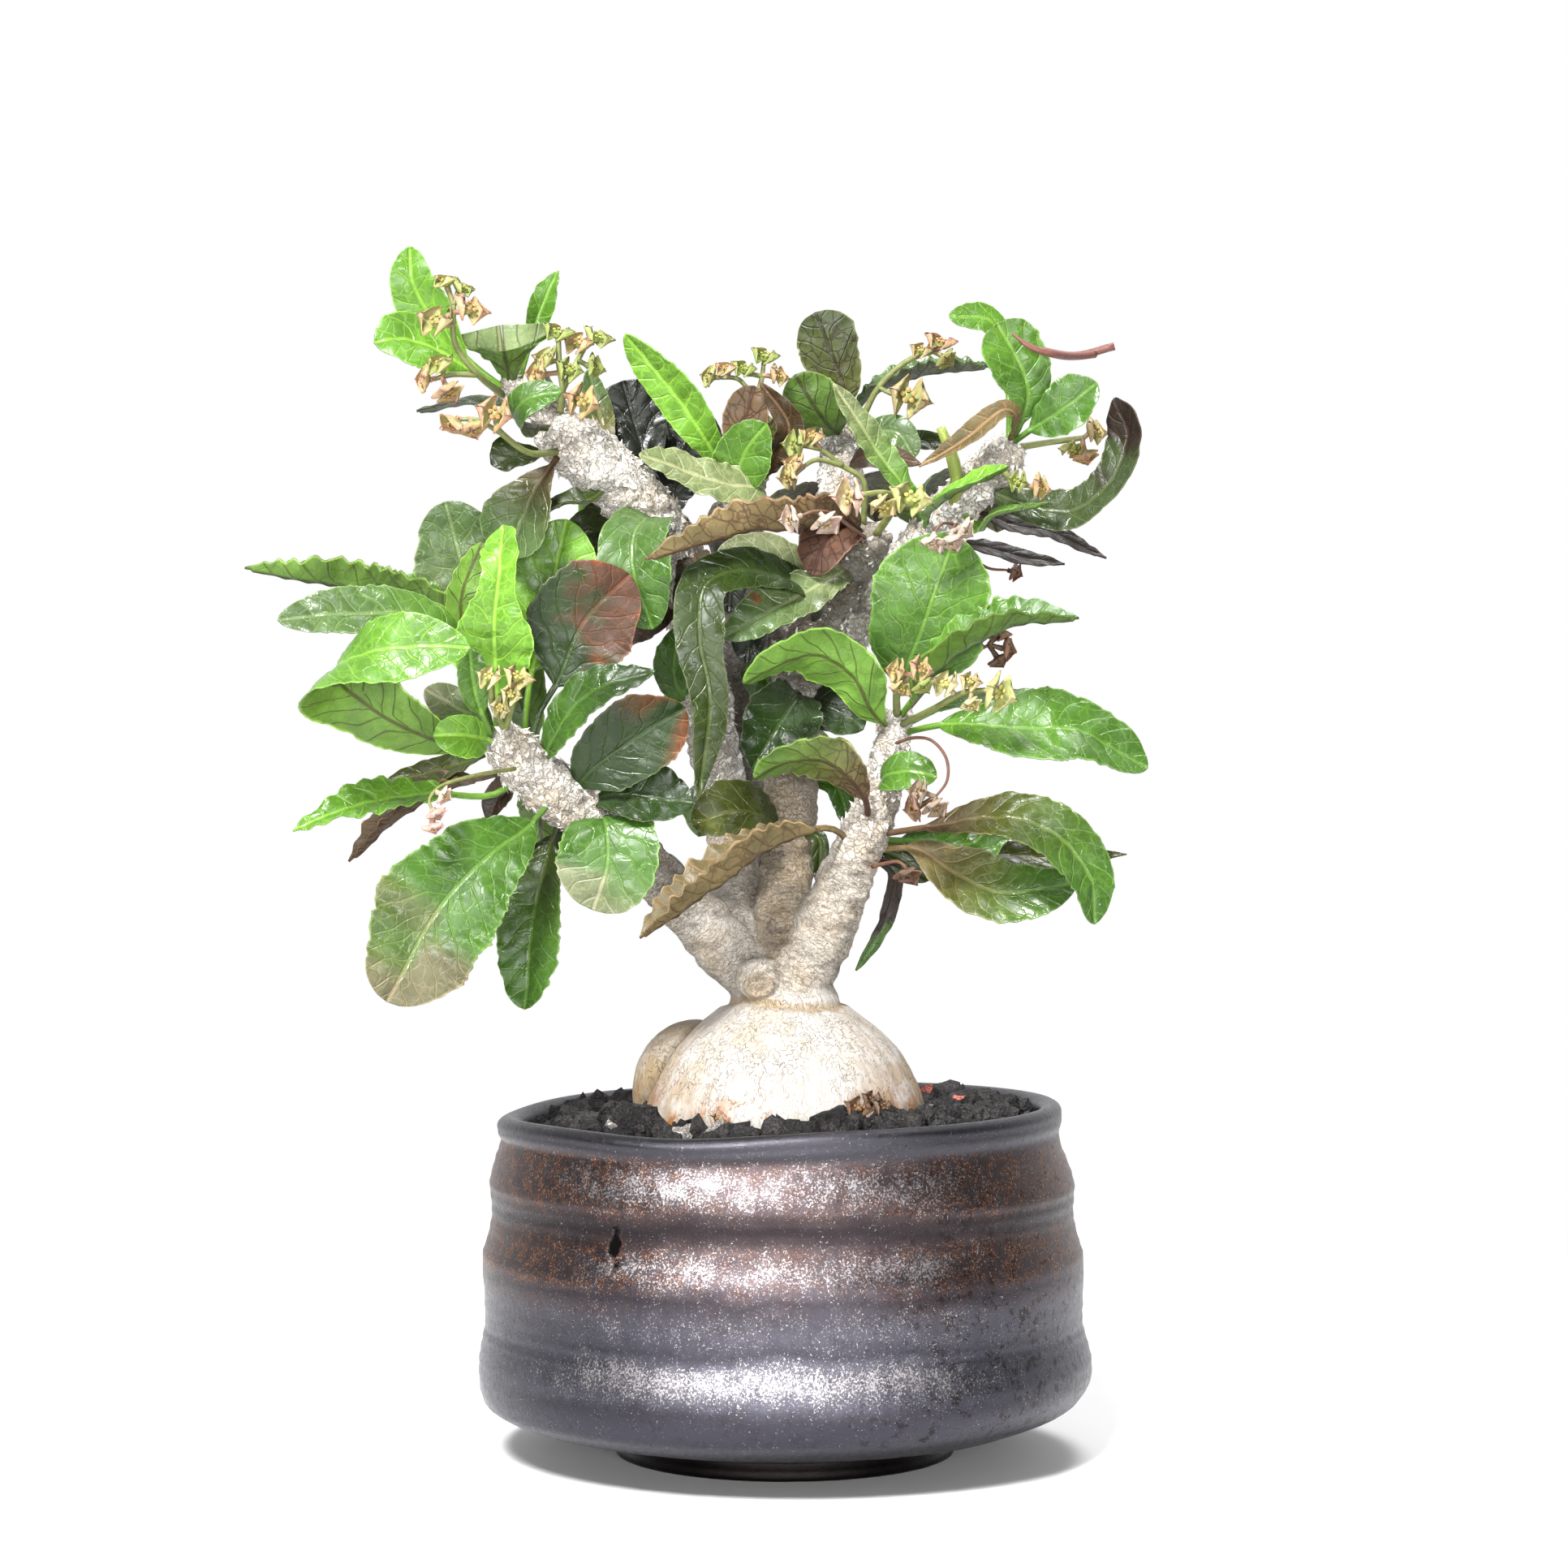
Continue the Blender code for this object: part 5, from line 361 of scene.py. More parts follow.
# Flower sprays: (stalks, heads). A stalk is (radius, places). A head is (place of its base, radius, way that
# it opens, index of the stalk it grows from).
SPRAYS = {
    "spray_top_left_upper": (
        [(0.9, [(-56.0, 206.6, -18.6), (-60.5, 212.0, -27), (-65.0, 218, -30), (-65.3, 226, -32)]),
         (0.8, [(-60.5, 212.0, -27), (-65.5, 212.0, -29), (-69, 211.2, -30)])],
        [((-68, 221.5, -32.5), 3.3, (-0.3, -0.8, 0.6), 0), ((-63.2, 224.2, -32.5), 3.3, (0.6, -0.6, 0.5), 0),
         ((-66.6, 229.3, -32), 2.2, (-0.2, -0.4, 0.9), 0), ((-64.4, 228.2, -31.5), 2.4, (0.6, -0.3, 0.7), 0),
         ((-67.4, 213, -30.5), 2.6, (-0.3, -0.6, 0.7), 1), ((-70, 211, -30.8), 2.4, (-0.9, -0.4, 0.1), 1),
         ((-66.8, 209.6, -30.6), 2.8, (0.3, -0.5, -0.8), 1)],
    ),
    "spray_top_left_front": (
        [(0.9, [(-46.5, 195.8, -18.4), (-50.5, 196.6, -26), (-55.8, 200.4, -31), (-57, 202.6, -32)]),
         (0.7, [(-55.8, 200.4, -31), (-60.5, 203, -31), (-64, 203.2, -31)])],
        [((-57.1, 203.8, -32.5), 3.3, (0.05, -0.95, 0.2), 0),
         ((-64.8, 203.4, -31.6), 2.8, (-0.4, -0.3, -0.85), 1),
         ((-61.9, 202.6, -31.6), 2.6, (0.2, -0.3, -0.9), 1)],
    ),
    "spray_top_left_right": (
        [(0.9, [(-42.6, 206.6, -16.6), (-43.8, 209, -18), (-44.5, 214, -18), (-44.6, 218.5, -18)]),
         (0.8, [(-43.8, 209, -18), (-41.5, 213.5, -17), (-39.3, 217.5, -16)])],
        [((-44.8, 219, -18.2), 2.8, (0.1, -0.5, 0.8), 0), ((-46.3, 214.5, -18.8), 2.5, (-0.6, -0.6, 0.5), 0),
         ((-47.6, 212, -18.8), 2.7, (-0.8, -0.6, 0.1), 0), ((-42.9, 212.4, -18.5), 2.6, (0.3, -0.8, 0.4), 1),
         ((-40.3, 217.2, -16.6), 2.8, (-0.2, -0.7, 0.7), 1), ((-37.9, 218.4, -16), 2.8, (0.5, -0.5, 0.7), 1),
         ((-38.6, 213.6, -16.6), 2.3, (0.8, -0.5, 0.1), 1),
         ((-40.6, 206.6, -19.6), 3.2, (0.3, -0.95, 0.1), 0)],
    ),
    "spray_left": (
        [(1.0, [(-55.4, 145.0, -28.6), (-57.6, 147.2, -32), (-57.9, 151, -34)]),
         (1.0, [(-55.4, 145.0, -28.6), (-53.8, 147, -32), (-53.5, 150.5, -34)])],
        [((-57.8, 151.8, -34.6), 2.4, (-0.3, -0.8, 0.5), 0),
         ((-53.3, 151.6, -34.8), 2.6, (0.4, -0.7, 0.6), 1),
         ((-54.2, 148.8, -35), 2.0, (0.2, -0.9, 0.2), 1),
         ((-55.8, 146.6, -33.2), 2.0, (-0.2, -0.9, -0.2), 0)],
    ),
    "spray_left_hanging": (
        [(0.7, [(-53.4, 133.3, -27.6), (-61, 133, -35), (-67.5, 131, -40), (-70, 128.4, -42),
                 (-69.5, 126, -42.5)])],
        [((-67.8, 129.3, -41.5), 1.7, (0.8, -0.5, -0.4), 0),
         ((-69.0, 126.2, -43), 1.8, (0.4, -0.3, -0.85), 0),
         ((-69.5, 123.6, -43), 1.8, (0.2, -0.3, -0.95), 0)],
    ),
    "spray_back_left": (
        [(0.8, [(-11.2, 193.5, 11), (-9.6, 200, 16), (-6, 207, 17), (-4.6, 211, 17), (-4.2, 214, 17)]),
         (0.7, [(-6, 207, 17), (-9, 211, 16), (-13, 211.4, 16)])],
        [((-14, 211.4, 16), 2.2, (-0.8, -0.5, 0.3), 1), ((-11.2, 212.2, 16), 2.2, (-0.2, -0.5, 0.8), 1),
         ((-8, 212.2, 16), 2.4, (0.1, -0.6, 0.7), 0), ((-4, 214.6, 17), 2.6, (0.1, -0.6, 0.8), 0),
         ((-2.2, 211.6, 17), 2.2, (0.7, -0.6, 0.3), 0)],
    ),
    "spray_back_right": (
        [(0.9, [(15.6, 204.6, 34.5), (18.5, 209.5, 32), (24, 214.6, 31), (29.5, 216.6, 30)]),
         (0.7, [(18.5, 209.5, 32), (21, 208.2, 31), (23.3, 207.6, 30)])],
        [((27, 216, 30), 2.2, (-0.1, -0.7, 0.7), 0), ((30.6, 217.2, 30), 2.8, (0.1, -0.5, 0.85), 0),
         ((31.2, 215.6, 29.6), 2.2, (0.6, -0.5, -0.6), 0), ((24, 207.4, 29.4), 4.0, (0.1, -0.98, 0.1), 1)],
    ),
    "spray_front": (
        [(1.0, [(20.4, 184.4, -7.0), (22, 186.8, -12.5), (19.8, 188.6, -16.5), (15.4, 188.4, -19)]),
         (0.9, [(22, 186.8, -12.5), (24, 186.4, -16)])],
        [((14, 188.2, -19.4), 3.4, (-0.6, -0.7, -0.2), 0), ((19.4, 186.8, -18.6), 2.7, (0, -0.7, -0.7), 0),
         ((24.4, 186.6, -17), 3.5, (0.2, -0.8, 0.5), 1)],
    ),
    "spray_front_left": (
        [(0.8, [(17.2, 185.4, -5.2), (15.6, 190.8, -5.5), (11.4, 194, -7), (7, 197.4, -9)]),
         (0.7, [(11.4, 194, -7), (6.5, 195.2, -10), (3.6, 193.8, -12)])],
        [((3.0, 198.2, -9.6), 2.6, (-0.7, -0.7, 0), 0), ((5.6, 199, -9), 2.3, (-0.1, -0.7, 0.7), 0),
         ((2.6, 193.8, -12.6), 2.3, (-0.6, -0.6, 0.5), 1), ((1.6, 192, -12.6), 2.3, (-0.7, -0.7, -0.3), 1)],
    ),
    "spray_upper_right": (
        [(0.9, [(48.2, 198.6, 3.4), (52, 198.6, 4.5), (56.4, 199.2, 5), (59, 199.6, 5)])],
        [((60, 200.4, 5), 2.8, (0.7, -0.6, 0.4), 0), ((56.8, 198.2, 4.8), 2.6, (-0.2, -0.5, -0.8), 0),
         ((59, 197, 5), 2.4, (0.2, -0.3, -0.95), 0)],
    ),
    "spray_upper_right_low": (
        [(0.8, [(43.4, 191.6, -2.6), (45.2, 190.6, -8), (48.3, 190, -10)])],
        [((46.2, 190.8, -10), 2.0, (-0.3, -0.9, 0.1), 0), ((49.4, 189.8, -10.6), 2.4, (0.7, -0.6, 0.1), 0)],
    ),
    "spray_right_upper": (
        [(1.0, [(22.6, 148.4, -13), (22.2, 150.8, -22), (24.8, 152.8, -29)])],
        [((22.8, 153.4, -29), 2.2, (-0.6, -0.7, 0.2), 0), ((23.2, 150.8, -29), 2.0, (-0.2, -0.6, -0.8), 0),
         ((26.2, 153.8, -30), 2.4, (0.4, -0.8, 0.2), 0), ((26.8, 151.4, -29.8), 2.0, (0.4, -0.5, -0.8), 0)],
    ),
    "spray_right": (
        [(0.9, [(24.4, 142.8, -12), (29.8, 146.4, -22), (35, 149.2, -27), (39.6, 149.8, -29)])],
        [((32.2, 150.4, -26.5), 2.6, (-0.3, -0.8, 0.5), 0), ((36.4, 151, -28.6), 2.0, (0.1, -0.8, 0.5), 0),
         ((36.6, 147.8, -28.6), 2.0, (0.1, -0.6, -0.8), 0), ((41, 149.6, -29.6), 3.5, (0.5, -0.8, -0.1), 0)],
    ),
    "dry_spray_right": (
        [(0.8, [(24.6, 147.8, -4.4), (30, 152.4, -6.5), (35, 156, -7), (40.4, 158.8, -8)])],
        [((41.4, 160, -8), 2.3, (0.2, -0.5, 0.8), 0), ((43, 158, -8), 2.2, (0.9, -0.4, 0), 0),
         ((41.8, 156.4, -8.4), 2.0, (0.4, -0.4, -0.8), 0), ((38.4, 159.2, -8), 2.0, (-0.5, -0.5, 0.7), 0)],
    ),
    "dry_spray_centre": (
        [(0.7, [(33.6, 181.3, 5.0), (34, 181.8, -3), (33.6, 182.4, -14), (33, 181, -22.5)]),
         (0.6, [(33.6, 182.4, -14), (31, 182.6, -19), (29.4, 180.6, -23)])],
        [((29.2, 180, -23.8), 2.5, (-0.2, -0.4, -0.9), 1), ((32.8, 180.2, -24), 2.5, (0, -0.4, -0.9), 0),
         ((34.6, 181.8, -23.6), 2.3, (0.7, -0.5, -0.4), 0)],
    ),
    "dry_spray_front": (
        [(0.7, [(15.4, 180.4, -8.8), (12.6, 182.2, -16), (9.4, 184.6, -25), (5.8, 185, -29),
                 (3.2, 184.2, -29.5)])],
        [((2.2, 183.8, -30), 2.5, (-0.7, -0.6, -0.3), 0), ((7.8, 183.8, -28.8), 2.8, (0.2, -0.6, -0.8), 0)],
    ),
    "dry_spray_loops": (
        [(0.6, [(22.2, 139.2, -11.6), (25.5, 140.4, -19), (29, 139.8, -22), (31.8, 136.4, -23),
                 (32, 132, -23),
                (29.6, 128.6, -22.5)])],
        [((27.4, 129.6, -23), 2.3, (-0.7, -0.6, 0.2), 0), ((29.4, 127.4, -23), 2.4, (0.2, -0.6, -0.7), 0),
         ((26.4, 126.8, -23), 2.4, (-0.8, -0.5, -0.3), 0)],
    ),
    "dry_spray_low": (
        [(0.7, [(18.6, 114.2, -9.4), (21.8, 116, -13), (23.6, 115.2, -15)])],
        [((24, 114.4, -15.4), 2.5, (0.1, -0.5, -0.85), 0)],
    ),
    "dry_spray_outer": (
        [(0.6, [(33.2, 180.6, 15), (39, 174.4, 16), (44.2, 173.4, 15)])],
        [((44.8, 173.2, 14.6), 1.8, (0.7, -0.6, -0.2), 0)],
    ),
}

# Tones of leaves: the colour of the upper face, the colour of the underside.
TONES = {
    "lime": ((0.125, 0.29, 0.026), (0.14, 0.29, 0.034)),
    "bright": ((0.085, 0.205, 0.020), (0.125, 0.25, 0.028)),
    "fresh": ((0.066, 0.158, 0.017), (0.105, 0.205, 0.026)),
    "green": ((0.046, 0.115, 0.014), (0.080, 0.155, 0.020)),
    "deep": ((0.015, 0.034, 0.006), (0.028, 0.045, 0.009)),
    "dark": ((0.025, 0.041, 0.007), (0.040, 0.058, 0.010)),
    "shaded": ((0.034, 0.053, 0.017), (0.046, 0.062, 0.021)),
    "black": ((0.006, 0.008, 0.004), (0.010, 0.011, 0.005)),
    "dusty": ((0.064, 0.112, 0.034), (0.078, 0.105, 0.038)),
    "silver": ((0.14, 0.165, 0.080), (0.13, 0.145, 0.075)),
    "olive": ((0.050, 0.063, 0.009), (0.096, 0.108, 0.021)),
    "pale": ((0.155, 0.195, 0.080), (0.16, 0.22, 0.085)),
    "brown": ((0.048, 0.029, 0.010), (0.110, 0.066, 0.028)),
    "purple": ((0.016, 0.0095, 0.0055), (0.030, 0.018, 0.011)),
    "tan": ((0.11, 0.082, 0.028), (0.20, 0.15, 0.062)),
    "rust": ((0.062, 0.024, 0.008), (0.09, 0.038, 0.018)),
    "faded": ((0.105, 0.100, 0.045), (0.10, 0.09, 0.045)),
    "orange": ((0.15, 0.042, 0.010), (0.12, 0.05, 0.02)),
}
REAR_TONES = ("dark", "purple", "olive", "green", "fresh")
# The outline of each kind of leaf, as the powers by which it widens from the stalk and narrows to the tip.
SHAPES = {
    "elliptic": (0.8, 0.6),
    "spoon": (1.2, 0.48),
    "lance": (0.8, 0.85),
    "round": (0.55, 0.48),
    "wedge": (1.3, 0.3),
}
USUAL_WIDTH = 0.97
# Leaves whose outline or twist differs from their kind: the outline, as its two powers or as half widths at
# equal steps from stalk to tip, the share of the width, and (start, end, degrees) of the blade's twist.
FORMS = {
    "lime_upright": ((0.2, 0.5, 0.88, 1.0, 0.9, 0.66, 0.46, 0.42, 0.5, 0.45, 0.15), 1.0, (0.5, 0.95, 50)),
    "rolled_back": ((0.7, 0.6), 0.95, (0.28, 0.95, -80)),
    "big_lower": ((0.8, 0.5), 0.86, (0, 1, 0)),
    "olive_round_behind": ((0.6, 0.5), 1.2, (0, 1, 0)),
    "two_toned": ((0.75, 0.6), 0.98, (0, 1, 0)),
    "glossy_crisp": ((0.8, 0.85), 0.82, (0, 1, 10)),
    "cupped_grey": ((0.12, 0.2, 0.3, 0.42, 0.56, 0.72, 0.9, 1.05, 1.1), 1.05, (0, 1, 0)),
    "lime_centre": ((0.8, 0.6), 1.0, (0, 1, 25)),
    "twisted_top": ((0.8, 0.8), 1.0, (0.1, 1, 60)),
    "long_strap": ((0.6, 0.7), 1.0, (0.5, 1.0, 25)),
    "hooked_dark": ((0.3, 0.6, 0.8, 0.85, 0.8, 0.78, 0.85, 0.98, 1.0, 0.9, 0.4), 1.0, (0.4, 1.0, 20)),
    "veined_underside": ((0.7, 0.8), 1.15, (0, 1, 10)),
    "purple_dangling": ((0.7, 0.6), 0.6, (0, 1, 40)),
    "dark_rounded": ((0.7, 0.45), 0.95, (0, 1, 0)),
    "narrow_crimped": ((0.7, 0.7), 1.25, (0, 1, 20)),
}
# Leaves whose underside is the face that their record turns up.
TURNED = {"purple_veined", "brown_round"}
# How far the middle of a blade's tip lies back from its corners, as a share of the length.
DIPS = {"cupped_grey": 0.45, "hooked_dark": 0.06, "small_light": 0.08}

# Millimetres, from here to the grooves, apart from the slant, which is a slope, and the twist in degrees.
STALK_THICKNESS = 1.25
BLADE_THICKNESS = 0.5
VEIN_PITCH = 4.4
VEIN_SLANT = 0.75
MOST_EXTRA_TWIST = 14
CRIMP_HEIGHT = 0.58
CRIMP_PITCH = (3.0, 4.6)
QUILT_HEIGHT = 0.42
BUCKLE_HEIGHT = 0.9
# How deep the midrib lies in the upper face, and, as a negative depth, how far it stands out below.
GROOVE, RIDGE = 0.30, -0.36
FRAME_STEPS = 120


def spot(place):
    """The real point, in millimetres, of a place on the plant."""
    x, z, depth = place[:3]
    scale = (EYE_DISTANCE + depth) / EYE_DISTANCE
    return Vector((x * scale + AXIS_X, depth + AXIS_Y, EYE_HEIGHT + (z - EYE_HEIGHT) * scale))


def spots(places):
    return [spot(place) for place in places]


def smooth_line(points, steps=8):
    """A smooth line through the given points."""
    padded = [points[0] * 2 - points[1]] + points + [points[-1] * 2 - points[-2]]
    line = []
    for before, start, end, after in zip(padded, padded[1:], padded[2:], padded[3:]):
        for step in range(steps):
            t = step / steps
            line.append(0.5 * (
                start * 2
                + (end - before) * t
                + (before * 2 - start * 5 + end * 4 - after) * t ** 2
                + (after - before + (start - end) * 3) * t ** 3
            ))
    return line + [points[-1]]


def profile_line(profile, steps):
    """A smooth line through (radius, height) points."""
    return smooth_line([Vector((radius, 0, height)) for radius, height in profile], steps)


def reaches(line):
    """How far along the line each of its points lies."""
    found = [0.0]
    for start, end in zip(line, line[1:]):
        found.append(found[-1] + (end - start).length)
    return found


def along(line, fractions):
    """The points at these fractions of the line's length."""
    reach = reaches(line)
    found = []
    i = 0
    for fraction in fractions:
        want = fraction * reach[-1]
        while i < len(line) - 2 and reach[i + 1] < want:
            i += 1
        found.append(line[i].lerp(line[i + 1], (want - reach[i]) / max(reach[i + 1] - reach[i], 1e-9)))
    return found


def frames(line, facing, held):
    """(along, across, up) at each point of a line, without twist from the facing held at one fraction."""
    ways = []
    for i in range(len(line)):
        ways.append((line[min(i + 1, len(line) - 1)] - line[max(i - 1, 0)]).normalized())
    middle = round(held * (len(line) - 1))
    ups = [Vector(facing)] * len(line)
    for i in [*range(middle, len(line)), *range(middle - 1, -1, -1)]:
        up = ups[i - 1] if i > middle else ups[i + 1] if i < middle else ups[i]
        ups[i] = (up - ways[i] * up.dot(ways[i])).normalized()
    return [(way, way.cross(up), up) for way, up in zip(ways, ups)]


def step_smooth(x):
    x = min(1.0, max(0.0, x))
    return x * x * (3 - 2 * x)


def blend(a, b, share):
    """The colour that lies this share of the way from a to b."""
    return tuple(a[k] + (b[k] - a[k]) * share for k in range(3))


def placed(name, data, material=None):
    """A new object of the scene."""
    if material:
        data.materials.append(material)
    obj = bpy.data.objects.new(name, data)
    bpy.context.scene.collection.objects.link(obj)
    return obj


def mesh_of(shape, name):
    """The mesh of a finished bmesh."""
    mesh = bpy.data.meshes.new(name)
    shape.to_mesh(mesh)
    shape.free()
    return mesh


def dress(piece, slot, *nodes):
    """Lets a piece ride on the one body, in the place of the named nodes. The slot is not used."""
    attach(piece, "root")
    if nodes:
        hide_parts(*nodes)


class Sheets:
    """Points and faces of one mesh. Each point has a colour and a mark, three numbers, for its material."""

    def __init__(self):
        self.points = []
        self.faces = []
        self.tones = []
        self.marks = []

    def add(self, points, tones=None, marks=None):
        """Adds points, and gives the index of the first."""
        first = len(self.points)
        self.points += points
        self.tones += tones or [(0, 0, 0)] * len(points)
        self.marks += marks or [(0, 0, 0)] * len(points)
        return first

    def add_rings(self, rings, tones=None, marks=None, closed_ends=True):
        """A tube lofted through rings of points."""
        count = len(rings[0])
        starts = []
        for i, ring in enumerate(rings):
            starts.append(self.add(ring, tones and tones[i], marks and marks[i]))
        for near in starts[:-1]:
            for i in range(count):
                j = (i + 1) % count
                self.faces.append((near + i, near + j, near + count + j, near + count + i))
        if closed_ends:
            self.faces.append(tuple(range(starts[0] + count - 1, starts[0] - 1, -1)))
            self.faces.append(tuple(range(starts[-1], starts[-1] + count)))

    def finish(self, name, material=None, smooth=True):
        mesh = bpy.data.meshes.new(name)
        mesh.from_pydata([tuple(c * MM for c in point) for point in self.points], [], self.faces)
        tone = mesh.attributes.new("tone", "FLOAT_COLOR", "POINT")
        tone.data.foreach_set("color", [c for t in self.tones for c in (*t, 1.0)])
        mark = mesh.attributes.new("mark", "FLOAT_VECTOR", "POINT")
        mark.data.foreach_set("vector", [c for m in self.marks for c in m])
        if smooth:
            mesh.shade_smooth()
        return placed(name, mesh, material)


def circle(centre, across, up, radius, sides):
    """Points round a centre."""
    ring = []
    for j in range(sides):
        angle = math.tau * j / sides
        ring.append(centre + (across * math.cos(angle) + up * math.sin(angle)) * radius)
    return ring


def rod(sheets, points, radii, tone, sides=10):
    """A round rod along a smooth line, its radius blended between the given ones."""
    line = smooth_line(points, 6)
    rings = []
    for i, (centre, (_, across, up)) in enumerate(zip(line, frames(line, (0.13, 0.2, 0.97), 0.5))):
        place = i / (len(line) - 1) * (len(radii) - 1)
        low = min(int(place), len(radii) - 2)
        radius = radii[low] + (radii[low + 1] - radii[low]) * (place - low)
        rings.append(circle(centre, across, up, radius, sides))
    marks = [[(0.0, i * 1.0, 0.0)] * sides for i in range(len(rings))]
    sheets.add_rings(rings, [[tone] * sides] * len(rings), marks)


def blade_half(v, width, outline):
    """Half the blade's width at the share v of its length, from the stalk to a blunt tip."""
    if len(outline) > 2:
        place = v * (len(outline) - 1)
        low = min(int(place), len(outline) - 2)
        share = step_smooth(place - low)
        tip = 1.0 if outline[-1] > 1 else math.sqrt(max(0.0, 1 - max(0.0, (v - 0.93) / 0.07) ** 2))
        return width / 2 * tip * (outline[low] + (outline[low + 1] - outline[low]) * share)
    rise, fall = outline
    widest = rise / (rise + fall)
    return width / 2 * v ** rise * (1 - v) ** fall / (widest ** rise * (1 - widest) ** fall)


def tone_share(how, v, c, drift, blot):
    """How much of the second tone shows at the share v of the length and c of the width."""
    if how == "side":
        return step_smooth((v - 0.38 + 0.3 * c + 0.3 * drift + 0.35 * blot) / 0.4)
    if how == "rim":
        return 0.75 * step_smooth((abs(c) - 0.45 + 0.8 * drift) / 0.55) * step_smooth(v * 3 - 1.6)
    if how == "tip":
        return step_smooth((v - 0.62 + 0.3 * drift) / 0.25)
    if how == "lip":
        return step_smooth((v - 0.84 + 0.1 * drift) / 0.08)
    return step_smooth(v * 1.1)


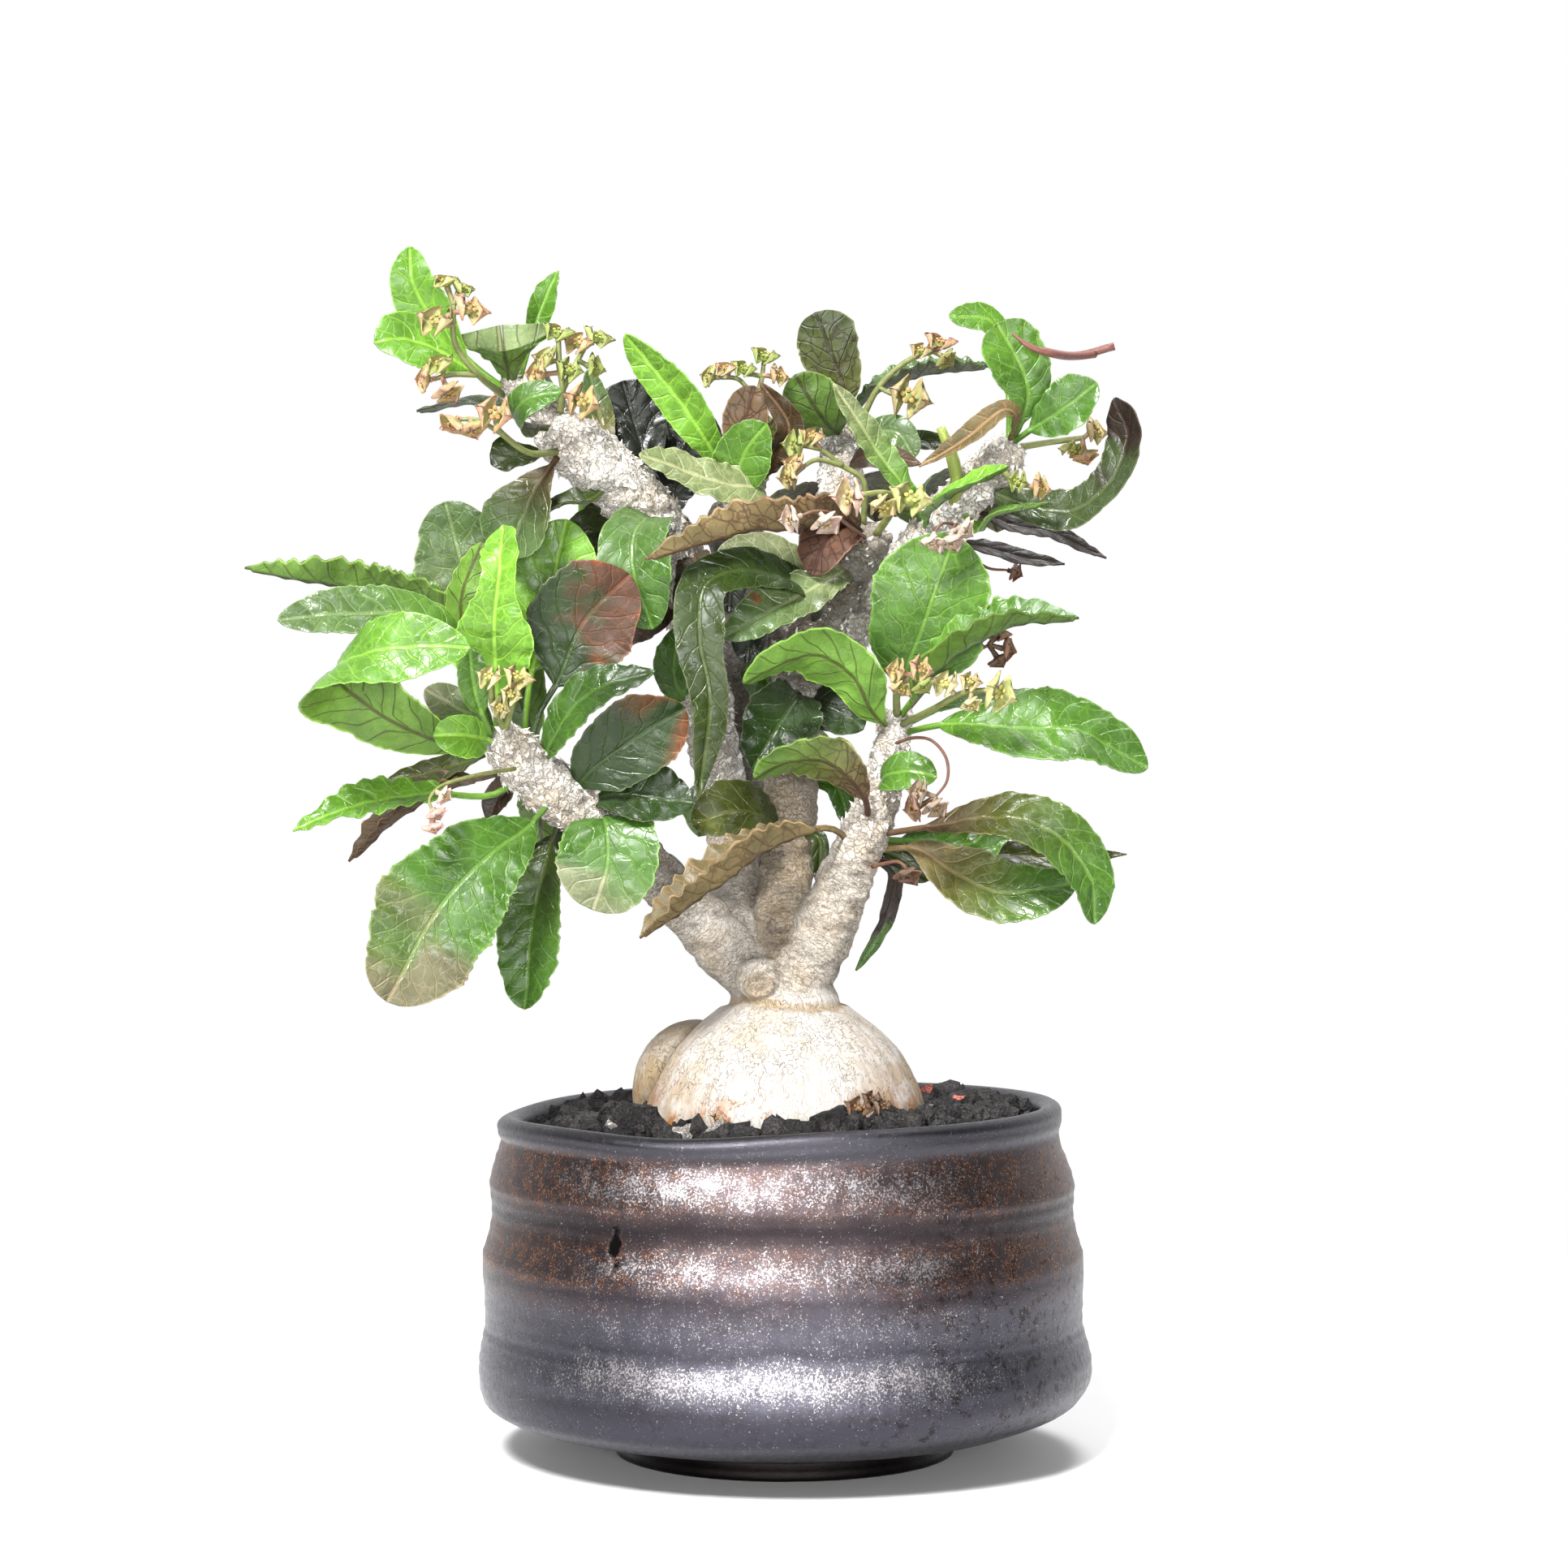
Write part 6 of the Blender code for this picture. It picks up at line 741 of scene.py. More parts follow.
class Leaf:
    """One leaf: a fleshy stalk and a folded, quilted blade with a crimped margin and a sunken midrib.

    In its methods v is the share of the blade's length and s the same in millimetres, c is the place across
    the blade, from -1 to 1, and half is half the blade's width.
    """

    def __init__(self, record, rng):
        self.name, words, width, shape, petiole, self.fold, wave, facing, held, places = record
        self.base, self.tip, *how = words.split() or [rng.choice(REAR_TONES), rng.choice(REAR_TONES)]
        self.how = how[0] if how else ""
        self.line = smooth_line(spots(places))
        whole = reaches(self.line)[-1]
        self.stem_end = petiole / whole
        self.length = whole - petiole
        self.form, wider, (start, end, twist) = FORMS.get(self.name, (SHAPES[shape], USUAL_WIDTH, (0, 1, 0)))
        self.twist = (start, end, twist + rng.uniform(-MOST_EXTRA_TWIST, MOST_EXTRA_TWIST))
        self.width = width * wider
        self.columns = 17 if self.width > 9 else 13
        fractions = [i / FRAME_STEPS for i in range(FRAME_STEPS + 1)]
        self.steps = frames(along(self.line, fractions), facing, held)
        self.phases = [rng.uniform(0, math.tau) for _ in range(6)]
        self.crimp = max(0.3, min(1.5, wave if wave > 0.65 else 0.6 * wave))
        self.pitch = rng.uniform(*CRIMP_PITCH)
        self.seed = Vector((rng.uniform(0, 50), rng.uniform(0, 50), 0))

    def rough(self, *place):
        return noise.noise(self.seed + Vector(place))

    def stations(self):
        """The fractions of the length that get a ring of points, closer together at the blade's ends."""
        rows = int(min(80, max(24, self.length / 0.6)))
        found = [self.stem_end * i / 6 for i in range(6)]
        for i in range(rows + 1):
            t = i / rows
            share = 0.6 * t + 0.4 * (1 - math.cos(math.pi * t)) / 2
            found.append(self.stem_end + (1 - self.stem_end) * share)
        return found

    def turned(self, station, v):
        """(along, across, up) with the blade's twist."""
        way, across, up = self.steps[round(station * FRAME_STEPS)]
        start, end, degrees = self.twist
        turn = math.radians(degrees) * step_smooth((v - start) / (end - start))
        cos, sin = math.cos(turn), math.sin(turn)
        return way, across * cos + up * sin, up * cos - across * sin

    def margin(self, s, c, ends):
        """(how the margin waves, how the outline drifts, the outline as a share of the width)."""
        side = 0 if c < 0 else 3
        edge = abs(c) ** 3
        wander = 1.8 * math.sin(s * 0.31 + self.phases[side + 1])
        ripple = 0.75 * math.sin(math.tau * s / self.pitch + self.phases[side] + wander)
        ripple += 1.1 * self.rough(s * 0.55, 7.0 + side, 0)
        drift = self.rough(s * 0.09, side, 0)
        notch = self.rough(s * 0.9, 11.0 + side, 0)
        outline = 1 + ends * (0.22 * drift + 0.08 * edge * notch - 0.03 * self.crimp * abs(ripple) * edge)
        return ripple, drift, outline

    def slanted(self, s, c, half):
        """How far along the blade the vein at this point leaves the midrib. The two sides take turns."""
        slant = s - VEIN_SLANT * abs(c) * half * (1 + 0.25 * abs(c))
        slant += 2.2 * self.rough(s * 0.2, c * half * 0.2, 9.0)
        return slant + (0 if c < 0 else 0.45) * VEIN_PITCH

    def colours(self, v, s, c, off, drift):
        """The colours of the upper side and the underside."""
        share = tone_share(self.how, v, c, drift, self.rough(s * 0.3, off * 0.3, 17.0))
        sore = 0.0
        if self.how in ("spots", "side"):
            cell = noise.voronoi(self.seed + Vector((s * 0.13, off * 0.13, 5.0)))[0][0]
            sore = 0.8 * step_smooth((0.22 - cell) / 0.12)
        flats = [blend(base, tip, share) for base, tip in zip(TONES[self.base], TONES[self.tip])]
        return [blend(flat, TONES["orange"][0], sore) for flat in flats]

    def ring(self, centre, station):
        """The points, colours and marks round the leaf at one station."""
        v = max(0.0, (station - self.stem_end) / (1 - self.stem_end))
        way, across, up = self.turned(station, v)
        blade = blade_half(v, self.width, self.form) if 0 < v < 1 else 0.0
        half = max(0.6 if v < 0.9 else 0.12, blade)
        lean = math.radians(self.fold) * min(1.0, v * 8)
        flesh = STALK_THICKNESS if v == 0 else BLADE_THICKNESS + 0.75 * math.exp(-v * 14)
        s = v * self.length
        ends = min(1.0, v * 5) * min(1.0, (1 - v) * 6)
        upper, lower = [], []
        for column in range(self.columns):
            c = math.sin((column / (self.columns - 1) - 0.5) * math.pi)
            off = c * half
            edge = abs(c) ** 3
            ripple, drift, outline = self.margin(s, c, ends)
            slant = self.slanted(s, c, half)
            swell = abs(math.sin(math.pi * slant / VEIN_PITCH)) - 0.6
            lift = half * math.sin(lean) * abs(c) ** 1.3
            lift += self.crimp * ripple * edge * ends * CRIMP_HEIGHT
            lift += BUCKLE_HEIGHT * self.rough(s * 0.11, off * 0.13, 3.0) * ends * min(1.0, half / 4)
            lift += QUILT_HEIGHT * swell * ends * (1 - edge * edge) * min(1.0, half / 5)
            dip = DIPS.get(self.name, 0.0) * self.length * v ** 3 * (1 - abs(c) ** 1.5)
            middle = centre + across * (half * math.cos(lean) * c * outline) + up * lift - way * dip
            thick, groove, rim = flesh * math.sqrt(max(0.0, 1 - c * c) + 0.02), 0.0, 0.0
            if blade > 1:
                thick = flesh * (1 - 0.6 * edge)
                groove = math.exp(-(off / 0.6) ** 2)
                rim = min(1.0, max(abs(c), 1 - (1 - v) * self.length / 3))
            colours = self.colours(v, s, c, off, drift)
            for store, sign, sunk in ((upper, 1, GROOVE), (lower, -1, RIDGE)):
                under = (sign < 0) != (self.name in TURNED)
                point = middle + up * (sign * (thick / 2 - sunk * groove))
                store.append((point, colours[under], (off, slant, -rim - 0.01 if under else rim)))
        return zip(*upper, *lower[::-1])


def add_leaf(sheets, record, rng):
    grown = Leaf(record, rng)
    stations = grown.stations()
    rings = [grown.ring(centre, station) for centre, station in zip(along(grown.line, stations), stations)]
    sheets.add_rings(*zip(*rings))


class Look:
    """A node material being built."""

    def __init__(self, name, **sockets):
        self.material = bpy.data.materials.new(name)
        self.material.use_nodes = True
        self.tree = self.material.node_tree
        self.shader = self.tree.nodes["Principled BSDF"]
        for socket, value in sockets.items():
            self.shader.inputs[socket.replace("_", " ")].default_value = value

    def node(self, kind, inputs, **settings):
        made = self.tree.nodes.new("ShaderNode" + kind)
        for key, value in settings.items():
            setattr(made, key, value)
        for key, value in inputs.items():
            if isinstance(value, bpy.types.NodeSocket):
                self.tree.links.new(value, made.inputs[key])
            else:
                made.inputs[key].default_value = value
        return made

    def put(self, socket, value):
        self.tree.links.new(value, self.shader.inputs[socket])

    def place(self, scale=(1, 1, 1)):
        """Object coordinates in millimetres, stretched by scale."""
        where = self.node("TexCoord", {}).outputs["Object"]
        return self.node("Mapping", {"Vector": where, "Scale": [1000 * s for s in scale]}).outputs["Vector"]

    def math(self, operation, a, b=0.0, c=0.0):
        return self.node("Math", {0: a, 1: b, 2: c}, operation=operation).outputs[0]

    def plus(self, a, b):
        return self.math("ADD", a, b)

    def minus(self, a, b):
        return self.math("SUBTRACT", a, b)

    def times(self, a, b):
        return self.math("MULTIPLY", a, b)

    def most(self, a, b):
        return self.math("MAXIMUM", a, b)

    def apart(self, a, b):
        return self.math("ABSOLUTE", self.minus(a, b))

    def split(self, vector):
        return self.node("SeparateXYZ", {0: vector}).outputs

    def noise(self, where, scale, detail=3.0, roughness=0.55):
        values = {"Vector": where, "Scale": scale, "Detail": detail, "Roughness": roughness}
        return self.node("TexNoise", values).outputs["Fac"]

    def warped(self, where, scale, detail, reach):
        """The place pushed about by a noise."""
        push = self.node("TexNoise", {"Vector": where, "Scale": scale, "Detail": detail}).outputs["Color"]
        values = {0: push, 1: (reach, reach, reach), 2: where}
        return self.node("VectorMath", values, operation="MULTIPLY_ADD").outputs[0]

    def cells(self, where, scale, feature="F1"):
        return self.node("TexVoronoi", {"Vector": where, "Scale": scale}, feature=feature).outputs["Distance"]

    def net(self, where, scale, width):
        """1 on the lines between cells."""
        return self.ease(self.cells(where, scale, "DISTANCE_TO_EDGE"), 0.0, width, 1.0, 0.0)

    def ease(self, value, low, high, start=0.0, end=1.0):
        values = {"Value": value, "From Min": low, "From Max": high, "To Min": start, "To Max": end}
        return self.node("MapRange", values, interpolation_type="SMOOTHSTEP").outputs["Result"]

    def mix(self, share, a, b, blend_type="MIX"):
        made = self.node("Mix", {}, data_type="RGBA", blend_type=blend_type, clamp_factor=True)
        for index, value in ((0, share), (6, a), (7, b)):
            if isinstance(value, bpy.types.NodeSocket):
                self.tree.links.new(value, made.inputs[index])
            else:
                made.inputs[index].default_value = value if index == 0 else (*value, 1.0)
        return made.outputs[2]

    def gain(self, colour, gains, share=1.0):
        """The colour times the gains, where share is 1."""
        return self.mix(share, colour, gains, "MULTIPLY")

    def mix_value(self, share, a, b):
        """The number a where share is 0, and b where it is 1."""
        return self.node("Mix", {0: share, 2: a, 3: b}, data_type="FLOAT").outputs[0]

    def attribute(self, name, output):
        return self.node("Attribute", {}, attribute_name=name).outputs[output]

    def bump(self, height, distance, strength):
        values = {"Height": height, "Distance": distance * MM, "Strength": strength}
        self.put("Normal", self.node("Bump", values).outputs["Normal"])


LEAF_DUST = (0.22, 0.235, 0.19)
LEAF_RIM = (0.26, 0.24, 0.16)
PALE_VEIN_GAIN = (2.3, 1.85, 2.3)
DARK_VEIN_GAIN = (0.28, 0.11, 0.13)
RIM_GAIN = (2.8, 2.4, 2.8)
MOTTLE_GAIN = (0.46, 0.50, 0.42)


def leaf_look():
    """Veins, pale margin and dust. The mark is (across, along the veins, rim), with rim negative below."""
    look = Look("leaf", Roughness=0.4, Specular_IOR_Level=0.38)
    where = look.place()
    tone = look.attribute("tone", "Color")
    across, slant, rim = look.split(look.attribute("mark", "Vector"))
    under = look.math("LESS_THAN", rim, 0.0)
    edge = look.math("ABSOLUTE", rim)
    red, green, _ = look.node("SeparateColor", {0: tone}).outputs
    rib = look.ease(look.math("ABSOLUTE", across), 0.15, 0.62, 1.0, 0.0)
    vein = look.ease(look.math("PINGPONG", slant, VEIN_PITCH / 2), 0.0, 0.38, 1.0, 0.0)
    vein = look.times(vein, look.ease(edge, 0.85, 1.0, 1.0, 0.4))
    net = look.net(look.warped(where, 0.5, 2.0, 2.2), 0.34, 0.10)
    netted = look.mix_value(under, 0.45, look.ease(green, 0.08, 0.24, 1.0, 0.16))
    lines = look.most(look.most(look.times(vein, 0.85), rib), look.times(net, netted))
    lines = look.most(lines, look.times(look.net(where, 1.1, 0.11), 0.22))
    mottle = look.ease(look.noise(where, 0.16, 5.0, 0.6), 0.32, 0.68)
    colour = look.gain(tone, MOTTLE_GAIN, look.times(mottle, 0.8))
    line_colour = look.mix(under, look.gain(tone, PALE_VEIN_GAIN), look.gain(tone, DARK_VEIN_GAIN))
    colour = look.mix(look.times(lines, look.math("MULTIPLY_ADD", under, 0.2, 0.62)), colour, line_colour)
    margin = look.times(look.ease(edge, 0.93, 1.0), look.ease(look.noise(where, 0.5), 0.35, 0.6, 0.35, 1.0))
    rim_colour = look.mix(0.22, look.gain(tone, RIM_GAIN), LEAF_RIM)
    colour = look.mix(look.times(margin, 0.85), colour, rim_colour)
    speck = look.ease(look.cells(where, 0.30), 0.04, 0.08, 1.0, 0.0)
    speck = look.times(speck, look.ease(look.noise(where, 0.11), 0.45, 0.55))
    dust = look.ease(look.noise(where, 0.9, 6.0, 0.75), 0.57, 0.80, 0.0, 0.35)
    dust = look.most(look.times(dust, look.ease(mottle, 0.2, 0.9)), look.times(speck, 0.75))
    dust = look.times(dust, look.ease(green, 0.0, 0.07, 0.3, 1.0))
    look.put("Base Color", look.mix(dust, colour, LEAF_DUST))
    relief = look.plus(look.most(look.times(vein, 0.8), rib), look.times(net, 0.28))
    look.bump(look.minus(look.times(look.noise(where, 1.7), 0.16), relief), 0.17, 0.8)
    gloss = look.plus(look.times(dust, 0.9), look.times(under, 0.14))
    gloss = look.plus(gloss, look.ease(look.noise(where, 0.20, 4.0), 0.36, 0.64, 0.22, 0.46))
    warm = look.ease(look.minus(red, green), 0.0, 0.007, 0.0, 0.2)
    look.put("Roughness", look.plus(gloss, warm))
    return look.material


PALE_SKIN, SAND_SKIN, TAN_SKIN = (0.41, 0.38, 0.35), (0.33, 0.28, 0.215), (0.28, 0.20, 0.115)
WRINKLE, STAIN = (0.20, 0.14, 0.085), (0.27, 0.115, 0.035)
PALE_BARK, SAND_BARK, WHITE_BARK = (0.78, 0.745, 0.69), (0.62, 0.54, 0.44), (0.86, 0.84, 0.81)
# Gain that darkens the lower bark.
LOW_BARK_GAIN = (0.76, 0.735, 0.70)
# The last of these colours is painted shade.
CRACK, TAN_BARK, SHADE_TONE = (0.17, 0.115, 0.07), (0.24, 0.165, 0.075), (0.028, 0.018, 0.011)
NEW_FLAKE, OLD_FLAKE = (0.88, 0.85, 0.80), (0.50, 0.39, 0.28)


def skin_look():
    """The pale caudex, and flaky bark above the neck. The tint is (tan, painted shade, place along the limb).
    """
    look = Look("bark", Roughness=0.7)
    where = look.place()
    across_mm, _, height_mm = look.split(where)
    tan, painted_shade, along_mm = look.split(look.attribute("tint", "Vector"))
    bent = look.warped(where, 0.35, 3.0, 3.0)
    upright = look.node("Mapping", {"Vector": bent, "Scale": (1.0, 1.0, 0.22)}).outputs["Vector"]
    wrinkle = look.ease(look.apart(look.noise(upright, 1.0, 2.0, 0.5), 0.5), 0.0, 0.030, 1.0, 0.0)
    wrinkle = look.times(wrinkle, look.ease(look.noise(where, 0.15, 4.0), 0.36, 0.60, 0.2, 1.0))
    body = look.mix(look.ease(look.noise(where, 0.08), 0.45, 0.75), PALE_SKIN, SAND_SKIN)
    flank = look.ease(look.apart(across_mm, AXIS_X), 9.0, 25.0)
    flank = look.times(flank, look.ease(look.noise(where, 0.13, 5.0, 0.65), 0.38, 0.55))
    body = look.mix(look.times(flank, 0.8), body, TAN_SKIN)
    body = look.mix(look.times(wrinkle, 0.15), body, WRINKLE)
    stain = look.ease(look.noise(where, 0.15, 5.0, 0.65), 0.44, 0.58)
    body = look.mix(look.times(look.ease(height_mm, 66.0, 76.0, 1.0, 0.0), stain), body, STAIN)
    fine = look.noise(where, 1.8, 6.0, 0.75)
    patch = look.noise(where, 0.13, 4.0)
    values = {"Vector": look.place((0.3, 0.3, 0.3)), "W": along_mm}
    values.update({"Scale": 0.8, "Detail": 5.0, "Roughness": 0.65})
    rings = look.node("TexNoise", values, noise_dimensions="4D").outputs["Fac"]
    plates = look.times(look.net(bent, 0.70, 0.07), look.ease(height_mm, 104.0, 132.0, 0.4, 0.8))
    ringed = look.ease(look.apart(rings, 0.5), 0.0, 0.018, 0.7, 0.0)
    crack = look.most(look.ease(rings, 0.60, 0.70), look.most(plates, ringed))
    bark = look.mix(look.ease(patch, 0.42, 0.68), PALE_BARK, SAND_BARK)
    bark = look.mix(look.ease(fine, 0.50, 0.64, 0.0, 0.7), bark, WHITE_BARK)
    # Below about 118 to 138 mm the bark is darker and its cracks are stronger.
    high_bark = look.ease(height_mm, 118.0, 138.0)
    bark = look.mix(high_bark, look.gain(bark, LOW_BARK_GAIN), bark)
    bark = look.mix(look.times(crack, look.mix_value(high_bark, 0.85, 0.68)), bark, CRACK)
    neck = look.ease(look.plus(height_mm, look.times(patch, 8.0)), 92.0, 99.0)
    colour = look.mix(neck, body, bark)
    colour = look.mix(look.times(tan, look.ease(fine, 0.35, 0.65, 1.0, 0.6)), colour, TAN_BARK)
    # Painted shade: the crease round the lobe, the rear limb, the dips of the bark and its stretch inside the
    # crown are darkened.
    look.put("Base Color", look.mix(painted_shade, colour, SHADE_TONE))
    relief = look.times(look.minus(look.times(fine, 1.1), crack), neck)
    folds = look.times(wrinkle, look.minus(1.0, neck))
    look.bump(look.minus(relief, look.times(folds, 0.55)), 0.6, 0.9)
    return look.material


def flake_look():
    look = Look("flakes", Roughness=0.75)
    where = look.place()
    old = look.ease(look.noise(where, 0.6, 4.0), 0.48, 0.66)
    look.put("Base Color", look.mix(old, NEW_FLAKE, OLD_FLAKE))
    look.bump(look.noise(where, 2.5, 4.0, 0.7), 0.2, 0.8)
    return look.material


# Height and half width, in millimetres, and strength of the bands where the glaze broke to silver. They lie
# where the highlights fall on the ribs, so they are partly painted highlight.
SILVER_HIGHLIGHT_BANDS = ((57.5, 6.0, 1.0), (42.5, 5.5, 0.92), (32.0, 6.0, 0.55), (22.5, 5.0, 1.0))
# The gouge in the wall is round in coordinates stretched like this.
GOUGE = (AXIS_X - 31.4, AXIS_Y - 49.0, 46.5)
GOUGE_STRETCH = (1.0, 0.4, 0.45)
# Colours of the glaze; the one for the foot is painted shade.
GLAZE = {
    "low wall": (0.067, 0.066, 0.083), "high wall": (0.060, 0.045, 0.047), "rim": (0.060, 0.058, 0.068),
    "rust": (0.11, 0.05, 0.032), "spark": (0.50, 0.24, 0.13), "blotch": (0.022, 0.017, 0.017),
    "valley shade": (0.024, 0.020, 0.023), "silver": (0.54, 0.505, 0.51), "painted_sheen": (0.23, 0.22, 0.23),
    "gouge": (0.006, 0.005, 0.005), "foot": (0.012, 0.010, 0.010),
}


def glaze_crests(look, where, height_mm):
    """How strongly the glaze broke to silver at this height: partly the glaze's own silver, partly painted
    highlight.
    """
    wavering = look.plus(height_mm, look.times(look.minus(look.noise(where, 0.12, 4.0), 0.5), 5.0))
    crests = 0.0
    for crest, half, strength in SILVER_HIGHLIGHT_BANDS:
        band = look.ease(look.apart(wavering, crest), 0.0, half * 1.5, strength, 0.0)
        crests = look.most(crests, band)
    return crests


def glaze_rust(look, height_mm, off_centre, tinged, mottle):
    """Rust on the upper ribs, more of it away from the middle of the front."""
    high = look.times(look.ease(height_mm, 33.0, 38.0), look.ease(height_mm, 61.0, 64.0, 1.0, 0.0))
    rust = look.times(high, look.ease(off_centre, 8.0, 34.0, 0.25, 1.0))
    rust = look.times(rust, look.ease(tinged, 0.35, 1.1))
    return look.times(rust, look.ease(mottle, 0.44, 0.60))


def glaze_silver(look, where, height_mm, off_centre, crests):
    """How much silver can show, before it breaks into flecks. It is strongest at the front and fades to the
    sides, as a painted highlight.
    """
    silver_highlight = look.times(crests, look.ease(off_centre, 26.0, 52.0, 1.0, 0.25))
    silver_highlight = look.times(silver_highlight, look.ease(height_mm, 62.0, 64.5, 1.0, 0.0))
    breaks = look.ease(look.noise(where, 0.22, 5.0, 0.7), 0.36, 0.62, 0.66, 1.0)
    return look.times(silver_highlight, look.most(breaks, look.ease(height_mm, 27.0, 33.0, 0.95, 0.0)))


def glaze_look():
    """Dark metallic glaze: silver flecks and rust on the crests of the ribs, blotches, and one gouge, with a
    painted highlight and sheen on the crests at the front, and painted shade in the valleys and on the foot.
    """
    look = Look("glaze", Metallic=1.0, Roughness=0.35)
    where = look.place()
    across_mm, _, height_mm = look.split(where)
    streak = look.noise(look.place((1.0, 1.0, 0.45)), 0.30, 6.0, 0.72)
    grain = look.noise(where, 2.4, 3.0, 0.85)
    broad = look.noise(look.place((1.0, 1.0, 0.6)), 0.05)
    mottle = look.noise(where, 0.45, 6.0, 0.75)
    off_centre = look.apart(across_mm, AXIS_X - 3)
    crests = glaze_crests(look, where, height_mm)
    upper = look.ease(look.plus(height_mm, look.times(broad, 14.0)), 34.0, 54.0)
    colour = look.mix(upper, GLAZE["low wall"], GLAZE["high wall"])
    colour = look.mix(look.ease(height_mm, 61.0, 64.0), colour, GLAZE["rim"])
    rust = glaze_rust(look, height_mm, off_centre, look.plus(crests, look.times(broad, 0.6)), mottle)
    colour = look.mix(look.times(rust, 0.85), colour, GLAZE["rust"])
    colour = look.mix(look.times(rust, look.ease(grain, 0.50, 0.60)), colour, GLAZE["spark"])
    right = look.ease(across_mm, AXIS_X + 4.0, AXIS_X + 30.0, 0.25, 0.9)
    blotch = look.times(look.ease(mottle, 0.53, 0.60), right)
    blotch = look.times(blotch, look.ease(height_mm, 60.0, 64.0, 1.0, 0.2))
    colour = look.mix(blotch, colour, GLAZE["blotch"])
    # Painted shade in the valleys between the ribs, away from the silver crests.
    valley_shade = look.minus(1.0, look.ease(crests, 0.0, 0.6))
    valley_shade = look.times(valley_shade, look.ease(height_mm, 59.0, 63.0, 0.75, 0.1))
    valley_shade = look.times(valley_shade, look.ease(height_mm, 12.0, 20.0, 0.35, 1.0))
    colour = look.mix(valley_shade, colour, GLAZE["valley shade"])
    silver_highlight = glaze_silver(look, where, height_mm, off_centre, crests)
    sparse = look.math("MULTIPLY_ADD", look.math("POWER", silver_highlight, 1.5), -0.175, 0.77)
    fleck = look.minus(look.math("MULTIPLY_ADD", streak, 0.25, grain), sparse)
    # Silver flecks, denser at the front of the crests as a painted highlight.
    colour = look.mix(look.ease(fleck, 0.0, 0.07, 0.0, 0.85), colour, GLAZE["silver"])
    # A painted sheen of highlight where the silver shows most.
    painted_sheen = look.times(look.math("POWER", silver_highlight, 2.0), look.ease(streak, 0.35, 0.6, 0.05, 0.35))
    colour = look.mix(painted_sheen, colour, GLAZE["painted_sheen"])
    values = {0: look.place(GOUGE_STRETCH), 1: [GOUGE[k] * GOUGE_STRETCH[k] for k in range(3)]}
    gouge = look.node("VectorMath", values, operation="DISTANCE").outputs["Value"]
    gouge = look.ease(look.plus(gouge, look.times(mottle, 4.0)), 3.0, 3.7, 1.0, 0.0)
    colour = look.mix(gouge, colour, GLAZE["gouge"])
    # The foot is painted near black, as shade under the pot.
    look.put("Base Color", look.mix(look.ease(height_mm, 4.5, 7.0, 1.0, 0.0), colour, GLAZE["foot"]))
    rough = look.ease(look.noise(where, 0.9, 5.0, 0.7), 0.3, 0.7, 0.27, 0.42)
    look.put("Roughness", look.plus(rough, look.times(gouge, 0.5)))
    look.bump(look.minus(look.plus(grain, streak), look.times(gouge, 5.0)), 0.16, 0.6)
    return look.material


# The first gain brightens patches of the chips: partly the lava's grey facets, partly painted highlight.
FACET_AND_GLINT_GAIN, BROWN_STONE = (5.0, 4.6, 4.4), (0.07, 0.045, 0.03)
WORN_GAIN = (0.62, 0.50, 0.40)


def grit_look():
    look = Look("grit", Roughness=0.8, Specular_IOR_Level=0.25)
    where = look.place()
    rough = look.noise(where, 2.2, 4.0, 0.7)
    # Pale patches on the chips, partly grey facets and partly painted highlight.
    colour = look.gain(look.attribute("tone", "Color"), FACET_AND_GLINT_GAIN, look.ease(rough, 0.42, 0.72))
    brown = look.ease(look.noise(where, 0.5), 0.58, 0.7, 0.0, 0.3)
    look.put("Base Color", look.mix(brown, colour, BROWN_STONE))
    look.bump(look.plus(look.cells(where, 1.6), rough), 0.5, 0.9)
    return look.material


def bloom_look(name):
    look = Look(name, Roughness=0.55, Subsurface_Weight=0.15, Subsurface_Scale=0.0015)
    where = look.place()
    worn = look.ease(look.noise(where, 0.7, 4.0, 0.6), 0.35, 0.7, 0.0, 0.6)
    look.put("Base Color", look.gain(look.attribute("tone", "Color"), WORN_GAIN, worn))
    look.bump(look.noise(where, 2.0), 0.15, 0.6)
    return look.material


def around(radius, angle, height):
    """The point at this radius and angle from the pot's axis."""
    return Vector((radius * math.cos(angle) + AXIS_X, radius * math.sin(angle) + AXIS_Y, height))


def bump_at(angle, centre, width):
    """1 at the centre and falling away on both sides, by angles in degrees."""
    away = math.remainder(math.degrees(angle) - centre, 360)
    return math.exp(-((away / width) ** 2))


def uneven(angle, radius, height):
    """How far the hand-thrown pot's wall stands out from a true circle."""
    upper = min(1.0, max(0.0, (height - 20) / 45))
    low = min(1.0, max(0.0, (15 - height) / 6)) * min(1.0, max(0.0, (radius - 46) / 6))
    undercut = 2.4 * low * max(0.0, math.cos(angle + 0.35))
    swell = 0.9 * bump_at(angle, -52, 26) - math.cos(angle)
    return 0.35 * math.cos(2 * angle + 0.7) + upper * swell - undercut


def rim_rise(angle):
    """How far the rim stands above its average height."""
    return 0.75 + 1.05 * math.cos(angle) - 1.1 * bump_at(angle, -112, 20) - bump_at(angle, 172, 22)


def thrown(radius, height, angle, rises=True):
    """The point of the pot's wall at this radius, height and angle, as the potter's hand left it."""
    near_rim = min(1.0, max(0.0, (height - 59) / 7))
    if radius >= 36:
        radius += uneven(angle, radius, height)
        height += rim_rise(angle) * near_rim * near_rim * (3 - 2 * near_rim) if rises else 0
    return around(radius, angle, height)


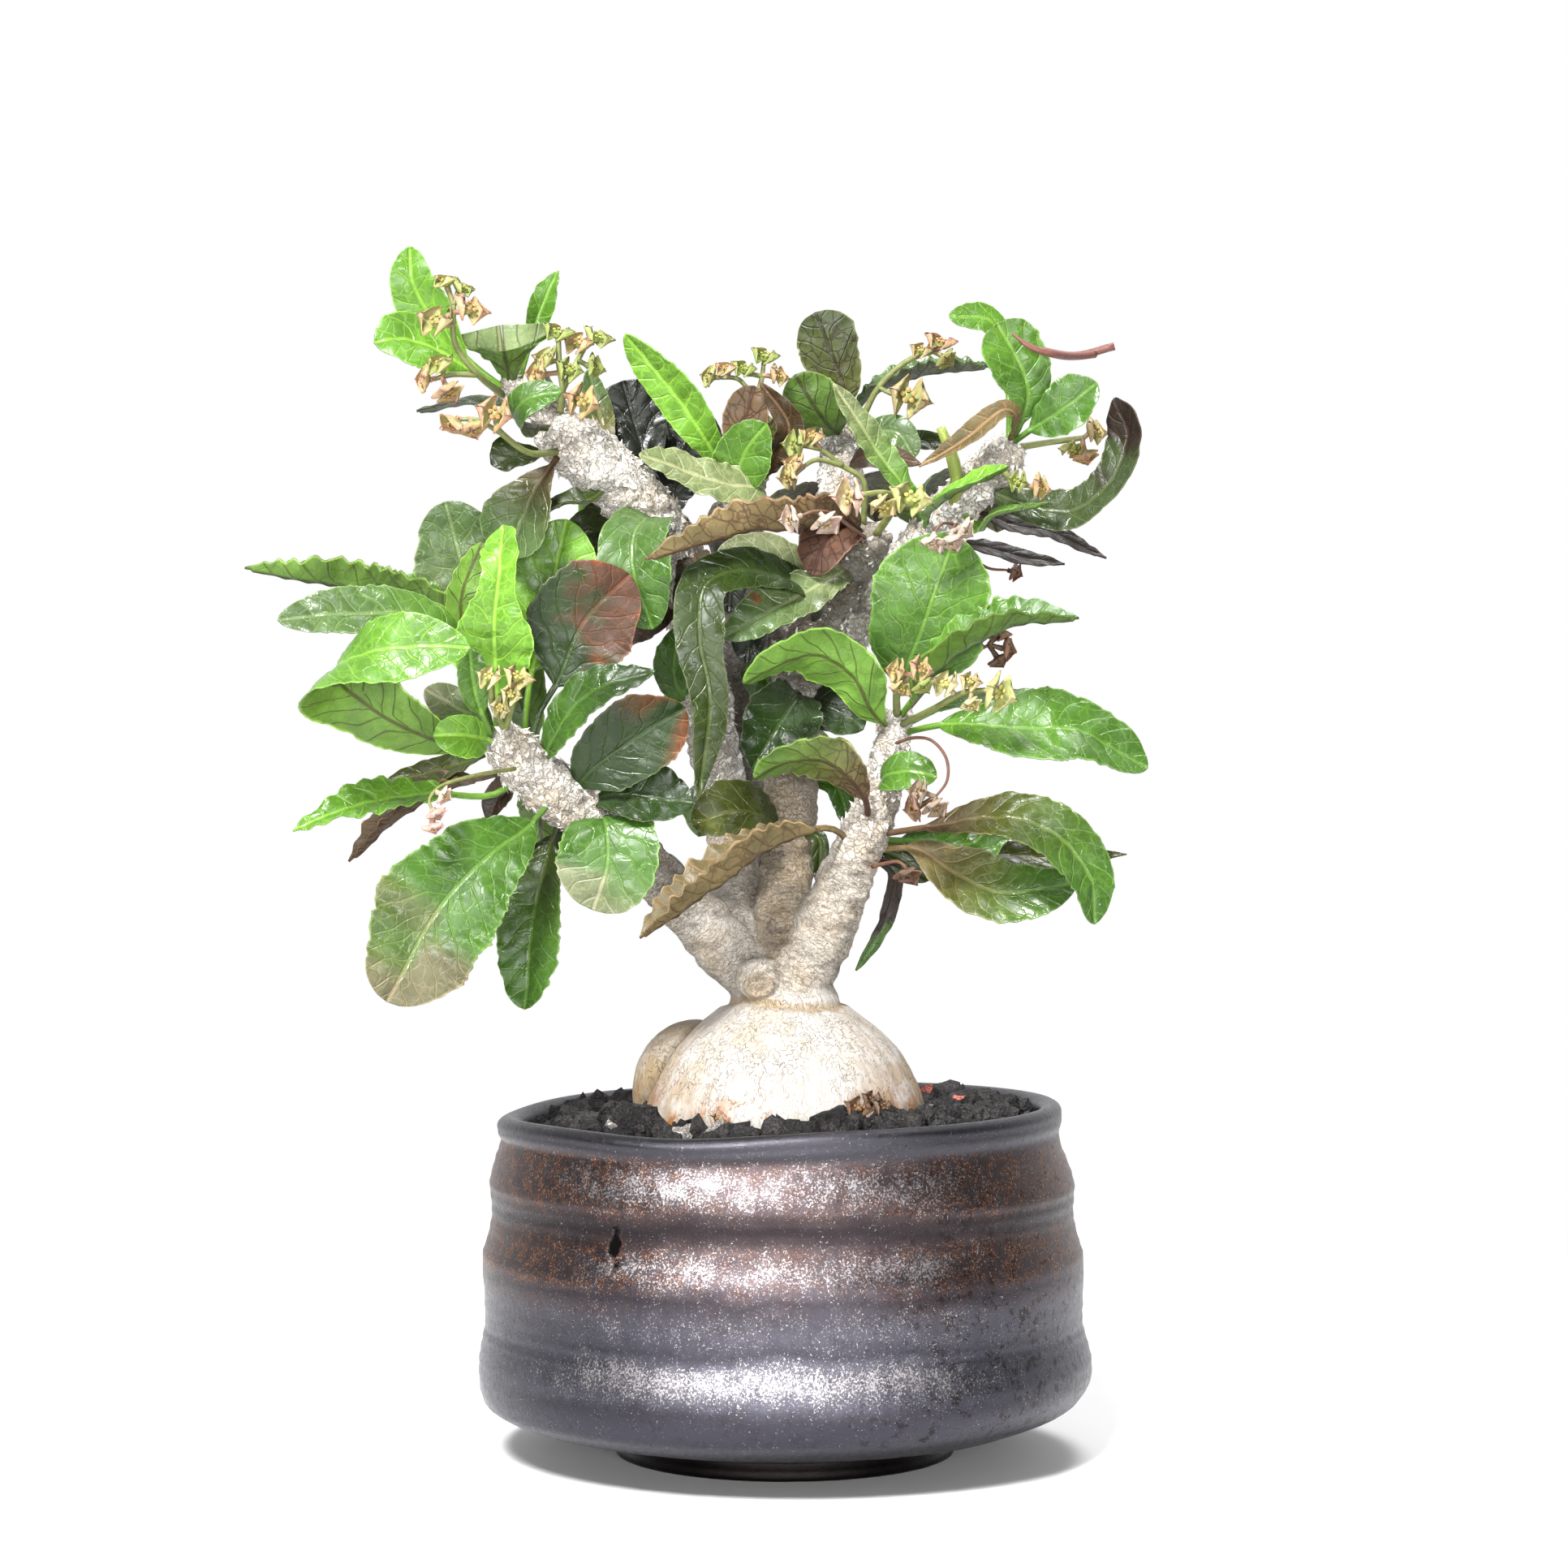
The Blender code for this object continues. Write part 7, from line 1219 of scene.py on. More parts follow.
# The wall as (radius, height), from the drain hole out under the foot, up to the lip and back inside.
POT_WALL = [
    (6.0, 4.4), (16.0, 4.2), (28.0, 4.0), (28.4, 0.0), (32.8, 0.0), (33.4, 1.4), (33.6, 4.6), (48.0, 6.4),
    (56.5, 9.0), (59.3, 12.0), (60.0, 18.0), (59.2, 22.5), (58.4, 26.0), (58.5, 31.0), (58.9, 38.5),
    (57.6, 43.0), (56.8, 47.0), (57.0, 50.5), (57.2, 53.5), (56.1, 57.5), (54.7, 61.5), (55.1, 63.8),
    (55.3, 65.4), (54.6, 66.7), (53.4, 67.2), (51.8, 66.7), (50.7, 65.2), (50.6, 60.0), (52.6, 42.0),
    (54.0, 26.0), (45.0, 10.4), (6.0, 9.4), (6.0, 7.0), (6.0, 4.4),
]
POT_SIDES = 288


def make_pot():
    sheets = Sheets()
    rings = []
    for point in profile_line(POT_WALL, 4):
        ring = []
        for i in range(POT_SIDES):
            angle = -math.tau * i / POT_SIDES
            radius, height = point.x, max(0.0, point.z)
            if height > 8 and radius > 54:
                lift = noise.noise(Vector((math.cos(angle) * 1.3, math.sin(angle) * 1.3, height * 0.09)))
                radius += 0.35 * lift + 0.08 * math.sin(height * 2.4 + 2 * lift)
            ring.append(thrown(radius, height, angle))
        rings.append(ring)
    sheets.add_rings(rings, closed_ends=False)
    dress(sheets.finish("glazed_pot", glaze_look()), "dark_glaze", "pot")


# The filling under the stones, as (radius, height).
BED = [
    (0.5, 60.0), (20.0, 63.0), (34.0, 64.6), (42.0, 64.4), (49.8, 62.8), (51.5, 50.0), (53.6, 26.0),
    (44.8, 10.75), (0.4, 9.75),
]
BED_SIDES = 96
BED_TONE = (0.014, 0.012, 0.011)
STONE_SIZES, LARGE_SIZES = (1.4, 3.0), (3.0, 5.0)
STONE_TOTAL, LARGE_TOTAL = 900, 241
RED_STONE, GREY_STONE = (0.20, 0.06, 0.045), (0.12, 0.115, 0.11)
# The middles of the stones lie between the first two radii, and no stone reaches past the last.
INNER, OUTER, POT_MOUTH = 22, 48.4, 50.0
# Fallen dry bracts on the grit: place from the axis, and size.
LITTER = (
    (14.0, -29.0, 69.6, 2.3), (16.5, -27.5, 71.0, 2.0), (18.5, -28.5, 69.4, 2.2), (-13.0, -33.0, 67.6, 1.6),
)


def chip(sheets, rng, centre, size, tone):
    """One angular chip of lava: a rough ball of few faces, squashed and turned."""
    shape = bmesh.new()
    bmesh.ops.create_icosphere(shape, subdivisions=2, radius=1.0)
    tilt = Euler([rng.uniform(0, math.tau) for _ in range(3)])
    squash = Vector((1.0, rng.uniform(0.65, 0.95), rng.uniform(0.55, 0.85)))
    seed = Vector([rng.uniform(0, 99) for _ in range(3)])
    points = []
    for vert in shape.verts:
        rough = 1 + 0.55 * noise.noise(vert.co * 1.6 + seed) + 0.35 * noise.noise(vert.co * 3.7 + seed)
        point = Vector(vert.co[k] * squash[k] for k in range(3)) * rough * size
        point.rotate(tilt)
        points.append(centre + point)
    first = sheets.add(points, [tone] * len(points))
    for face in shape.faces:
        sheets.faces.append(tuple(first + vert.index for vert in face.verts))
    shape.free()


def add_bed(sheets):
    """The filling, with a slightly uneven top."""
    rings = []
    for point in profile_line(BED, 4):
        ring = []
        for i in range(BED_SIDES):
            angle = math.tau * i / BED_SIDES
            rough = noise.noise(Vector((point.x * math.cos(angle), point.x * math.sin(angle), 0)) * 0.3)
            height = point.z + (0.7 * rough if point.z > 56 and point.x < 48 else 0)
            ring.append(thrown(point.x, height, angle, rises=False))
        rings.append(ring)
    sheets.add_rings(rings, [[BED_TONE] * BED_SIDES] * len(rings))


def add_stones(sheets, rng):
    """Loose chips, heaped up at the right and at the front right."""
    for index in range(STONE_TOTAL):
        radius = math.sqrt(rng.uniform(INNER ** 2, OUTER ** 2))
        angle = rng.uniform(-math.pi, math.pi)
        size = rng.uniform(*(LARGE_SIZES if index < LARGE_TOTAL else STONE_SIZES))
        x, y = radius * math.cos(angle), radius * math.sin(angle)
        if radius + size > POT_MOUTH:
            continue
        red = rng.random() < (0.10 if x > 20 and y > -4 else 0.0)
        grey = rng.random() < 0.04
        level = rng.uniform(0.004, 0.018)
        tone = RED_STONE if red else GREY_STONE if grey else (level, level * 0.97, level)
        heap = 1.6 * math.exp(-((math.degrees(angle) + 62) / 30) ** 2) + 1.5 * step_smooth((x - 20) / 15)
        heap -= 1.2 * bump_at(angle, -115, 22)
        height = 64.9 + heap - 1.6 * step_smooth((radius - 42) / 6)
        height = height + rng.uniform(-1.0, 1.5) - (size - 2.2) * 0.3
        chip(sheets, rng, Vector((x + AXIS_X, y + AXIS_Y, height)), size, tone)


def make_grit():
    rng = random.Random(5)
    sheets = Sheets()
    add_bed(sheets)
    add_stones(sheets, rng)
    dress(sheets.finish("lava_grit", grit_look(), smooth=False), "lava_grit", "soil")
    sheets = Sheets()
    for x, y, z, size in LITTER:
        place = Vector((x + AXIS_X, y + AXIS_Y, z))
        up = Vector((rng.uniform(-0.5, 0.5), -0.7, rng.uniform(0.4, 1.0))).normalized()
        bloom(sheets, place - up, place, size, up, rng.choice(DRY_TONES), rng)
    dress(sheets.finish("dried_litter", bloom_look("litter")), "dry_blooms")


# The caudex's main body, as (radius, height).
CAUDEX_PROFILE = [
    (0.0, 96.0), (6.0, 95.5), (9.0, 92.5), (10.8, 89.5), (14.0, 86.5), (18.5, 83.0), (22.5, 79.0),
    (25.5, 74.0), (27.5, 69.0), (28.3, 64.0), (26.5, 56.0), (19.0, 44.0), (0.0, 36.0),
]
CAUDEX_SIDES = 72
LIMB_SIDES = 20
# Balls that swell the caudex: place from the axis, and radii. The second is the knob with the pruning scar.
LOBE = ((-17.5, 7.0, 70.0), (13.0, 14.0, 14.5))
SCAR_KNOB = ((-5.0, -6.6, 93.0), (4.9, 4.9, 4.9))
NECK_KNOB = ((5.0, -3.0, 97.0), (6.4, 6.4, 6.4))
LIMB_LINES = [points for *_, points in (*LIMBS.values(), *FORKS.values())]
# The grid on which all of these are joined to one skin, and the height below which the skin is all caudex.
BARK_GRID = 0.55
SEAM_HEIGHT = 92
FLAKE_TOTAL, FLAKE_TRIES = 5500, 90000


def solid_of(rings):
    """A closed mesh object through rings of points."""
    sheets = Sheets()
    sheets.add_rings(rings)
    return sheets.finish("piece")


def limb_solid(points):
    """A limb as a smooth round bar."""
    centres = smooth_line(spots(points), 6)
    radii = smooth_line([Vector((point[3], 0, 0)) for point in points], 6)
    rings = []
    for centre, radius, (_, across, up) in zip(centres, radii, frames(centres, (0.1, 0.9, 0.2), 0.5)):
        rings.append(circle(centre, across, up, radius.x, LIMB_SIDES))
    return solid_of(rings)


def body_solid():
    """The caudex's main body, turned round the pot's axis."""
    rings = []
    for point in profile_line(CAUDEX_PROFILE, 5):
        turns = [math.tau * i / CAUDEX_SIDES for i in range(CAUDEX_SIDES)]
        rings.append([around(max(0.3, point.x), turn, point.z) for turn in turns])
    return solid_of(rings)


def ball_solid(place, radii):
    """A ball with a radius for each axis."""
    shape = bmesh.new()
    bmesh.ops.create_uvsphere(shape, u_segments=32, v_segments=20, radius=1.0)
    centre = (place[0] + AXIS_X, place[1] + AXIS_Y, place[2])
    for vert in shape.verts:
        vert.co = Vector([centre[k] + vert.co[k] * radii[k] for k in range(3)]) * MM
    return placed("piece", mesh_of(shape, "piece"))


def make_bark():
    """The caudex, all limbs and the thick dead twig as one skin."""
    pieces = [body_solid()]
    pieces += [ball_solid(*ball) for ball in (LOBE, SCAR_KNOB, NECK_KNOB)]
    pieces += [limb_solid(points) for points in LIMB_LINES + [TWIGS[0][1]]]
    joined = bmesh.new()
    for piece in pieces:
        joined.from_mesh(piece.data)
        bpy.data.objects.remove(piece)
    skin = placed("bark_skin", mesh_of(joined, "bark_skin"))
    remesh = skin.modifiers.new("skin", "REMESH")
    remesh.mode = "VOXEL"
    remesh.voxel_size = BARK_GRID * MM
    soften = skin.modifiers.new("soften", "SMOOTH")
    soften.iterations = 3
    soften.factor = 0.5
    mesh = bpy.data.meshes.new_from_object(skin.evaluated_get(bpy.context.evaluated_depsgraph_get()))
    bpy.data.objects.remove(skin)
    return mesh


def body_radius(height):
    """The caudex's radius at this height."""
    for (r1, z1), (r2, z2) in zip(CAUDEX_PROFILE, CAUDEX_PROFILE[1:]):
        if z2 <= height <= z1:
            return r1 + (r2 - r1) * (z1 - height) / (z1 - z2)
    return 0.0


def within_crown(limb, height):
    """1 on the brown stretch of the middle limbs inside the crown of leaves, which is also given painted
    shade.
    """
    if limb not in ("front", "back", "inner"):
        return 0.0
    return step_smooth((height - 146) / 8) * step_smooth((188 - height) / 8)


def body_relief(dx, dy, z, where, share):
    """(push, tan, painted shade) of the caudex: upright folds, the crease round the lobe with painted shade
    in it, the ring at the neck.
    """
    angle = math.atan2(dy, dx)
    fold = Vector((math.cos(angle) * 9, math.sin(angle) * 9, z * 0.11))
    folds = (0.34 * abs(noise.noise(fold)) + 0.22 * abs(noise.noise(fold * 2.3))) * share
    centre, radii = LOBE
    off_body = math.hypot(dx, dy) - body_radius(z)
    off_lobe = 13 * (math.sqrt(sum(((v - c) / r) ** 2 for v, c, r in zip((dx, dy, z), centre, radii))) - 1)
    crease = math.exp(-(off_body ** 2 + off_lobe ** 2) / 1.2) if z < 86 else 0.0
    ring = math.exp(-((z - 88.6 - 0.6 * math.sin(angle * 2) + 0.5 * noise.noise(where * 0.3)) / 0.8) ** 2)
    tan = 0.5 * step_smooth(1 - abs(off_lobe) / 3.5) * (z < 84) + 0.95 * ring
    # The crease round the lobe is painted dark, as shade.
    return -folds - (0.9 * crease + 0.8 * ring), tan, 0.5 * crease


def limb_relief(x, y, z, where, limb, share):
    """(push, tan, painted shade) of a limb's bark: rings, and plates and cracks where it is old. The rear
    limb, the dips of the relief and the stretch inside the crown are painted dark as shade.
    """
    flaky = step_smooth((z - 138) / 12) if limb == "front" else step_smooth((z - 112) / 14)
    flake = noise.voronoi(where * 0.33 + Vector((0, 0, 0.4 * noise.noise(where * 0.4))))[0]
    ringed = noise.noise(Vector((x * 0.10, y * 0.10, z * 0.7)))
    relief = 0.5 * noise.noise(where * 0.26) + 0.5 * ringed * (1 - 0.5 * flaky)
    relief += 0.2 * noise.noise(where * 1.3)
    plates = (flake[1] - flake[0]) * (0.25 + 0.9 * flaky)
    inside = within_crown(limb, z)
    push = share * (relief + min(0.9, plates) - 0.3)
    tan = 0.75 * (1 - flaky) if limb in ("front", "rear") else 0.24 if limb == "right" else 0.1
    # Painted shade: the whole rear limb, the dips of the relief, and the stretch inside the crown.
    painted_shade = 0.75 if limb == "rear" else 0.7 * max(0.0, -relief)
    return push, share * tan + 0.4 * inside, share * painted_shade + 0.45 * inside


def roughened(mesh, owners, segments):
    """Gives the skin its relief and its tint: how tan, how much painted shade, and how far along the limb's
    segment.
    """
    co = numbers(mesh.vertices, "co", 3) / MM
    push = np.zeros(len(co))
    tint = np.zeros((len(co), 2))
    reach = np.zeros(len(co))
    scar_x, _, scar_z = SCAR_KNOB[0]
    for i, (x, y, z) in enumerate(co):
        dx, dy, where = x - AXIS_X, y - AXIS_Y, Vector((x, y, z))
        _, start, end, limb = segments[owners[i]]
        bark = step_smooth((z + 3 * noise.noise(where * 0.2) - 90) / 7)
        reliefs = []
        if bark < 1:
            reliefs.append(body_relief(dx, dy, z, where, 1 - bark))
        if bark > 0:
            reliefs.append(limb_relief(x, y, z, where, limb, bark))
            reach[i] = (where - start).dot((end - start).normalized())
        for pushed, tan, painted_shade in reliefs:
            push[i] += pushed
            tint[i] += (tan, painted_shade)
        if abs(dx - scar_x) < 4 and abs(z - scar_z) < 4 and dy < -9:
            away = math.hypot(dx - scar_x, (z - scar_z + 0.8) * 1.3)
            push[i] = 0.55 * math.exp(-((away - 2.5) / 0.5) ** 2) - 0.5 * math.exp(-((away - 1.5) / 0.6) ** 2)
            tint[i, 0] = max(tint[i, 0], 0.7 * (away < 3.1))
    co += numbers(mesh.vertices, "normal", 3) * push[:, None]
    mesh.vertices.foreach_set("co", (co * MM).ravel())
    values = np.column_stack((np.clip(tint, 0, 1), reach))
    mesh.attributes.new("tint", "FLOAT_VECTOR", "POINT").data.foreach_set("vector", values.ravel())
    mesh.update()


def numbers(items, name, width):
    """A property of many items, as rows of numbers."""
    found = np.empty(len(items) * width)
    items.foreach_get(name, found)
    return found.reshape(-1, width)


def stem_segments():
    """(name of the node, two ends of a straight bit, name of its limb) for every limb."""
    found = []

    def add(limb, split, lower, upper, points):
        for i, (near, far) in enumerate(zip(points, points[1:])):
            found.append((upper if i >= split else lower, spot(near), spot(far), limb))

    for name, (split, points) in LIMBS.items():
        add(name, split, "caudex", "leafy_stem_" + name, points)
    for name, (parent, split, points) in FORKS.items():
        add(name, split, "leafy_stem_" + parent, "leafy_stem_" + name, points)
    parent, points = TWIGS[0]
    add(parent, 0, "", "leafy_stem_" + parent, points)
    return found


def nearest_segment(places, segments):
    """The index of the segment nearest to each place."""
    best = np.full(len(places), 1e9)
    owner = np.zeros(len(places), int)
    for k, (_, start, end, _) in enumerate(segments):
        way = np.array(end - start)
        away = places - np.array(start)
        share = np.clip((away @ way) / (way @ way), 0, 1)
        distance = ((away - share[:, None] * way) ** 2).sum(1)
        closer = distance < best
        best[closer] = distance[closer]
        owner[closer] = k
    return owner


def make_flakes(mesh, owners, segments):
    """Small curled flakes that lift off the bark of the older limbs."""
    rng = random.Random(21)
    co = numbers(mesh.vertices, "co", 3) / MM
    normals = numbers(mesh.vertices, "normal", 3)
    sheets = Sheets()
    for _ in range(FLAKE_TRIES):
        i = rng.randrange(len(co))
        _, start, end, limb = segments[owners[i]]
        z = co[i][2]
        flaky = step_smooth((z - 150) / 12) if limb == "front" else step_smooth((z - 118) / 14)
        if rng.random() > flaky * (1 - 0.75 * within_crown(limb, z)) or limb == "rear":
            continue
        normal = Vector(normals[i])
        side = normal.cross((end - start).normalized())
        if side.length < 0.4:
            continue
        side.normalize()
        way = (normal.cross(side) * rng.choice((1, -1)) + side * rng.uniform(-0.8, 0.8)).normalized()
        side = normal.cross(way)
        base = Vector(co[i]) - normal * 0.15
        size = rng.uniform(0.5, 1.4)
        middle = base + way * size * 0.6 + normal * size * rng.uniform(0.1, 0.3)
        tip = base + way * size * rng.uniform(0.9, 1.3) + normal * size * rng.uniform(0.15, 0.7)
        half = side * (size * rng.uniform(0.25, 0.55))
        first = sheets.add([base - half, base + half, middle + half * 0.8, tip, middle - half * 0.8])
        sheets.faces += [(first, first + 1, first + 2, first + 4), (first + 4, first + 2, first + 3)]
        if len(sheets.faces) >= 2 * FLAKE_TOTAL:
            break
    dress(sheets.finish("bark_flakes", flake_look(), smooth=False), "pale_bark")


def cut_by_stem(mesh, segments):
    """One mesh for each node, holding the faces whose middle lies nearest to that node's limb."""
    centres = numbers(mesh.polygons, "center", 3) / MM
    names = np.array([segment[0] for segment in segments])[nearest_segment(centres, segments)]
    names[centres[:, 2] < SEAM_HEIGHT] = "caudex"
    found = {}
    for name in sorted(set(names)):
        shape = bmesh.new()
        shape.from_mesh(mesh)
        shape.faces.ensure_lookup_table()
        others = [face for face in shape.faces if names[face.index] != name]
        bmesh.ops.delete(shape, geom=others, context="FACES")
        found[name] = mesh_of(shape, name)
        found[name].shade_smooth()
    return found


SHOOT_TONE = (0.14, 0.20, 0.035)
TWIG_TONE = (0.09, 0.042, 0.028)
# The thin end of the red-brown twig, which lies in front of a leaf.
TWIG_END = [
    (44.8, 220.1, -11, 0.2), (48.5, 217.4, -11, 0.6), (53.3, 216.0, -8.5, 0.8), (57, 215.6, -1, 0.8),
    (61, 216.0, 5, 0.8),
]


def make_foliage(stem, rng, look):
    """The leaves and thin twigs of one stem."""
    sheets = Sheets()
    for record in LEAVES[stem]:
        add_leaf(sheets, record, rng)
    twigs = [points for parent, points in TWIGS[1:] if parent == stem]
    if stem == "upper_right":
        twigs.append(TWIG_END)
    for points in twigs:
        tone = SHOOT_TONE if points[0][3] > 1 else TWIG_TONE
        rod(sheets, spots(points), [point[3] for point in points], tone)
    dress(sheets.finish("foliage_" + stem, look), "leaves", "leafy_stem_" + stem)


def make_stems():
    skin = make_bark()
    segments = stem_segments()
    owners = nearest_segment(numbers(skin.vertices, "co", 3) / MM, segments)
    roughened(skin, owners, segments)
    make_flakes(skin, owners, segments)
    bark, leafy = skin_look(), leaf_look()
    for name, mesh in cut_by_stem(skin, segments).items():
        if name == "caudex":
            dress(placed("pale_caudex", mesh, bark), "pale_bark", "caudex")
        else:
            dress(placed(name.replace("leafy_stem", "bark"), mesh, bark), "pale_bark")
    for index, stem in enumerate([*LIMBS, *FORKS]):
        make_foliage(stem, random.Random(100 + index), leafy)


def seated(start, radius):
    """The start of a stalk moved to the bark, or to the flat tip, of the nearest limb."""
    found = []
    for points in LIMB_LINES + [points for _, points in TWIGS]:
        for near, far in zip(points, points[1:]):
            way = spot(far) - spot(near)
            share = min(1.0, max(0.0, (start - spot(near)).dot(way) / way.length_squared))
            centre = spot(near) + way * share
            bark = near[3] + (far[3] - near[3]) * share
            tip_way = way.normalized() if far is points[-1] and share == 1.0 else None
            found.append(((start - centre).length - bark, centre, bark, tip_way))
    _, centre, bark, tip_way = min(found, key=lambda item: item[0])
    away = start - centre
    beside = Vector()
    if tip_way:
        beside = away - tip_way * away.dot(tip_way)
        beside = beside.normalized() * min(beside.length, bark - radius / 2)
        away = tip_way
        bark = 0
    return centre + beside + away.normalized() * (bark - 0.4)


def nearest_on(line, point):
    """The point of a line of straight pieces that lies nearest to the given one, beyond the line's start."""
    found = []
    for start, end in zip(line, line[1:]):
        way = end - start
        share = min(0.97, max(0.15, (point - start).dot(way) / way.length_squared))
        found.append(start + way * share)
    return min(found, key=lambda place: (place - point).length)


FRESH_TONES = [
    (0.44, 0.26, 0.15), (0.32, 0.30, 0.11), (0.44, 0.24, 0.16), (0.38, 0.28, 0.15), (0.24, 0.28, 0.08),
]
DRY_TONES = [(0.17, 0.095, 0.050), (0.11, 0.06, 0.035), (0.27, 0.20, 0.14)]
CREAM = [(0.52, 0.42, 0.23), (0.48, 0.36, 0.19), (0.42, 0.40, 0.17)]
PINK = [(0.60, 0.38, 0.32), (0.62, 0.46, 0.38)]
WHITISH = [(0.46, 0.36, 0.30), (0.52, 0.43, 0.37), (0.24, 0.15, 0.10)]
SPRAY_TONES = {
    "spray_left": CREAM, "spray_left_hanging": PINK, "spray_front": CREAM + PINK[:1], "spray_right": CREAM,
    "dry_spray_front": WHITISH, "dry_spray_centre": WHITISH,
}
BLOOM_HEART = (0.21, 0.29, 0.06)
FRESH_STALK, DRY_STALK = (0.17, 0.20, 0.06), (0.13, 0.06, 0.035)
BRACT_HALF = 0.14


def bract(sheets, base, radius, ways, sign, opening, heart, tone):
    """One broad cupped bract with a pointed tip, on the side of the bloom that sign says."""
    side, other, up = ways
    inward = (up * 0.6 - side * sign * 0.8).normalized()
    rings, tones = [], []
    for i in range(9):
        t = i / 8
        taper = 1 - max(0.0, (t - 0.4) / 0.6) ** 1.7
        half = max(0.12, radius * 1.2 * math.sin(min(1.0, t * 1.9) * math.pi / 2) * taper)
        out = radius * (0.16 + 0.95 * t) * opening
        lift = radius * (0.12 + 0.75 * t ** 1.3)
        top, low, colours = [], [], []
        for j in range(9):
            c = j / 4 - 1
            curl = out * 0.5 * abs(c) ** 1.8
            ruffle = 0.07 * radius * math.sin(c * 7 + i + sign)
            middle = base + side * (sign * (out - curl)) + other * (half * c)
            middle += up * (lift + ruffle + curl * 0.15)
            top.append(middle + inward * BRACT_HALF)
            low.append(middle - inward * BRACT_HALF)
            colours.append(blend(heart, tone, min(1.0, 0.15 + 0.85 * max(t, 0.9 * c * c) ** 1.6)))
        rings.append(top + low[::-1])
        tones.append(colours + colours[::-1])
    sheets.add_rings(rings, tones)


def bloom(sheets, root, base, radius, up, tone, rng, heart=None):
    """One bloom: a thin stalk, two bracts, and a cup with a small ring of glands between them."""
    heart = heart or blend((0, 0, 0), tone, 0.7)
    side = up.cross(Vector((0.31, 0.2, 0.93))).normalized()
    other = up.cross(side)
    rod(sheets, [root, (root + base) / 2 + up * 0.1, base], [0.55, 0.5, 0.65], blend((0, 0, 0), tone, 0.7), 7)
    for sign in (1, -1):
        bract(sheets, base, radius, (side, other, up), sign, rng.uniform(0.95, 1.25), heart, tone)
    cup = [base, base + up * radius * 0.3, base + up * radius * 0.62]
    rod(sheets, cup, [0.5, radius * 0.36, radius * 0.3], blend(heart, tone, 0.3), 9)
    gland_tone = (tone[0] * 0.9, tone[1] * 0.85, tone[2] * 0.45)
    for i in range(5):
        angle = math.tau * i / 5
        gland = base + up * radius * 0.66 + (side * math.cos(angle) + other * math.sin(angle)) * radius * 0.3
        points = [gland - up * 0.2, gland + up * 0.12, gland + up * 0.3]
        rod(sheets, points, [0.2, radius * 0.15, 0.12], gland_tone, 6)


def make_spray(name, stalks, heads, rng, look):
    """One flower spray: its stalks, the first seated on the bark, and the blooms along them."""
    sheets = Sheets()
    dried = name.startswith("dry")
    plain = dried or name == "spray_left_hanging"
    lines = [spots(places) for _, places in stalks]
    start = lines[0][0]
    foot = seated(start, stalks[0][0])
    for (radius, _), line in zip(stalks, lines):
        if line[0] == start:
            line[0] = foot
        thick = radius * (0.5 if plain else 0.68)
        rod(sheets, line, [thick * 1.2, thick, thick, thick * 0.8], DRY_STALK if dried else FRESH_STALK, 9)
    tones = SPRAY_TONES.get(name, DRY_TONES if dried else FRESH_TONES)
    heart = None if plain else BLOOM_HEART
    for place, radius, facing, stalk in heads:
        base = spot(place)
        root = nearest_on(lines[stalk], base)
        bloom(sheets, root, base, radius, Vector(facing).normalized(), rng.choice(tones), rng, heart)
    dress(sheets.finish("blooms_" + name, look), "dry_blooms" if dried else "blooms", name)


def make_sprays():
    fresh, dry = bloom_look("bloom"), bloom_look("dry_bloom")
    for index, (name, (stalks, heads)) in enumerate(SPRAYS.items()):
        make_spray(name, stalks, heads, random.Random(500 + index), dry if name.startswith("dry") else fresh)


# Metres, as all of the studio.
FLOOR_RADIUS = 0.36
AIM = (0.01, 0, 0.12)
# Each light: name, place, its two sides, power in watts.
LIGHTS = [
    ("key", (-0.30, -0.80, 0.95), (0.30, 0.30), 34),
    ("front", (0.0, -1.1, 0.17), (1.5, 0.10), 15),
    ("top", (0.25, 0.30, 1.2), (0.4, 0.4), 11),
]
# Brightness of the room behind the camera; the backdrop is white.
ROOM = 0.2
# The camera's sensor in millimetres. The rest is in pixels of the photograph: its side, the focal length, and
# the place that lies level with the camera and straight ahead of it.
SENSOR = 36
PHOTO_SIDE, FOCAL = 1932, 4687
AHEAD = (967, 919)


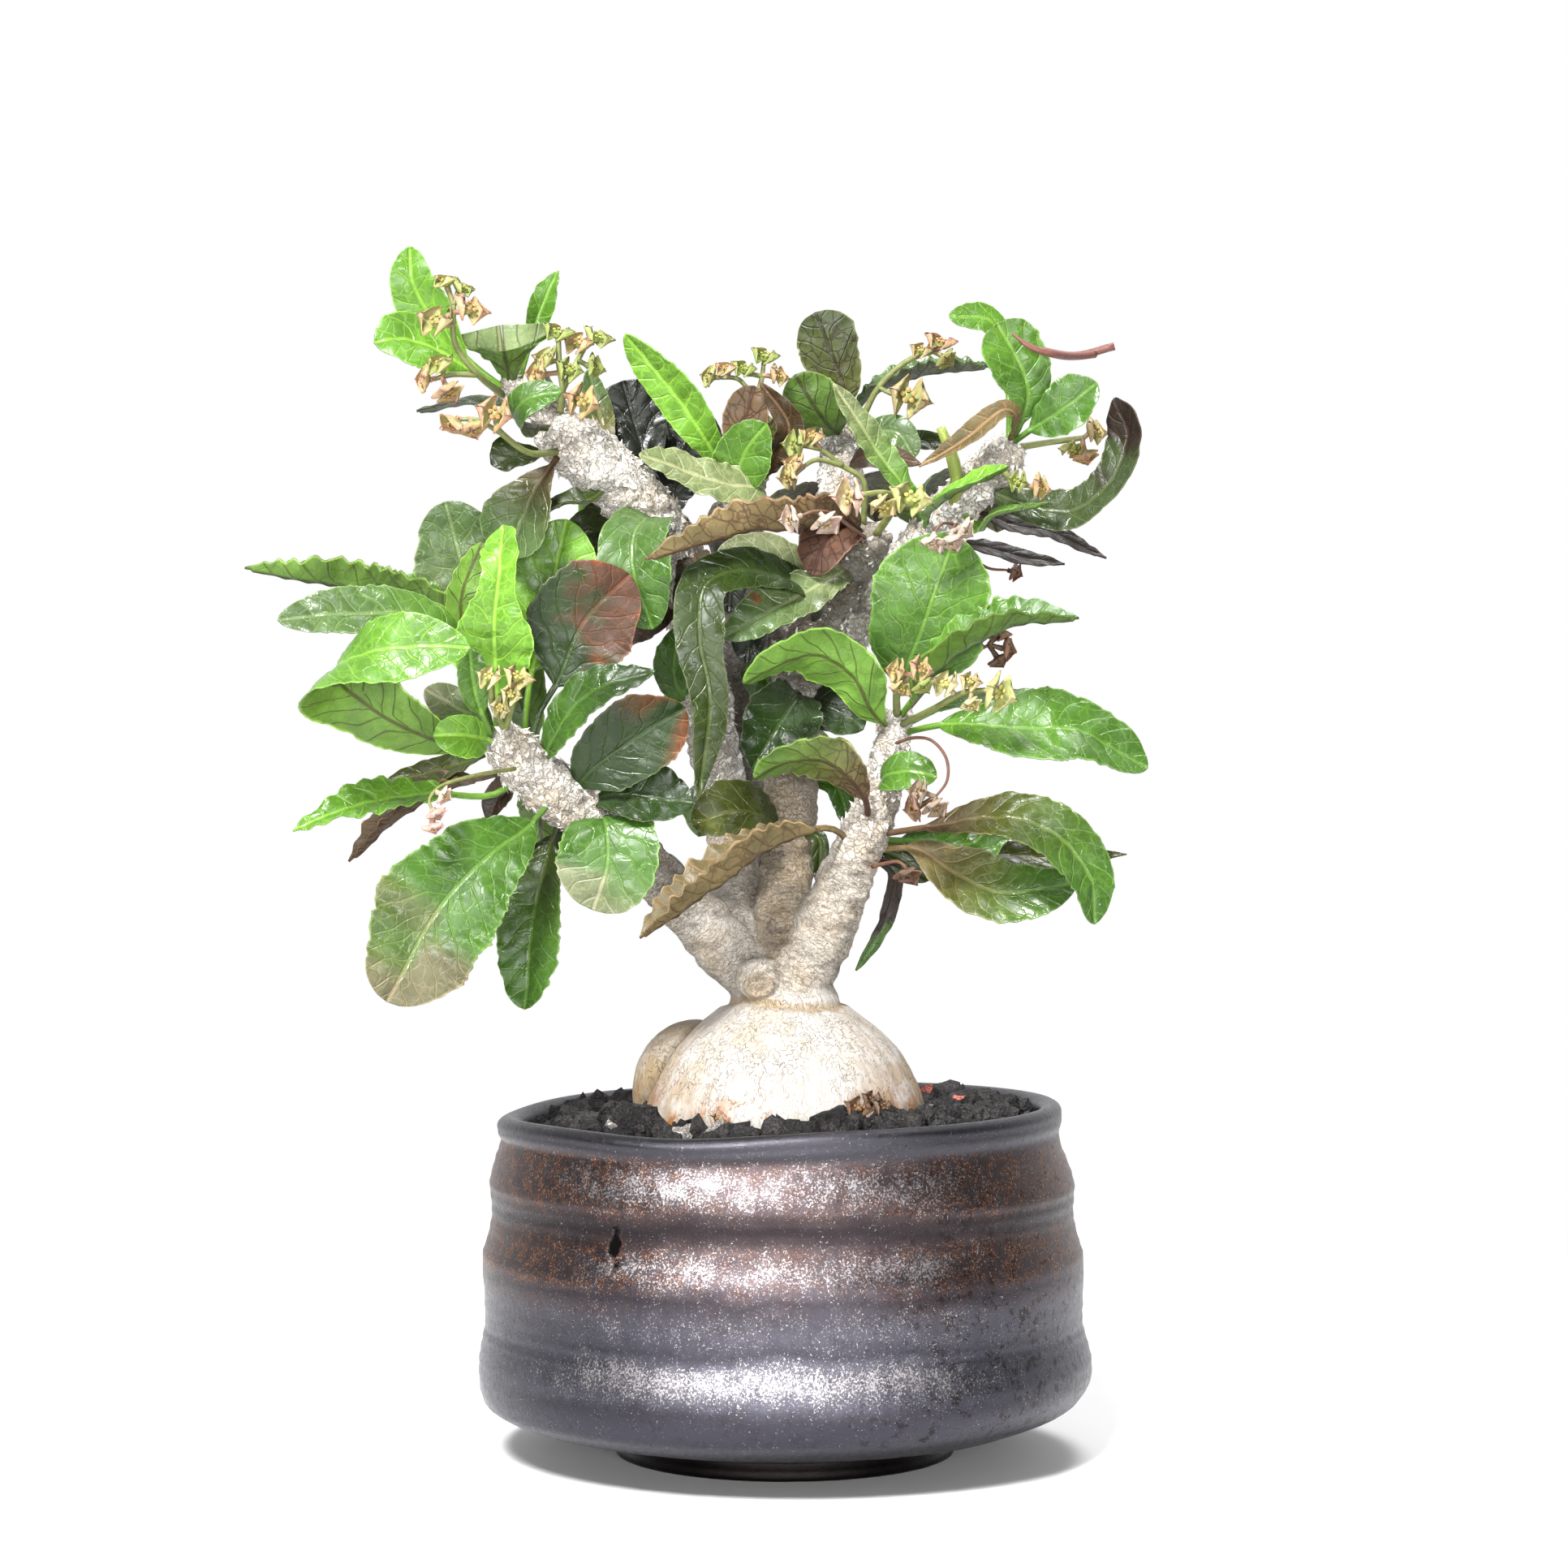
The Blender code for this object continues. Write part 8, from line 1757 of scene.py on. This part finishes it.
def make_world():
    """A white backdrop, darker behind the camera."""
    world = bpy.data.worlds.new("studio")
    world.use_nodes = True
    nodes, links = world.node_tree.nodes, world.node_tree.links
    direction = nodes.new("ShaderNodeSeparateXYZ")
    links.new(nodes.new("ShaderNodeTexCoord").outputs["Generated"], direction.inputs[0])
    fade = nodes.new("ShaderNodeMapRange")
    for key, value in {"From Min": -0.2, "From Max": 0.75, "To Min": ROOM, "To Max": 1.0}.items():
        fade.inputs[key].default_value = value
    links.new(direction.outputs["Y"], fade.inputs["Value"])
    links.new(fade.outputs["Result"], nodes["Background"].inputs["Strength"])
    nodes["Background"].inputs["Color"].default_value = (1.0, 1.0, 1.0, 1.0)
    bpy.context.scene.world = world


def make_floor():
    disc = bmesh.new()
    bmesh.ops.create_circle(disc, cap_ends=True, segments=96, radius=FLOOR_RADIUS)
    look = Look("floor", Roughness=0.8)
    look.shader.inputs["Base Color"].default_value = (0.8, 0.8, 0.8, 1.0)
    placed("floor", mesh_of(disc, "floor"), look.material)


def make_lights():
    for name, place, size, power in LIGHTS:
        light = bpy.data.lights.new(name, "AREA")
        light.shape = "RECTANGLE"
        light.energy = power
        light.size, light.size_y = size
        lamp = placed(name, light)
        lamp.location = place
        lamp.rotation_euler = (Vector(AIM) - Vector(place)).to_track_quat("-Z", "Y").to_euler()


def make_camera():
    """The camera, level and at the photograph's angle."""
    camera = bpy.data.cameras.new("camera")
    camera.sensor_width = SENSOR
    camera.lens = SENSOR * FOCAL / PHOTO_SIDE
    camera.shift_x = (PHOTO_SIDE / 2 - AHEAD[0]) / PHOTO_SIDE
    camera.shift_y = -(PHOTO_SIDE / 2 - AHEAD[1]) / PHOTO_SIDE
    view = placed("camera", camera)
    view.location = (AXIS_X * MM, (AXIS_Y - EYE_DISTANCE) * MM, EYE_HEIGHT * MM)
    view.rotation_euler = (math.radians(90), 0, 0)
    bpy.context.scene.camera = view
    bpy.context.scene.view_settings.view_transform = "Standard"


make_world()
make_floor()
make_lights()
make_camera()
make_pot()
make_grit()
make_stems()
make_sprays()
